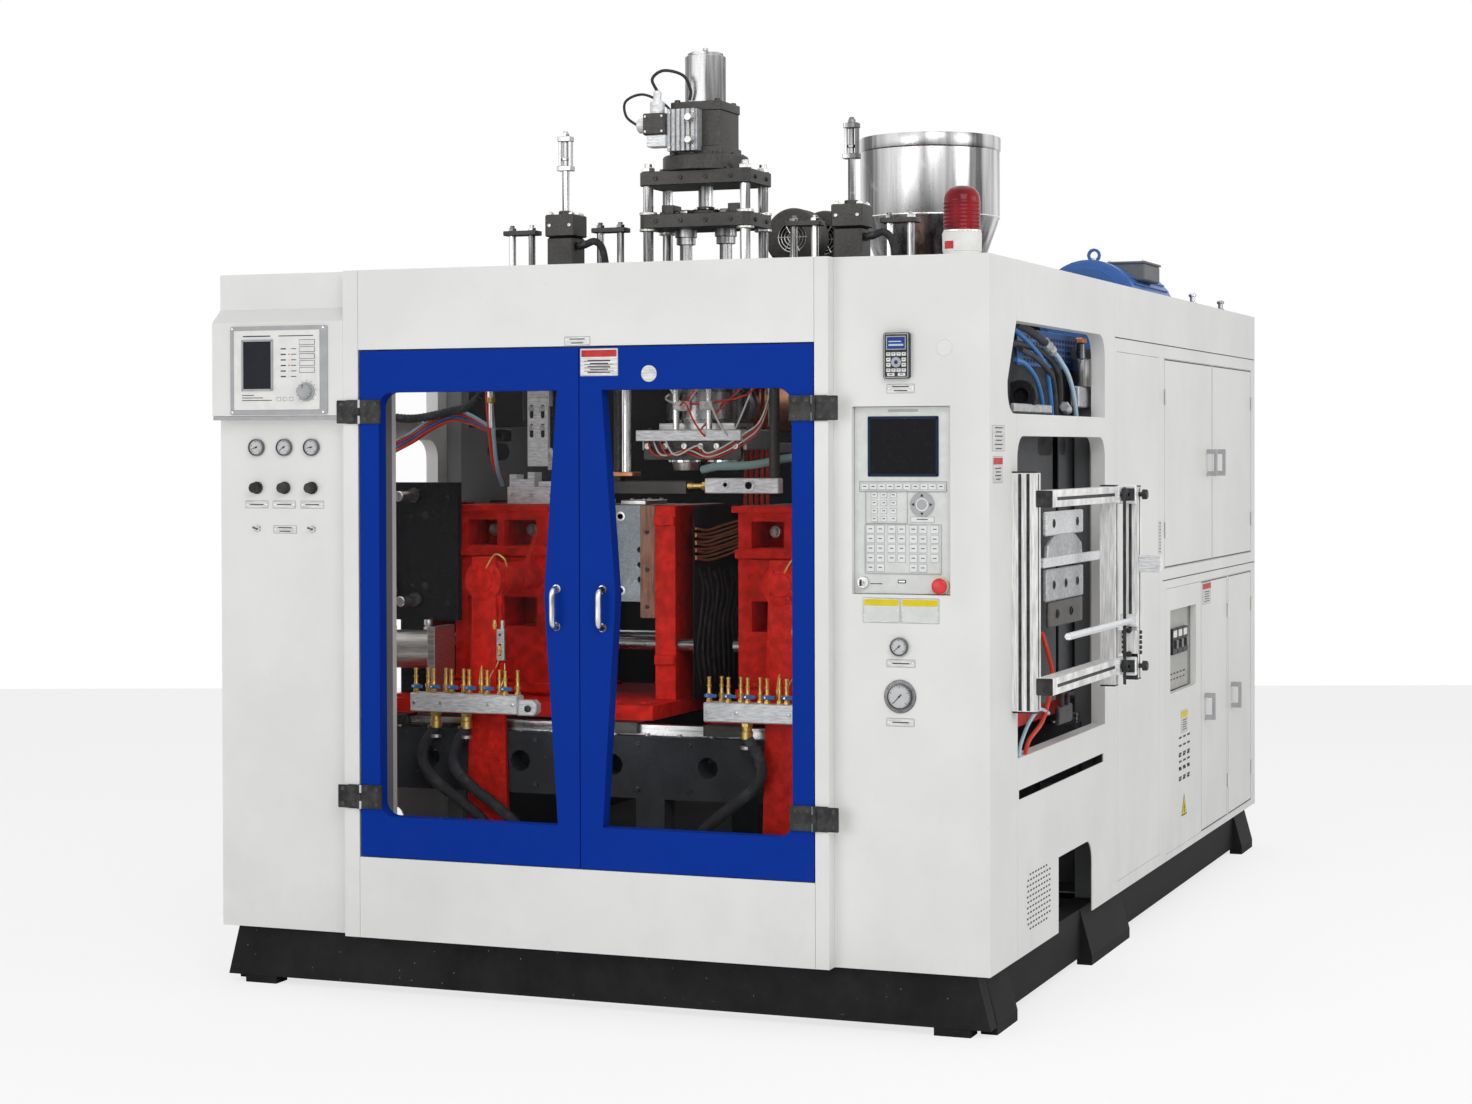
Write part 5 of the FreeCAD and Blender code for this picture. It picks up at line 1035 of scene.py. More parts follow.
def door_fittings():
    """Makes the door fittings."""
    for side, x, hinge_x, toward in (("left", 966.5, 423.5, 1), ("right", 1088.5, 1631.5, -1)):
        form = Form().paint("post")
        bow_handle(form, (x, DOOR_Y, 836), 46, 33, 15, FRONT)
        for z in (353, 1316):
            leaf = hinge_x + toward * 2.5
            form.paint("black")
            low, high = sorted((leaf, leaf + toward * HINGE))
            form.plate(high - low, HINGE, 2, 0, 4, ((low + high) / 2, DOOR_Y, z), 0.7, FRONT)
            leaf_hinge(form, leaf, z, toward)
            form.paint("black").turned(((5.2, -9.6), (6, -8.8), (6, 8.8), (5.2, 9.6)),
                (hinge_x, DOOR_Y - 6, z), 28)
            form.plate(9, 18, 1, 0, 5, (hinge_x + toward * 4, DOOR_Y - 1, z), 0.5, FRONT)
        form.build("fittings_" + side, "black_plastic", "door_fittings_" + side, body=side + "_front_door")
        fixed = Form()
        for z in (353, 1316):
            leaf_hinge(fixed, hinge_x - toward * 2.5, z, -toward)
        fixed.build("hinge_screws_" + side, "black_plastic")
    plates = Form()
    label(plates, 1081.5, 1431, 97, 64, (0, DOOR_Y, 0), FRONT, True, "red_field")
    for k in range(4):
        field(plates, "legend", (1042, 1120 - 9 * (k % 2)), (1409 + k * 8, 1410.4 + k * 8), (0.8, 1.15), 0.4,
            (0, DOOR_Y, 0), FRONT, 0.03)
    plates.paint("label").turned(((20, 0), (20, 0.8), (19, 1.4), (16, 1.5), (15.4, 1.1), (1, 1.2)),
        (1212, DOOR_Y, 1402), 48, FRONT)
    plates.build("door_plates", "aluminium", body="right_front_door")
    at = (WIDTH, 0, 0)
    for name, y, z, ends, levels in (
            ("upper_door_front", 2493, 1175, (1873, 2574), (870, 1481)),
            ("upper_door_rear", 2629, 1175, (2584, 3238), (870, 1481)),
            ("lower_door_front", 2463, 409, (2405, 2818), (24, 801)),
            ("lower_door_rear", 2896, 409, (2842, 3238), (24, 801))):
        rounded_copy(name, name + "_leaf", "white_paint", 0.9, "enclosure",
            ("unit_frame", inside(x=(WIDTH + 0.5, WIDTH + 60), y=(y - 16, y + 16))))
        grip = Form()
        for level in levels:
            mark(grip, ends, (level - 1.6, level + 1.6), (0, 0.35), at, RIGHT, radius=0.6)
        for end in ends:
            field(grip, "unit_frame", (end - 1.4, end + 1.4), levels, (0, 0.35), 0.6, at, RIGHT, 0.05)
        grip.paint("chrome")
        for s in (-34.5, 34.5):
            grip.turned(((10.5, 0), (10.5, 1.2), (9, 2)), (WIDTH, y, z + s), 24, RIGHT)
        grip.build(name + "_feet", "chrome_fittings", body=name)


# ---------------------------------------------------------------- parison head and extruder
HEAD_COLUMNS = [(sx * 140, sy * 68) for sx in (-1, 1) for sy in (-1, 1)]


def cut_corner(half_x, half_y, cut):
    """Rectangle whose four corners are cut off at 45 degrees."""
    a, b, c = half_x, half_y, cut
    return np.array(((-a + c, -b), (a - c, -b), (a, -b + c), (a, b - c), (a - c, b), (-a + c, b), (-a, b - c),
        (-a, -b + c)))


def head_plate(form, z, bushes):
    """Blackened plate with cut corners, bushes round the columns and socket screws along its edges."""
    form.paint("black_steel").slab(cut_corner(160, 95, 18), z, z + 38, (0, 0, 0), 1.8)
    form.paint("steel")
    for x, y in HEAD_COLUMNS:
        if bushes:
            form.turned(((24, 38), (24, 44), (22.5, 45.5), (14.4, 45.5)), (x, y, z), 36, TOP, OPEN)
            form.turned(((14.4, -6.5), (22.5, -6.5), (24, -5), (24, 0)), (x, y, z), 36, TOP, OPEN)
        else:
            form.hexagon((x, y, z + 38), TOP, 19, 13)
            form.turned(((10.5, 50), (10.5, 60), (9, 61.5)), (x, y, z), 24)
    screws(form, [(x, y, z + 38) for x in (-95, -50, 50, 95) for y in (-78, 78)], TOP, 6.5, "black_steel")
    screws(form, [(x, -95, z + 19) for x in (-108, -36, 36, 108)], FRONT, 6, "black_steel", 4)
    screws(form, [(160, y, z + 19) for y in (-42, 42)], RIGHT, 6, "black_steel", 4)


def head_columns():
    """Makes the head columns and crosshead."""
    steps = bpy.context.scene.blow_sizes.round_steps
    form = Form(HEAD).paint("post")
    for x, y in HEAD_COLUMNS:
        form.turned(((14, 1521), (14, 1930)), (x, y, 0), steps)
        form.paint("black_steel").turned(((24, 1520.2), (24, 1536), (20, 1540), (14.2, 1541)), (x, y, 0),
            steps, TOP, CAPPED_LOW)
        form.paint("post")
    head_plate(form, 1930, False)
    form.build("head_columns", "steel", "head_frame")
    cross = Form(HEAD)
    head_plate(cross, 1815, True)
    cross.paint("post").turned(((20, 38), (20, 143.4)), (0, 0, 1815), steps)
    cross.paint("black_steel").turned(((42, 38), (42, 49), (39, 52), (24, 52), (24, 60), (20.2, 61)),
        (0, 0, 1815), steps)
    for u in (-96, 96):
        cross.plate(34, 60, 2, 37.5, 66, (u, -10, 1815), 1.2)
    cross.paint("cap")
    for u in (-58, 58):
        cross.turned(((17, -135), (17, -42), (26, -40), (26, -22), (30, -20), (30, 0)), (u, 0, 1815), steps)
        cross.hexagon((u, 0, 1853), TOP, 21, 16)
    screws(cross, [(32 * cos(a), 32 * sin(a), 1867) for a in np.arange(6) * pi / 3], TOP, 4)
    cross.build("crosshead_plate", "steel", "crosshead", body="crosshead")


def parison_cylinder():
    """Makes the parison cylinder and servo valve."""
    form = Form(HEAD).paint("black_steel")
    at = (0, 0, 0)
    form.turned(((20.6, 1990), (20.6, 1968), (114, 1968), (116, 1970), (116, 2006), (113, 2010)), at, 64, TOP,
        CAPPED_HIGH)
    form.plate(140, 140, 4, 2009, 2154, at, 2.4)
    form.plate(152, 152, 6, 2010, 2034, at, 2)
    form.plate(146, 146, 5, 2128, 2153, at, 2)
    form.paint("cap").slab(ring(55, 8, pi / 8), 2153.5, 2283, at, 3)
    form.slab(ring(48, 8, pi / 8), 2282, 2291, at, 2)
    form.turned(((5, 2290), (5, 2297), (7.5, 2298), (7.5, 2303), (6, 2305)), at, 20)
    screws(form, [(x, y, 2153) for x in (-58, 58) for y in (-58, 58)], TOP, 8, "black_steel")
    screws(form, [(98 * cos(a), 98 * sin(a), 2010) for a in np.arange(10) * tau / 10 + 0.31], TOP, 7,
        "black_steel")
    form.build("parison_drive", "steel", "parison_cylinder")
    valve = Form(HEAD).paint("cast_aluminium")
    y1 = -70
    for k in range(6):
        x = -66 + k * 14
        valve.plate(9, 112, 1, 0.5, 45.5, (x + 4.6, y1, 2074), 0.8, FRONT)
    valve.plate(84, 110, 1, 0, 38, (-24, y1, 2074), 1, FRONT)
    valve.paint("black_steel").block((-130, -66), (y1 - 60, y1 - 6), (2062, 2120), 3)
    valve.paint("aluminium").block((-120, -66), (y1 - 56, y1 - 10), (2030, 2062), 2)
    valve.turned(((20, 2120), (20, 2150), (17, 2154), (11, 2154), (11, 2178), (8, 2182)), (-98, y1 - 33, 0),
        32)
    valve.turned(((20, 0), (20, 19), (16, 23), (9, 24)), (-130, y1 - 33, 2090), 32, LEFT)
    screws(valve, [(-98 + x, y1 - 60, 2091 + z) for x in (-24, 24) for z in (-20, 20)], FRONT, 3.4)
    screws(valve, [(-24 + x, y1 - 45, 2074 + z) for x in (-34, 34) for z in (-46, 46)], FRONT, 3.6, "steel",
        3)
    hose_end(valve, (4, y1 - 45.5, 2044), (0, -1, 0), 9, "steel")
    hose_end(valve, (4, y1 - 45.5, 2104), (0, -1, 0), 9, "steel")
    valve.build("servo_valve_body", "aluminium", "servo_valve")
    cable = Form(HEAD).paint("rubber")
    top = (-98, y1 - 33, 2180)
    cable.tube([top, (-112, y1 - 34, 2215), (-80, y1 - 30, 2236), (-30, y1 - 16, 2222), (-16, y1 + 2, 2185),
        (-20, y1 + 6, 2158)], 4.2)
    cable.tube([(-154, y1 - 33, 2090), (-190, y1 - 30, 2118), (-196, y1 - 20, 2160), (-150, y1 - 8, 2178),
        (-92, y1 + 2, 2150), (-70, y1 + 12, 2120)], 3.6)
    cable.build("valve_cable", "black_plastic")


def die_head():
    """Makes the die head."""
    steps = bpy.context.scene.blow_sizes.round_steps
    form = Form(HEAD).paint("steel")
    at = (0, 0, 0)
    form.plate(302, 180, 3, 1218, 1273, at, 2)
    form.plate(220, 140, 2, 1272, 1291, at, 1)
    form.paint("canister").turned(((100, 1290), (100, 1650)), at, 72)
    form.paint("steel").turned(((40, 60), (40, 113.5)), (0, 0, 1340), steps, BACK)
    form.paint("chrome")
    for z in (1392, 1440):
        form.turned(((100, z), (111, z + 0.5), (112, z + 2), (112, z + 38), (111, z + 39.5), (100, z + 40)),
            at, 72, TOP, OPEN)
    form.paint("cap").turned(((100, 1300), (106, 1301), (106, 1372), (100, 1373)), at, 72, TOP, OPEN)
    form.paint("steel")
    for x in (-58, 58):
        place = (x, 0, 0)
        form.turned(((20, 1166), (20, 1164), (34, 1164), (37, 1176), (43, 1196), (44, 1218)), place, steps)
        form.paint("chrome").turned(((46, 1184), (52, 1186), (52, 1213), (46, 1215)), place, steps, TOP, OPEN)
        form.paint("steel")
    screws(form, [(x, -90, 1245.5) for x in (-128, -88, 88, 128)], FRONT, 7, "black_steel", 5)
    screws(form, [(x, y, 1272) for x in (-134, 134) for y in (-70, 0, 70)], TOP, 8, "black_steel")
    form.paint("ceramic")
    for a, z in ((-2.2, 1412), (-1.57, 1460), (-0.9, 1412), (-2.5, 1460), (-0.6, 1460), (-1.75, 1336),
            (-1.2, 1336)):
        out = np.array((cos(a), sin(a), 0))
        face = np.array((np.array((-out[1], out[0], 0)), (0, 0, 1), out))
        base = np.array((0, 0, z)) + out * (105 if z < 1380 else 110)
        form.plate(34, 26, 5, 0, 26, base, 3, face)
        form.plate(26, 20, 4, 25, 42, base, 2, face)
    form.build("die_head_body", "steel", "die_head")
    wires = Form(HEAD)
    for k, (x, z, finish) in enumerate(((-100, 1420, "white_wire"), (-58, 1462, "white_wire"),
            (-22, 1334, "red_hose"), (6, 1462, "white_wire"), (44, 1334, "white_wire"),
            (66, 1420, "red_hose"), (92, 1462, "white_wire"))):
        wires.paint(finish)
        y = -148 + abs(x) * 0.35
        sway = (-1) ** k * 26
        wires.tube([(x, y, z), (x + sway, y - 22, z + 10), (x + sway * 1.8, y - 10, z - 40),
            (x + sway * 2.6, y + 14, z - 78), (x * 1.4 + 60, y + 46, z - 52), (190, -60, 1430 + k * 6),
            (214, -20, 1486)], 2.6, 8)
    for k in range(4):
        wires.paint("white_wire" if k % 2 else "red_hose")
        y = -96 - k * 3
        wires.tube([(-140 + k * 18, y, 1268), (-100 + k * 20, y - 26, 1206),
            (-20 + k * 14, y - 16, 1212 + k * 6), (60, y - 22, 1196 + k * 5), (150, y - 6, 1236 + k * 8),
            (196, y + 20, 1300 + k * 4), (220, -20, 1486)], 2.4, 8)
    wires.paint("green_hose").tube([(30, -100, 1166), (90, -128, 1176), (170, -120, 1178), (240, -96, 1192),
        (330, -60, 1222), (352, -10, 1350), (352, 20, 1489)], 11, 16)
    wires.build("heater_wires", "black_plastic")


def hopper():
    """Makes the hopper."""
    form = Form((HEAD_X, 2857, 0)).paint("hopper")
    at = (0, 0, 0)
    form.turned(((60, 1452), (60, 1512), (62, 1518), (234, 1998), (237, 2006), (237, 2228), (239.5, 2230),
        (241, 2233), (241, 2270), (240, 2274.5), (237.5, 2276), (234.5, 2274), (234, 2226), (234, 2008),
        (231, 2000), (57, 1514), (57, 1452)), at, 96, TOP, OPEN)
    form.paint("chrome").turned(((237.2, 2003), (238.6, 2004), (238.6, 2007), (237.2, 2008)), at, 96, TOP,
        OPEN)
    form.paint("steel").plate(180, 180, 8, 1440, 1452, at, 1.5)
    screws(form, [(x, y, 1452) for x in (-76, 0, 76) for y in (-76, 76)], TOP, 6)
    form.build("hopper_sheet", "steel", "hopper")


def drive():
    """Makes the extruder drive."""
    motor = (1757, 2100, 1640)
    rounded_copy("extruder_drive", "drive", "blue_paint", 2.2, "frame",
        ("blue", both(around(1, (1757, 1640), 0, 185), inside(y=(2060, 2670)))))
    form = Form().paint("blue")
    form.turned(((118, -29.5), (129, -28), (131, -22), (131, -3), (150, -2), (157, 4), (157.4, 30),
        (157.4, 548), (150, 559), (60, 560.5)), motor, 72, INWARD)
    for k in range(26):
        a = radians(-62 + k * 8.6)
        out = np.array((sin(a), 0, cos(a)))
        aside = np.array((cos(a), 0, -sin(a)))
        turn = np.array((aside, (0, 1, 0), out))
        middle = np.array(motor) + (0, 290, 0)
        if not (0.25 < a < 0.75):
            form.plate(4.2, 470, 2, 154, 163 if abs(a) > 0.12 else 160, middle, 1.2, turn)
    form.paint("frame").block((1795, 1909), (2218, 2432), (1738, 1790), 4)
    form.block((1791, 1913), (2214, 2436), (1790, 1797), 2)
    screws(form, [(x, y, 1797) for x in (1800, 1904) for y in (2223, 2427)], TOP, 4.5)
    form.paint("steel")
    eye = ring(1, 40)
    path = np.column_stack((1757 + 17 * eye[:, 0], np.full(40, 2190.5), 1816 + 17 * eye[:, 1]))
    path = np.vstack((path, path[:2]))
    form.skin(carried(path, ring(4.5, 14)), ends=OPEN)
    form.turned(((14, 150), (14, 160), (8, 163), (8, 168)), (1757, 2190.5, 1640), 24)
    for y in (2470, 2560):
        form.turned(((8, 0), (8, 16), (12, 17), (12, 30), (9, 33)), (1990, y, 1640), 20)
    form.build("motor_shell", "blue_paint")


def blowers():
    """Makes the cooling blowers."""
    form = Form()
    for x, y in ((1040, 1440), (1096, 1560)):
        at = (x, y, 1840)
        form.paint("black_steel")
        rib = [(44, -2), (48, -2), (52, 0), (78, 0), (84, 3)]
        for k in range(7):
            rib += [(86, 6 + k * 10), (86, 10 + k * 10), (81, 11.5 + k * 10), (81, 14 + k * 10)]
        rib += [(86, 76), (84, 80), (20, 80)]
        form.turned(rib, at, 72, INWARD, CAPPED_HIGH)
        form.turned(((6, 44), (44, 40), (44, -2)), at, 48, INWARD, CAPPED_LOW)
        form.paint("steel")
        for r in (14, 24, 34, 43):
            form.turned(((r - 1, -1), (r + 0.6, -2.2), (r + 0.6, 0)), at, 40, INWARD, OPEN)
        for k in range(6):
            a = k * pi / 3
            form.tube([(x + 4 * cos(a), y - 1.5, 1840 + 4 * sin(a)),
                (x + 46 * cos(a), y - 1.5, 1840 + 46 * sin(a))], 1.4, 8, False)
        form.paint("black_steel").block((x - 34, x + 34), (y + 10, y + 70), (1439, 1768), 2)
        form.block((HEAD_X - 50, x + 34), (y + 10, y + 70), (1411.4, 1440), 2)
        for z in (1500, 1600, 1700):
            form.block((x - 36, x + 36), (y + 8, y + 72), (z, z + 6), 1)
    form.build("blowers", "black_plastic", "cooling_blowers")


def beacon():
    """Makes the beacon."""
    at = (1945, 120, 0)
    base = Form().paint("white")
    base.turned(((43.5, 1670.2), (44.5, 1671.5), (44.5, 1682), (46, 1683.5), (46.8, 1722), (47, 1726),
        (45, 1728)), at, 72)
    base.paint("red_field")
    a = radians(-115)
    out = np.array((cos(a), sin(a), 0))
    base.plate(26, 18, 1, 45.7, 46.9, (1945, 120, 1697), 0.2,
        np.array(((-out[1], out[0], 0), (0, 0, 1), out)))
    base.build("beacon_foot", "white_paint", "beacon_base")
    lens = Form().paint("lens")
    wave = np.arange(0, 74, 1.6)
    side = np.column_stack((43.2 - 0.7 * np.cos(wave * tau / 9), 1729 + wave))
    dome = np.linspace(0, pi / 2, 14)
    top = np.column_stack((42.6 * np.cos(dome) ** 0.72, 1804 + 34 * np.sin(dome)))
    lens.turned(np.vstack(((44, 1728.3), side, top)), at, 80)
    lens.paint("chrome").turned(((44.2, 1728.1), (45.2, 1729), (45.2, 1732), (44.2, 1733)), at, 72, TOP, OPEN)
    lens.build("beacon_dome", "beacon_amber", "beacon_lens")


def blow_units():
    """Makes the blow units."""
    units = Form()
    for i, x in enumerate(STATIONS):
        units.origin = (x, BLOW_Y, 0)
        units.paint("black_steel").block((-40, 40), (-40, 40), (1384, 1806), 5)
        units.block((-44, 44), (-44, 44), (1806.5, 1867), 3)
        units.block((-43, 43), (-43, 43), (1520.5, 1552), 2)
        units.turned(((20, 1866), (20, 1877), (18, 1879), (10.6, 1879)), (0, 0, 0), 40, TOP, CAPPED_LOW)
        units.block((-38, 38), (40.5, 60), (1300, 1490), 2)
        units.paint("steel")
        for u in (-31, 31):
            for v in (-31, 31):
                units.turned(((5, 1867), (5, 1874), (3.5, 1876)), (u, v, 0), 16)
                units.hexagon((u, v, 1866.5), TOP, 9, 6)
        screws(units, [(u, -44, 1837) for u in (-30, 30)], FRONT, 5, "steel", 3)
        for offset in (-133, 135):
            units.paint("black_steel").plate(100, 44, 3, 1815, 1828, (offset, 0, 0), 1.5)
            for dx in (-31, 29):
                place = (offset + dx, 0, 0)
                units.paint("post").turned(((10, 1521), (10, 1815)), place, 28)
                units.paint("black_steel").turned(((17, 1520.3), (17, 1532), (14, 1535), (10.2, 1535)), place,
                    28, TOP, CAPPED_LOW)
                units.paint("cap").hexagon((offset + dx, 0, 1828), TOP, 12, 9)
                units.turned(((6.5, 1836), (6.5, 1843), (5, 1844)), place, 20)
        hose_end(units, (40, -12, 1780), (1, 0, 0.2), 10, "black_steel")
        hose_end(units, (-40, -12, 1560), (-1, 0, 0.1), 10, "steel")
        units.paint("rubber").tube([(66, -12, 1785), (92, -10, 1792), (112, -4, 1770), (120, 8, 1700),
            (122, 40, 1600), (122, 46, 1520)], 10)
        units.tube([(-66, -12, 1563), (-84, -8, 1556), (-90, 8, 1522)], 8)
    units.build("blow_cylinders", "black_plastic", "blow_units")
    for i, x in enumerate(STATIONS):
        rod = Form((x, BLOW_Y, 0)).paint("post")
        at = (0, 0, 0)
        rod.turned(((5, 1225), (5.5, 1232), (9.5, 1283), (10, 1290), (10, 1989)), at, 32)
        rod.turned(((14, 1300), (15, 1302), (15, 1330), (12, 1334), (10.2, 1335)), at, 32, TOP, CAPPED_LOW)
        rod.paint("cap").plate(44, 28, 3, 1989, 2003, at, 1.5)
        rod.plate(40, 28, 3, 2070, 2084, at, 1.5)
        for s in (-1, 1):
            rod.plate(8, 16, 1.5, 2002.5, 2070.5, (s * 15, 0, 0), 0.8)
        thread = [(6.9 - 0.6 * (k % 2), 2003 + k * 1.9) for k in range(36)]
        rod.turned(thread, at, 24)
        rod.hexagon((0, 0, 2018), TOP, 11, 9)
        rod.hexagon((0, 0, 2084), TOP, 11, 9.6)
        rod.turned(((7, 2083), (7, 2097), (5, 2099.5)), at, 24)
        node = "blow_rod_%d" % (i + 1)
        rod.build("blow_pin_%d" % (i + 1), "chrome_fittings", node, body=node)


# ---------------------------------------------------------------- mould stations and moulding room
def rider(node):
    """Body that a carried-over node rides on."""
    return frame["nodes"][node]["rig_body"]


def stations():
    """Makes the mould stations."""
    bars = ((665, 700), (935, 700), (970, 1010))
    for i, x in enumerate(STATIONS):
        n, outer = i + 1, (1, -1)[i]
        cheek = sorted((x - outer * 484, x - outer * 120))
        rounded_copy("carriage_%d" % n, "carriage_body_%d" % n, "red_paint", 2.4, "red",
            ("speckle", inside(x=cheek, y=(604, 632))), ("hammered", inside(x=cheek, y=(1002, 1030))),
            ("black_steel", inside(z=(486, 515.2))), ("steel", inside(y=(465, 595.5), z=(553.3, 750))),
            ("bar", either(*(around(0, bar, 10, 17.5) for bar in bars))))
        rounded_copy("moving_platen_%d" % n, "platen_%d" % n, "red_paint", 3, "red",
            ("aluminium", inside(z=(1071.3, 1200))))
        rounded_copy("back_platens_%d" % n, "back_plates_%d" % n, "red_paint", 1.8, "red",
            ("phenolic", inside(x=(x + 287, x + 331.5), z=(760, 1071.5))))
        for half in "ab":
            rounded_copy("mould_half_%d%s" % (n, half), "mould_%d%s" % (n, half), "mould_aluminium", 1.2,
                "mould")
        cheek_parts(n, x, outer)
        platen_parts(n, x)
        mould_parts(n, x)
    end_cover_and_shade_plate()


def end_cover_and_shade_plate():
    """A hammered cover on the second carriage's right end; on the first carriage's right end, a dark plate of
    painted shade with copper lines and cables on it.
    """
    form = Form().paint("hammered")
    form.plate(360, 518, 3, 0, 1.5, (1941, 820, 812), 0.4, RIGHT)
    form.plate(424, 212, 8, 0, 1.5, (1925, 817, 1178), 0.4, RIGHT)
    form.paint("black").plate(150, 48, 23.5, 1.4, 1.9, (1925, 950, 1226), 0.1, RIGHT)
    screws(form, [(1942.5, 820 + u, 812 + w) for u in (-160, 160) for w in (-230, 0, 230)], RIGHT, 8, "steel",
        2)
    form.build("end_cover_2", "grey_paint", body=rider("carriage_2"))
    # The first carriage's end face gets a dark plate that is painted shade.
    first = Form().paint("speckle")
    first.plate(352, 512, 6, 0, 2, (1047, 820, 812), 0.6, RIGHT)
    first.paint("copper")
    for k in range(9):
        z = 1010 - k * 10
        first.tube([(1051, 652, z - 5 * (k % 2)), (1051, 740, z - 7), (1051, 850, z + 3 - 2 * (k % 3)),
            (1051, 990, z + 14)], 3.4, 10)
    first.paint("rubber")
    for k in range(9):
        first.tube([(1051, 676 + k * 36, 902 - 12 * (k % 2)), (1051, 706 + k * 36, 850 - 18 * (k % 3)),
            (1051, 686 + k * 33, 760), (1051, 662 + k * 38, 680 + 12 * (k % 2)), (1051, 690 + k * 34, 590)],
            3.4, 10)
    first.build("end_shade_plate_1", "black_plastic", body=rider("carriage_1"))


def cheek_parts(n, x, outer):
    """Pins, holes, cylinder covers and bolts on a carriage's cheek plate and platform."""
    form = Form((x, 0, 0))
    for u, z in ((-371, 1095), (-367, 809)):
        form.paint("chrome").turned(((14, 0), (14, 92), (12.5, 94)), (outer * u, 605, z), 28, FRONT)
        form.paint("black_steel").turned(((21, 0), (21, 9), (19, 11)), (outer * u, 605, z), 28, FRONT)
    form.paint("black")
    for u, z, r in ((-339, 1042, 10), (-381, 1037, 4), (-340, 847, 10), (-377, 848, 4), (-270, 1090, 6),
            (-270, 800, 6)):
        form.turned(((r, 0), (r, 0.6), (r * 0.9, 0.9)), (outer * u, 605, z), 24, FRONT)
    for z in (1012, 872):
        form.paint("cast_aluminium")
        place = (outer * -461, 605, z)
        form.plate(64, 92, 8, 0, 26, place, 3, FRONT)
        form.turned(((26, 25), (26, 40), (22, 44), (9, 44), (9, 50), (7, 52)), place, 32, FRONT)
        screws(form, [(outer * -461 + a, 579, z + b) for a in (-24, 24) for b in (-36, 36)], FRONT, 5,
            "steel", 5)
    form.paint("red")
    for u in (-400, -360, -80, 40, 160, 280, 360):
        ends = (-420, 400) if n == 1 else (-290, 500)
        if ends[0] + 20 < u < ends[1] - 20:
            form.hexagon((u, 500, 553), TOP, 11, 8)
            form.hexagon((u, 1060, 553), TOP, 11, 8)
    form.paint("steel")
    outward = LEFT if outer > 0 else RIGHT
    form.turned(((50, -2), (52, 0), (52, 14), (46, 17), (20, 17), (20, 22), (17, 24)),
        (-outer * 421, 530, 680), 48, outward)
    hose_end(form, (-outer * 400, 530, 733), (0, 0, 1), 10, "steel")
    hose_end(form, (-outer * 290, 530, 733), (0, 0, 1), 10, "steel")
    form.paint("rubber").tube([(-outer * 400, 530, 760), (-outer * 404, 536, 800), (-outer * 424, 570, 836),
        (-outer * 447, 700, 820), (-outer * 449, 860, 760), (-outer * 448, 980, 640),
        (-outer * 446, 1000, 560)], 7.5)
    form.build("cheek_fittings_%d" % n, "steel", body=rider("carriage_%d" % n))


def platen_parts(n, x):
    """Pocket bolts, boss cap, clamps on the top block, and the grease lines with their distributor."""
    form = Form((x, 0, 0))
    for u in (-206, -90):
        form.paint("steel").turned(((17, 0), (17, 4), (15, 6)), (u, 770, 1000), 28, FRONT)
        form.screw((u, 764, 1000), FRONT, 11, 10)
    form.paint("red").turned(((50, -0.5), (52, 1), (52, 5), (48, 8), (30, 9), (28, 13), (14, 14)),
        (-41, 368.5, 878), 56, FRONT)
    for a in np.arange(4) * pi / 2 + 0.6:
        form.hexagon((-41 + 39 * cos(a), 360.5, 878 + 39 * sin(a)), FRONT, 6, 5)
    form.plate(70, 16, 4, 0, 380, (-41, 374, 560), 3)
    form.slab(((0, 0), (90, 0), (90, 12), (14, 70), (0, 70)), 0, 14, (-30, 655, 900), 2,
        np.array(((0, 0, 1), (0, -1, 0), (1, 0, 0)), float))
    for z in (945, 575):
        form.plate(292, 26, 4, 0, 16, (-122, 640, z), 3, FRONT)
    for u in (-250, -214, -160, -100):
        form.hexagon((u, 630, 596), TOP, 10, 8)
    form.paint("aluminium").block((-127, 20), (686, 690), (1072, 1119), 1)
    form.slab(((-25, 0), (50, 0), (50, 40), (30, 40), (30, 20), (-5, 20), (-5, 34), (-25, 34)), 0, 50,
        (-100, 745, 1119), 1.5, FRONT)
    form.block((-40, 16), (700, 760), (1119, 1134), 1.5)
    screws(form, [(u, 690, 1096) for u in (-112, -54, 5)], FRONT, 6, "steel", 4)
    form.paint("brass")
    line = [(-43, 364, 878), (-34, 362, 905), (-6, 360, 946), (20, 362, 937), (24, 372, 916)]
    form.tube(line, 2.3, 8)
    form.tube([(-46, 366, 862), (-40, 374, 816), (-24, 376, 772), (-12, 378, 735)], 2.3, 8)
    form.tube([(-42, 366, 862), (-16, 374, 808), (-8, 376, 766)], 2.3, 8)
    form.tube([(-10, 374, 719), (-36, 372, 682), (-50, 366, 640), (-52, 362, 600)], 2.3, 8)
    form.tube([(2, 374, 692), (-4, 370, 658), (-22, 366, 628), (-26, 362, 600)], 2.3, 8)
    form.tube([(14, 378, 660), (16, 372, 630), (12, 364, 604)], 2.3, 8)
    for u, z in ((-45, 874), (-10, 757), (3, 690), (-52, 606), (-26, 606)):
        form.hexagon((u, 368, z), TOP, 6, 9)
        form.turned(((4.4, -6), (4.4, 16), (3.2, 18)), (u, 368, z), 14)
    form.paint("steel").block((-8, 16), (371, 381.5), (668, 752), 1.5)
    form.turned(((6, 0), (6, 22), (4, 24)), (9, 375, 750), 18)
    screws(form, [(4, 371, z) for z in (684, 710, 736)], FRONT, 3.4, "black_steel", 3)
    form.build("platen_fittings_%d" % n, "red_paint", body=rider("moving_platen_%d" % n))


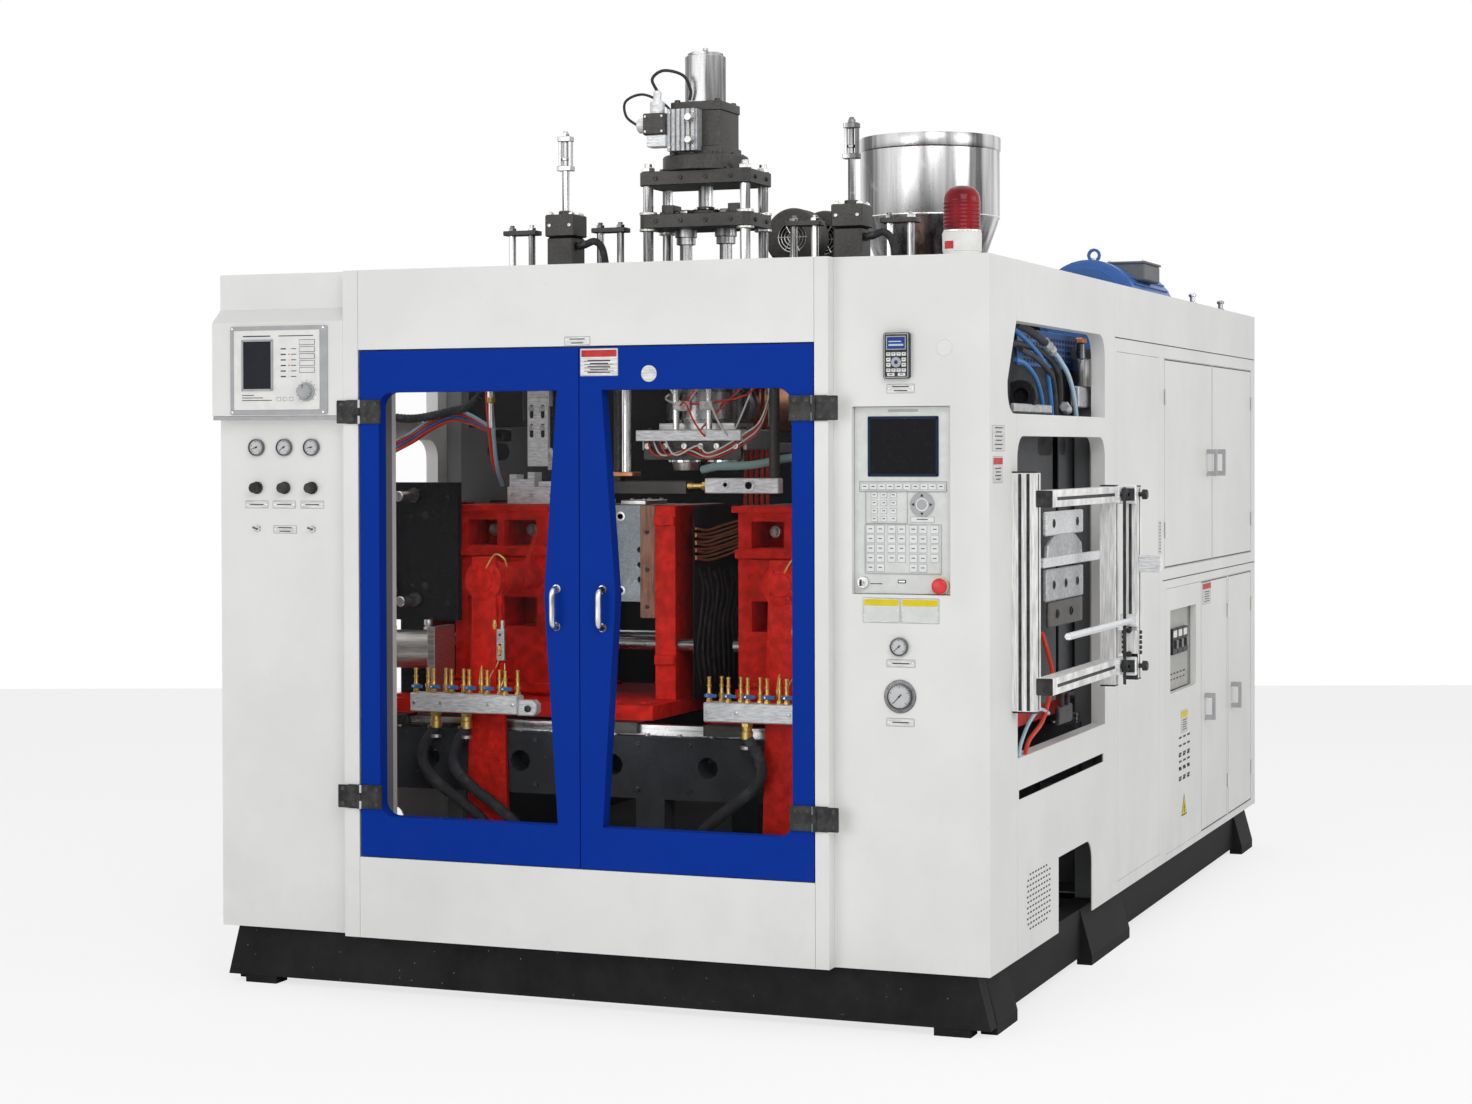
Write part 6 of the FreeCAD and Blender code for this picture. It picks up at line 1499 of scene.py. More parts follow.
def mould_parts(n, x):
    """Neck inserts, water plugs and guide bushes of the mould halves, and bolts of the plates behind."""
    left = Form((x, 0, 0))
    for z in (860, 950, 1030):
        left.paint("brass").turned(((9, 0), (9, 3), (5, 3.4), (5, 1)), (42, 690, z), 20, FRONT)
    left.paint("steel").plate(76, 150, 4, 0, 12, (78, 800, 1071), 1.5)
    screws(left, [(78 + a, 800 + b, 1083) for a in (-26, 10) for b in (-60, 60)], TOP, 5)
    left.build("mould_fittings_%da" % n, "steel", body=rider("mould_half_%da" % n))
    right = Form((x, 0, 0)).paint("steel")
    right.plate(76, 150, 4, 0, 12, (232, 800, 1071), 1.5)
    screws(right, [(232 + a, 800 + b, 1083) for a in (-10, 26) for b in (-60, 60)], TOP, 5)
    for z in (840, 1040):
        right.turned(((13, 0), (13, 1.5), (8, 2), (8, -4)), (210, 690, z), 24, FRONT)
    right.build("mould_fittings_%db" % n, "steel", body=rider("mould_half_%db" % n))
    back = Form((x, 0, 0))
    screws(back, [(309, 640, z) for z in (800, 900, 1000)], FRONT, 6, "black_steel", 4)
    back.paint("red")
    for z in (660, 1030):
        back.block((331, 390), (630, 641), (z - 14, z + 14), 3)
    back.build("plate_fittings_%d" % n, "red_paint", body=rider("back_platens_%d" % n))


def manifolds():
    """Makes the cooling manifolds."""
    for i, (x, hoses) in enumerate(zip(STATIONS, ((-175, -85), (-130,)))):
        form = Form((x, 0, 0)).paint("aluminium")
        form.block((-240, 71), (330, 375), (532, 581), 2.5)
        form.slab(((-30, -20), (16, -20), (25, -11), (25, 10), (14, 20), (-30, 20)), 0, 33, (96, 375, 549), 3,
            FRONT)
        form.block((-71, -11), (375, 382), (532, 581), 1)
        screws(form, [(98, 342, 548)], FRONT, 9, "black_steel", 6)
        screws(form, [(u, 330, 556) for u in (-228, -150, -10, 60)], FRONT, 5, "steel", 3)
        for k in range(12):
            vx, y = -228 + k * 26.09, 352.5 + (10 if k % 2 else -10)
            at = (vx, y, 0)
            form.paint("brass").hexagon((vx, y, 580.5), TOP, 8.5, 8)
            form.turned(((6.5, 588), (6.5, 594), (8.5, 595), (8.5, 603), (6, 604), (4.8, 606), (4.8, 620),
                (6.2, 621), (6.2, 625), (4.4, 626), (4.4, 640), (5.4, 641), (5.4, 645), (3.4, 646)), at, 16)
            if k % 2 == 0:
                form.paint("blue_hose").plate(34, 9, 3.5, 0, 5, (vx + 8, 333, 598), 1.2, FRONT)
                form.plate(13, 12, 3, -6, 6, (vx, 341, 598), 1.5, FRONT)
                form.paint("chrome").turned(((3, 4), (3, 8), (2, 9)), (vx, 333, 598), 12, FRONT)
        for hx in hoses:
            top = np.array((hx, 352.5, 532))
            form.paint("brass").hexagon(top, UNDER, 16, 12)
            form.turned(((13, 11), (13, 22), (15.5, 24), (15.5, 42), (13, 44)), top, 24, UNDER)
            form.paint("steel").turned(((14.6, 60), (15.4, 61), (15.4, 68), (14.6, 69)), top, 28, UNDER, OPEN)
            form.paint("rubber")
            route = np.array(((0, 0, -38), (-10, 0, -56), (-30, -2, -84), (-40, -2, -122), (-24, 0, -162),
                (22, 3, -202), (80, 10, -244), (138, 22, -300), (172, 28, -390), (176, 28, -500)), float)
            path = smooth_path(top + route * (1 - 2 * i, 1, 1), 70)
            ripple = 1 + 0.02 * np.cos(np.arange(70) * pi)
            form.skin(carried(path, ring(15, 18), ripple))
        node = "valve_manifold_%d" % (i + 1)
        form.build("manifold_%d" % (i + 1), "aluminium", node, body=rider(node))


def room_parts():
    """Makes the moulding room parts."""
    form = Form()
    for x in STATIONS:
        form.origin = (x, 0, 0)
        form.paint("aluminium").plate(62, 190, 2, 0, 16, (-70, 776, 1270), 1.2, FRONT)
        form.plate(66, 150, 2, 0, 26, (-70, 790, 1415), 1.2, FRONT)
        form.paint("steel").slab(((0, 0), (70, 0), (70, 14), (22, 14), (0, 60)), 0, 30, (-40, 790, 1165), 1.5,
            FRONT)
        form.paint("black_steel")
        for u in (-88, -54):
            for z in (1334, 1281):
                form.plate(11, 38, 5.4, 0, 0.8, (u, 760, z - 8), 0.3, FRONT)
        screws(form, [(u, 760, z) for u in (-88, -54) for z in (1334, 1281)], FRONT, 8, "steel", 6)
        form.paint("black_steel").block((-150, -105), (830, 880), (1300, 1489.5), 3)
        form.block((-38, 38), (790, 839), (1366, 1384), 2)
        form.paint("chrome").turned(((7, 1282), (7, 1350), (10, 1352), (10, 1384), (6, 1386), (6, 1489)),
            (-232, 800, 0), 20)
        form.paint("brass").hexagon((-232, 800, 1352), TOP, 13, 16)
    form.build("pin_brackets", "steel")
    bundles()
    nozzle_parts()


def bundles():
    """Red, blue and pale tubes in an arch, and thick black cables with a spiral wrap."""
    form = Form()
    for k in range(12):
        form.paint(("red_hose", "blue_hose", "red_hose", "pale_hose")[k % 4])
        up, back = 9 * (k % 4), 8 * (k // 4)
        form.tube([(6, 900 + back, 1214 + up), (70, 900 + back, 1244 + up), (128, 900 + back, 1278 + up),
            (195, 900 + back, 1304 + up), (245, 900 + back, 1300 + up * 0.9),
            (300, 902 + back, 1280 + up * 0.6), (348, 906 + back, 1256 + up * 0.4)], 3.6, 10)
    form.paint("black").block((344, 372), (888, 940), (1244, 1280), 3)
    for k, y in enumerate((1140, 1120)):
        form.paint("red_hose" if k == 0 else "pale_hose").tube([(331 + k * 12, 860, 1489),
            (334 + k * 12, 858, 1400), (338 + k * 12, 862, 1300), (344 + k * 9, 880, 1180), (352, 920, y)], 6,
            12)
    wrap = smooth_path([(3, 880, 1316), (97, 880, 1311), (200, 880, 1329), (276, 880, 1350), (330, 884, 1420),
        (346, 890, 1489)], 160)
    form.paint("rubber").skin(carried(wrap, ring(12, 14), 1 + 0.09 * np.cos(np.arange(160) * pi / 2)))
    form.paint("rubber")
    for k in range(7):
        form.tube([(870 + k * 30, 1160, 500), (874 + k * 30, 1080, 700 + k * 14),
            (900 + k * 34, 1040, 850 + k * 10), (990 + k * 40, 1080, 905 + k * 6), (1080 + k * 42, 1150, 860),
            (1130 + k * 40, 1190, 700), (1140 + k * 40, 1200, 500)], 9, 12)
    form.paint("red_hose")
    for k in range(5):
        form.tube([(1056 + k * 16, 1030, 1489), (1054 + k * 16, 1020, 1200), (1052 + k * 18, 1034, 980),
            (1080 + k * 26, 1100, 800), (1110 + k * 22, 1160, 620), (1120 + k * 20, 1170, 500)], 5.2, 10)
    form.build("hose_bundles", "black_plastic")


def nozzle_parts():
    """Columns, light plate, bolted block and bored water block under the die head."""
    form = Form().paint("chrome")
    for x in (981, 1076):
        form.turned(((9, 1274), (9, 1489)), (x, 690, 0), 24)
    form.turned(((13, 1158), (13, 1489)), (836, 690, 0), 28)
    form.paint("aluminium").block((869, 1171), (676, 707), (1243, 1272), 1.5)
    form.paint("black_steel").block((884, 1166), (694, 709.5), (1192, 1243), 1.5)
    screws(form, [(x, 694, 1229) for x in (897, 949, 1004, 1051, 1097, 1151)], FRONT, 8.5, "steel", 6)
    form.paint("copper").plate(74, 60, 3, 1149, 1160, (829, 690, 0), 1)
    form.paint("black_steel").block((782, 1000), (716, 760), (1100, 1136), 2)
    form.turned(((17, 1100), (17, 1489)), (794, 740, 0), 24)
    form.paint("aluminium").block((1082, 1289), (642, 680), (1104, 1144), 2)
    form.turned(((17, 0), (17, 3), (10, 3.4), (10, -2)), (1207, 642, 1125), 28, FRONT)
    form.turned(((11, 0), (11, 3), (6, 3.4), (6, -2)), (1141, 642, 1127), 24, FRONT)
    form.paint("black_steel").turned(((14, 1143), (14, 1489)), (1272, 661, 0), 24)
    form.paint("brass").hexagon((1082, 661, 1123), LEFT, 12, 14)
    form.turned(((7, 13), (7, 40), (9, 41), (9, 54), (6, 56)), (1082, 661, 1123), 20, LEFT)
    form.build("nozzle_blocks", "steel")


def take_out():
    """Makes the take-out frame."""
    rod = both(inside(y=(229, 869), z=(764, 786)), lambda p: p[:, 0] > 0)
    ends = either(inside(y=(859.5, 880.5), z=(640, 676)), inside(y=(859.5, 880.5), z=(1083, 1119)))
    rounded_copy("take_out_frame", "take_out", "aluminium", 1.6, "extrusion",
        ("steel", inside(y=(868, 882), z=(680, 760))), ("aluminium", rod), ("black", ends))
    form = Form((WIDTH, 0, 0)).paint("legend")
    for x, y, low, high, face in ((20, 190, 600, 1160, FRONT), (40, 190, 600, 1160, FRONT),
            (125, 820, 614, 1120, FRONT), (126, 880, 628, 1118, FRONT), (60, 210, 600, 1160, RIGHT),
            (100, 840, 614, 1120, RIGHT), (146, 900, 626, 1118, RIGHT)):
        form.plate(8, high - low, 1, -0.5, 0.35, (x, y, (low + high) / 2), 0.1, face)
    for z in (658, 1101):
        form.plate(586, 8, 1, -0.5, 0.35, (100, 525, z), 0.1, RIGHT)
    form.paint("black")
    for x, y, low, high, width in ((30, 210, 598, 1162, 60), (80, 840, 612, 1122, 40),
            (126, 900, 626, 1120, 40)):
        form.plate(width, 40, 3, 0, 4, (x, y, high), 1.2)
        form.plate(width, 40, 3, 0, 4, (x, y, low), 1.2, UNDER)
    for z in (658, 1101):
        form.plate(40, 40, 3, 0, 4, (80, 190, z), 1.2, FRONT)
        form.paint("aluminium").block((62, 145), (861, 880), (z - 24, z + 24), 2.5)
        form.block((98, 108), (834, 862), (z - 22, z + 22), 2)
        form.paint("black")
        for x, y, lift in ((104, 850, 2), (146, 892, 0)):
            form.turned(((6, 0), (6, 8 + lift), (13, 10 + lift), (13, 20 + lift), (11, 23 + lift)), (x, y, z),
                28, RIGHT)
        form.plate(34, 9, 4, 18, 25, (104, 850, z), 1, RIGHT)
    form.paint("steel")
    for z in (658, 1101):
        screws(form, [(x, 248, z + s) for x, s in ((76, -8), (76, 8), (20, 0))], FRONT, 4.4)
    form.paint("black")
    for z in (690, 750):
        form.turned(((7, 0), (7, 8), (5, 10)), (126, 868, z), 20, FRONT)
    form.paint("aluminium").block((146, 204), (886, 902), (900, 944), 2)
    form.block((104, 148), (862, 882), (760, 792), 2)
    form.paint("black_steel")
    for z in np.arange(694, 748, 13):
        form.turned(((5, 0), (5, 5), (3.6, 6)), (152, 874, z), 16, RIGHT)
        form.turned(((5, 0), (5, 5), (3.6, 6)), (112, 868, z), 16, FRONT)
    form.build("take_out_fittings", "aluminium")
    arm = Form().paint("aluminium")
    arm.block((2030, 2041), (532, 905), (1002, 1062), 4)
    arm.block((2033, 2043), (495, 1100), (924, 948), 1.5)
    arm.paint("cast_aluminium").slab(((-180, -30), (180, -30), (170, 4), (110, 26), (40, 34), (-40, 34),
        (-110, 26), (-170, 4)), 0, 11, (2030, 718, 974), 3, RIGHT)
    arm.block((2030, 2041), (532, 905), (838, 918), 3)
    arm.paint("plate").block((2030, 2040), (560, 900), (772, 836), 3)
    arm.paint("black_steel")
    for y, z in ((600, 878), (720, 878), (840, 878), (640, 804), (780, 804), (600, 1032), (840, 1032)):
        arm.turned(((11, 0), (11, 2), (7, 2.4), (7, 0)), (2041, y, z), 20, RIGHT)
    arm.paint("red_hose").tube([(2037, 500, 763), (2037, 557, 707), (2037, 598, 652), (2037, 556, 586),
        (2037, 489, 541), (2037, 372, 510), (2037, 330, 470)], 5.5, 12)
    arm.paint("pale_hose").tube([(2037, 284, 480), (2037, 300, 510), (2037, 372, 552), (2037, 470, 577),
        (2037, 560, 560)], 4.5, 10)
    arm.paint("black").block((2030, 2041), (650, 790), (520, 566), 4)
    arm.turned(((6, 0), (6, 40), (4, 46)), (2037, 690, 566), 20)
    arm.turned(((6, 0), (6, 24), (4, 28)), (2037, 750, 566), 20)
    arm.build("take_out_arm", "aluminium")


# ---------------------------------------------------------------- walls, roof and bed
def walls():
    """Makes the walls and roof."""
    perforations()
    wall_plates()
    roof_and_breakers()
    window_parts()
    cover_panels()


def cover_panels():
    """Outlines and corner screws of the panels bolted on the back and on the left side."""
    form = Form()
    low, high = (24, 801), (870, 1481)
    left = [(-b, -a) for a, b in ((1873, 2574), (2584, 3238), (1898, 2395), (2405, 2818), (2842, 3238))]
    back = [(-b, -a) for a, b in ((40, 680), (690, 1355), (1365, 2005))]
    panels = [(LEFT, (0, 0, 0), x, high) for x in left[:2]] + [(LEFT, (0, 0, 0), x, low) for x in left[2:]]
    panels += [(BACK, (0, DEPTH, 0), x, z) for x in back for z in (low, high)]
    for face, at, x, z in panels:
        border(form, "unit_frame", x, z, 2.4, (0, 0.5), 6, at, face)
        corners = [np.asarray(at) + face[0] * u + face[1] * w
            for u in (x[0] + 16, (x[0] + x[1]) / 2, x[1] - 16) for w in (z[0] + 16, z[1] - 16)]
        screws(form, corners, face, 4.5, "steel", 1.6)
    for x in back:
        for k in range(9):
            middle = (x[0] + x[1]) / 2
            field(form, "legend", (middle - 120, middle + 120), (1392 - k * 16, 1397 - k * 16), (0, 0.4), 2,
                (0, DEPTH, 0), BACK, 0.05)
    form.build("cover_panels", "white_paint")


def perforations():
    """Offset rows of slots low on both side walls, and louvres on the breaker door."""
    holes = Form().paint("legend")
    for face, x in ((RIGHT, WIDTH), (LEFT, 0)):
        for row in range(11):
            for column in range(9):
                place = (x, 330 + column * 25.5 + (row % 2) * 6, 56 + row * 13.2)
                if row not in (0, 10) or column not in (0, 8):
                    holes.slab(rounded(15, 4.6, 2.2, 2), 0.05, 0.4, place, 0.1, face)
    for y in (2092, 2152, 2212):
        for z in np.arange(226, 350, 24):
            holes.slab(rounded(38, 6, 2.8, 2), 0.05, 0.4, (WIDTH, y, z), 0.1, RIGHT)
    holes.build("perforations", "white_paint")


def wall_plates():
    """Label plates of the right side, with the yellow triangle and its flash."""
    plates = Form()
    side = (WIDTH, 0, 0)
    for y, z, width, height, header in ((76, 1244, 108, 58, None), (70, 1171, 82, 60, "red_field"),
            (2490, 764, 130, 66, "red_field"), (2150, 392, 96, 64, "yellow"), (1808, 960, 30, 92, None)):
        label(plates, y, z, width, height, side, RIGHT, False, header)
    for radius, finish, out in ((44, "legend", 0.5), (36, "yellow", 0.8)):
        plates.paint(finish).slab(ring(radius, 3, pi / 2), 0.1, out, (WIDTH, 2146, 128), 0.1, RIGHT)
    plates.paint("legend")
    flash = np.array(((-4, -14), (5, -14), (1, 0), (8, 0), (-2, 20), (-1, 5), (-8, 5)), float)
    plates.slab(flash, 0.7, 1.1, (WIDTH, 2146, 128), 0.05, RIGHT)
    for ends, z in (((1246, 3306), 1523), ((1850, 3306), 831)):
        mark(plates, ends, (z - 1.5, z + 1.5), (0, 0.35), side, RIGHT, radius=0.6)
    plates.build("wall_plates", "aluminium")


def roof_and_breakers():
    """Roof fittings, and the breakers' cover plate with its black toggles and marks."""
    roof = Form((WIDTH, 0, 0))
    for y in (2470, 2920):
        roof.paint("cap").turned(((12, 0), (12, 10), (8, 12), (8, 26), (12, 28), (12, 34), (7, 38)),
            (-40, y, 1670), 24)
        roof.paint("blue").plate(38, 22, 4, 0, 12, (-74, y + 16, 1670), 2)
    roof.build("roof_fittings", "blue_paint")
    cover = Form((WIDTH, 0, 0)).paint("unit_plate")
    cover.block((-25.6, -23), (1953, 2325), (491, 737), 0.5)
    cover.paint("legend").block((-23.2, -22.8), (2312, 2317), (494, 734), 0.1)
    for k in range(6):
        cover.block((-23.2, -22.8), (2010 + k * 46, 2038 + k * 46), (536, 541), 0.1)
        cover.block((-23.2, -22.8), (2006 + k * 46, 2034 + k * 46), (520, 524), 0.1)
    for k in range(3):
        y = 2046 + k * 72.67
        cover.paint("black").block((-23.5, -12), (y, y + 66), (598, 676), 1.5)
        cover.paint("white").block((-12.3, -11.4), (y + 8, y + 58), (650, 670), 0.3)
        cover.paint("rim").block((-12.3, -4), (y + 24, y + 44), (616, 642), 1.5)
    cover.build("breaker_cover", "grey_plastic")


def window_parts():
    """What the upper side window shows: hoses and tubes, blue grille, canister, roller and bar, with a dark
    sheet of painted shade behind the grille.
    """
    trim = Form().paint("blue")
    trim.block((1938, 1942), (620, 1230), (1432, 1526), 0.8)
    # Dark sheet behind the grille and hoses: painted shade of the room behind.
    trim.paint("legend").block((1930, 1937), (400, 1230), (1290, 1526), 0.8)
    for y in np.arange(690, 1220, 30):
        for z in np.arange(1446, 1520, 15):
            trim.slab(rounded(20, 9, 1, 1), 0.02, 0.4, (1942, y, z), 0.05, RIGHT)
    trim.paint("speckle").turned(((38, 0), (40, 2), (40, 26), (38, 28), (22, 28), (20, 26), (20, 6)),
        (1962, 600, 1352), 40, FRONT)
    trim.paint("canister").turned(((27, 1386), (28, 1388), (28, 1456), (26, 1460), (12, 1462), (12, 1500),
        (9, 1504)), (1984, 1110, 0), 32)
    trim.paint("copper").hexagon((1984, 1110, 1503), TOP, 16, 14)
    trim.paint("cast_aluminium").block((1982, 1995), (404, 763), (1309, 1331), 3)
    trim.block((1972, 1996), (1040, 1180), (1330, 1386), 3)
    for finish, radius, x, route in (
            ("rubber", 10, 1992, ((431, 1527), (564, 1512), (703, 1489))),
            ("pale_hose", 6.5, 1992, ((800, 1466), (847, 1452), (940, 1413), (996, 1363), (1025, 1307),
                (1030, 1280))),
            ("rubber", 9, 1974, ((440, 1480), (628, 1477), (785, 1460), (894, 1426), (922, 1380),
                (922, 1334), (920, 1290))),
            ("rubber", 7, 1988, ((480, 1466), (642, 1446), (765, 1413), (810, 1378), (830, 1290))),
            ("blue_hose", 6.5, 1982, ((440, 1516), (609, 1478), (731, 1437), (784, 1379), (811, 1290))),
            ("blue_hose", 6, 1978, ((470, 1440), (560, 1432), (660, 1400), (720, 1350), (740, 1290)))):
        trim.paint(finish).tube([(x, y, z) for y, z in route], radius, 12)
    for y, z in ((700, 1490), (742, 1480), (900, 1330)):
        hose_end(trim, (1992, y, z), (0, 1, -0.3), 12, "cast_aluminium")
    trim.paint("hammered").block((1937, 1941), (1040, 1236), (560, 1290), 0.8)
    trim.paint("legend").plate(70, 46, 20, 0.02, 0.4, (1941, 1078, 1226), 0.1, RIGHT)
    trim.paint("enclosure").block((2000.4, 2003), (1140, 1200), (600, 1290), 0.6)
    trim.build("upper_window_parts", "blue_paint")


def base_bolts():
    """Makes the bed bolts."""
    form = Form()
    screws(form, [(x, 400, z) for x in np.arange(120, 1960, 145) for z in (345, 462)], FRONT, 7,
        "black_steel", 5)
    form.paint("steel")
    for x in np.arange(110, 1960, 90):
        for y in (418, 452, 1098, 1132):
            form.turned(((6, 0), (6, 6), (4, 7)), (x, y, 481), 10)
    form.build("bed_bolts", "steel")


# ---------------------------------------------------------------- stage
YAW = radians(21.210)
EYE = CORNER + np.array((3761.25, -6033.02, 1216.75)) * 0.001
FLOOR_FAR = 15.67       # from under the camera to the floor's far edge
FLOOR_SHARE = 0.72      # share of the floor's tone that the camera sees unshaded
FLOOR_GLOW = 1.03
DOME = 0.42
# Name, place in metres, size and power of each lamp.
LAMPS = (
    ("key", (3.2, -6, 4.4), (3.6, 3), 120),
    ("front", (-2.4, -7.4, 1.9), (4, 3), 85),
    ("side", (6.5, -0.5, 2.6), (4, 2.5), 75),
    ("top", (0, 0.5, 7.5), (6, 6), 95),
)


def stage():
    """Makes the stage."""
    bpy.context.scene.view_settings.view_transform = "Standard"
    floor()
    world()
    lights()
    camera()


def floor():
    """Level quad square to the view, whose far edge gives the faint horizon; it keeps the shadow."""
    ahead = np.array((-sin(YAW), cos(YAW), 0))
    aside = np.array((cos(YAW), sin(YAW), 0))
    under = np.array((EYE[0], EYE[1], 0))
    corners = [under + ahead * a + aside * b for a, b in ((0.5, -14), (0.5, 14), (FLOOR_FAR, 14),
        (FLOOR_FAR, -14))]
    mesh = bpy.data.meshes.new("floor")
    mesh.from_pydata([tuple(c) for c in corners], [], [(0, 1, 2, 3)])
    s = Shade("Floor paper")
    cloud = s.noise(0.7, 3, 0.5)
    finish = s.end(s.mix(cloud, (0.88, 0.88, 0.88), (0.92, 0.92, 0.92)), 0.9 + 0.05 * cloud)
    glow = s.node("ShaderNodeEmission", {}, Color=(1, 1, 1), Strength=FLOOR_GLOW)
    seen = Value(s, s.node("ShaderNodeLightPath").outputs["Is Camera Ray"])
    mix = s.node("ShaderNodeMixShader", {}, s0=seen * FLOOR_SHARE, s1=Value(s, s.shader.outputs[0]),
        s2=Value(s, glow.outputs[0]))
    s.feed(s.tree.nodes["Material Output"].inputs["Surface"], Value(s, mix.outputs[0]))
    mesh.materials.append(finish)
    floor = bpy.data.objects.new("floor", mesh)
    bpy.context.scene.collection.objects.link(floor)


def world():
    """White where the camera, mirrors and glass see it, and a soft grey dome as light."""
    world = bpy.data.worlds.new("Studio")
    world.use_nodes = True
    bpy.context.scene.world = world
    tree = world.node_tree
    path = tree.nodes.new("ShaderNodeLightPath")
    seen = path.outputs["Is Camera Ray"]
    for name in ("Is Glossy Ray", "Is Transmission Ray"):
        either_ray = tree.nodes.new("ShaderNodeMath")
        either_ray.operation = "MAXIMUM"
        tree.links.new(seen, either_ray.inputs[0])
        tree.links.new(path.outputs[name], either_ray.inputs[1])
        seen = either_ray.outputs[0]
    light = tree.nodes["Background"]
    light.inputs["Color"].default_value = (1, 1, 1, 1)
    light.inputs["Strength"].default_value = DOME
    white = tree.nodes.new("ShaderNodeBackground")
    white.inputs["Color"].default_value = (1, 1, 1, 1)
    white.inputs["Strength"].default_value = 1
    mix = tree.nodes.new("ShaderNodeMixShader")
    tree.links.new(seen, mix.inputs[0])
    tree.links.new(light.outputs[0], mix.inputs[1])
    tree.links.new(white.outputs[0], mix.inputs[2])
    tree.links.new(mix.outputs[0], tree.nodes["World Output"].inputs["Surface"])


def lights():
    """Large soft lamps aimed at the middle of the machine."""
    for name, place, size, power in LAMPS:
        lamp = bpy.data.lights.new(name, "AREA")
        lamp.shape = "RECTANGLE"
        lamp.size, lamp.size_y = size
        lamp.energy = power
        holder = bpy.data.objects.new(name, lamp)
        aim = Vector((0, 0, 0.9)) - Vector(place)
        holder.matrix_world = Matrix.Translation(place) @ aim.to_track_quat("-Z", "Y").to_matrix().to_4x4()
        bpy.context.scene.collection.objects.link(holder)


def camera():
    """Camera at the photograph's angle: turned left, a little down, with a small roll and shift."""
    camera = bpy.data.cameras.new("Camera")
    camera.lens = 66.45
    camera.sensor_width = 36
    camera.sensor_fit = "HORIZONTAL"
    camera.shift_y = -0.0471
    camera.clip_end = 200
    pitch, roll = radians(-0.676), radians(-0.1508)
    turn = Matrix.Rotation(YAW, 4, "Z") @ Matrix.Rotation(pi / 2 + pitch, 4, "X")
    holder = bpy.data.objects.new("Camera", camera)
    holder.matrix_world = Matrix.Translation(EYE) @ turn @ Matrix.Rotation(roll, 4, "Z")
    bpy.context.scene.collection.objects.link(holder)
    bpy.context.scene.camera = holder


# ---------------------------------------------------------------- add-on
class BLOW_OT_finishes(Operator):
    """Makes the finishes and gives them to the carried-over nodes, with rounded copies of the main forms"""
    bl_idname = "blow.finishes"
    bl_label = "Finishes"

    def execute(self, context):
        finishes()
        return {"FINISHED"}


class BLOW_OT_gauges(Operator):
    """Adds the dial gauges with their label plates"""
    bl_idname = "blow.gauges"
    bl_label = "Dial gauges"

    def execute(self, context):
        gauges()
        return {"FINISHED"}


class BLOW_OT_knobs(Operator):
    """Adds regulator knobs, toggle switches with their collars, and the collars of the key switch and
    emergency button
    """
    bl_idname = "blow.knobs"
    bl_label = "Knobs and switches"

    def execute(self, context):
        knobs()
        return {"FINISHED"}


class BLOW_OT_controller(Operator):
    """Adds the parison controller with its display and keys, and its jog knob"""
    bl_idname = "blow.controller"
    bl_label = "Parison controller"

    def execute(self, context):
        controller()
        return {"FINISHED"}


class BLOW_OT_panel(Operator):
    """Adds the operator panel: screen, key groups, navigation ring, socket and its emergency button"""
    bl_idname = "blow.panel"
    bl_label = "Operator panel"

    def execute(self, context):
        panel()
        return {"FINISHED"}


class BLOW_OT_keypad(Operator):
    """Adds the screw drive's keypad with its blue display, and the blanking plug beside it"""
    bl_idname = "blow.keypad"
    bl_label = "Drive keypad"

    def execute(self, context):
        keypad()
        return {"FINISHED"}


class BLOW_OT_door_fittings(Operator):
    """Adds the bow handles, hinges and plates of the front doors, and rounds the rear doors and adds their
    edge lines and handle feet
    """
    bl_idname = "blow.door_fittings"
    bl_label = "Door fittings"

    def execute(self, context):
        door_fittings()
        return {"FINISHED"}


class BLOW_OT_head_columns(Operator):
    """Adds the head's columns, top plate and moving crosshead"""
    bl_idname = "blow.head_columns"
    bl_label = "Head columns and crosshead"

    def execute(self, context):
        head_columns()
        return {"FINISHED"}


class BLOW_OT_parison_cylinder(Operator):
    """Adds the parison cylinder with its eight-sided cap, and the servo valve with its cable"""
    bl_idname = "blow.parison_cylinder"
    bl_label = "Parison cylinder and servo valve"

    def execute(self, context):
        parison_cylinder()
        return {"FINISHED"}


class BLOW_OT_die_head(Operator):
    """Adds the rounded die head with its band heaters, connectors, bolts and heater wires"""
    bl_idname = "blow.die_head"
    bl_label = "Die head"

    def execute(self, context):
        die_head()
        return {"FINISHED"}


class BLOW_OT_hopper(Operator):
    """Adds the stainless hopper with its rolled rim band and bolted flange"""
    bl_idname = "blow.hopper"
    bl_label = "Hopper"

    def execute(self, context):
        hopper()
        return {"FINISHED"}


class BLOW_OT_drive(Operator):
    """Adds the gearbox and the finned blue motor with its terminal box and lifting eye"""
    bl_idname = "blow.drive"
    bl_label = "Extruder drive"

    def execute(self, context):
        drive()
        return {"FINISHED"}


class BLOW_OT_blowers(Operator):
    """Adds the ribbed cooling blowers with their inlet grilles and ducts"""
    bl_idname = "blow.blowers"
    bl_label = "Cooling blowers"

    def execute(self, context):
        blowers()
        return {"FINISHED"}


class BLOW_OT_beacon(Operator):
    """Adds the warning beacon: white base with its band and a ribbed red lens"""
    bl_idname = "blow.beacon"
    bl_label = "Beacon"

    def execute(self, context):
        beacon()
        return {"FINISHED"}


class BLOW_OT_blow_units(Operator):
    """Adds both blow cylinders with guide posts, fittings and hoses, and their piston rods"""
    bl_idname = "blow.blow_units"
    bl_label = "Blow units"

    def execute(self, context):
        blow_units()
        return {"FINISHED"}


class BLOW_OT_stations(Operator):
    """Rounds and paints the carriages, platens and mould halves of both stations, and adds their bolts"""
    bl_idname = "blow.stations"
    bl_label = "Mould stations"

    def execute(self, context):
        stations()
        return {"FINISHED"}


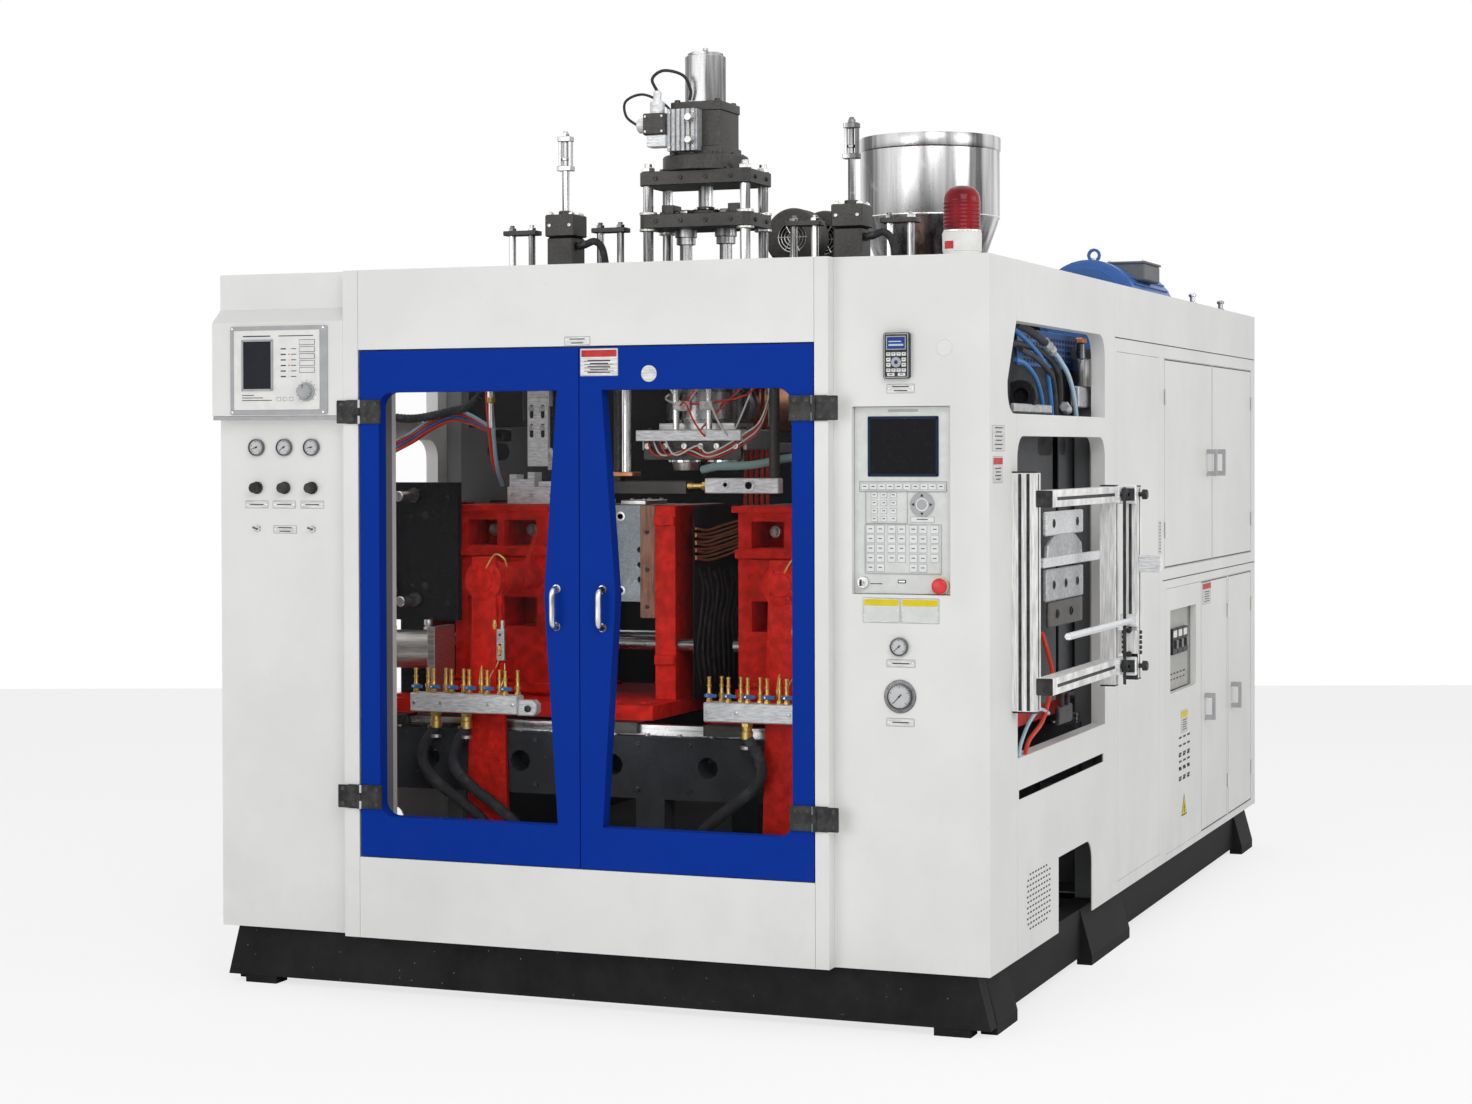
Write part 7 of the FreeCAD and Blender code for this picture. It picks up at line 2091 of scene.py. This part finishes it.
class BLOW_OT_manifolds(Operator):
    """Adds the cooling manifolds: aluminium bar, brass nipples with blue valves, elbows and black hoses"""
    bl_idname = "blow.manifolds"
    bl_label = "Cooling manifolds"

    def execute(self, context):
        manifolds()
        return {"FINISHED"}


class BLOW_OT_room_parts(Operator):
    """Adds what hangs in the moulding room: blow-pin brackets, tube bundles, cables and the light plates"""
    bl_idname = "blow.room_parts"
    bl_label = "Moulding room parts"

    def execute(self, context):
        room_parts()
        return {"FINISHED"}


class BLOW_OT_take_out(Operator):
    """Adds T-slots, end caps, clamp knobs, bar clamps and grippers to the take-out frame"""
    bl_idname = "blow.take_out"
    bl_label = "Take-out frame"

    def execute(self, context):
        take_out()
        return {"FINISHED"}


class BLOW_OT_walls(Operator):
    """Adds perforations, louvres, plates and bolts of the walls, roof fittings and the breakers' toggles"""
    bl_idname = "blow.walls"
    bl_label = "Walls and roof"

    def execute(self, context):
        walls()
        return {"FINISHED"}


class BLOW_OT_base_bolts(Operator):
    """Adds socket heads to the machine bed's front and to its rails"""
    bl_idname = "blow.base_bolts"
    bl_label = "Bed bolts"

    def execute(self, context):
        base_bolts()
        return {"FINISHED"}


class BLOW_OT_stage(Operator):
    """Sets the pale floor, background, soft studio lights and the camera"""
    bl_idname = "blow.stage"
    bl_label = "Stage"

    def execute(self, context):
        stage()
        return {"FINISHED"}


PIECES = (BLOW_OT_finishes, BLOW_OT_gauges, BLOW_OT_knobs, BLOW_OT_controller, BLOW_OT_panel, BLOW_OT_keypad,
    BLOW_OT_door_fittings, BLOW_OT_head_columns, BLOW_OT_parison_cylinder, BLOW_OT_die_head, BLOW_OT_hopper,
    BLOW_OT_drive, BLOW_OT_blowers, BLOW_OT_beacon, BLOW_OT_blow_units, BLOW_OT_stations, BLOW_OT_manifolds,
    BLOW_OT_room_parts, BLOW_OT_take_out, BLOW_OT_walls, BLOW_OT_base_bolts, BLOW_OT_stage)


class BLOW_PT_machine(Panel):
    """Lists the pieces of the machine and their settings"""
    bl_idname = "BLOW_PT_machine"
    bl_label = "Blow moulding machine"
    bl_space_type = "VIEW_3D"
    bl_region_type = "UI"
    bl_category = "Machine"

    def draw(self, context):
        for settings in (context.scene.blow_paints, context.scene.blow_sizes):
            box = self.layout.box()
            for key in settings.__annotations__:
                box.prop(settings, key)
        for piece in PIECES:
            self.layout.operator(piece.bl_idname)


def register():
    """Adds the settings, operators and panel."""
    for part in (BlowPaints, BlowSizes, *PIECES, BLOW_PT_machine):
        bpy.utils.register_class(part)
    bpy.types.Scene.blow_paints = PointerProperty(type=BlowPaints)
    bpy.types.Scene.blow_sizes = PointerProperty(type=BlowSizes)


def unregister():
    """Removes what register added."""
    del bpy.types.Scene.blow_sizes
    del bpy.types.Scene.blow_paints
    for part in (BLOW_PT_machine, *reversed(PIECES), BlowSizes, BlowPaints):
        bpy.utils.unregister_class(part)


def main():
    register()
    for piece in PIECES:
        group, name = piece.bl_idname.split(".")
        getattr(getattr(bpy.ops, group), name)()


if __name__ == "__main__":
    main()
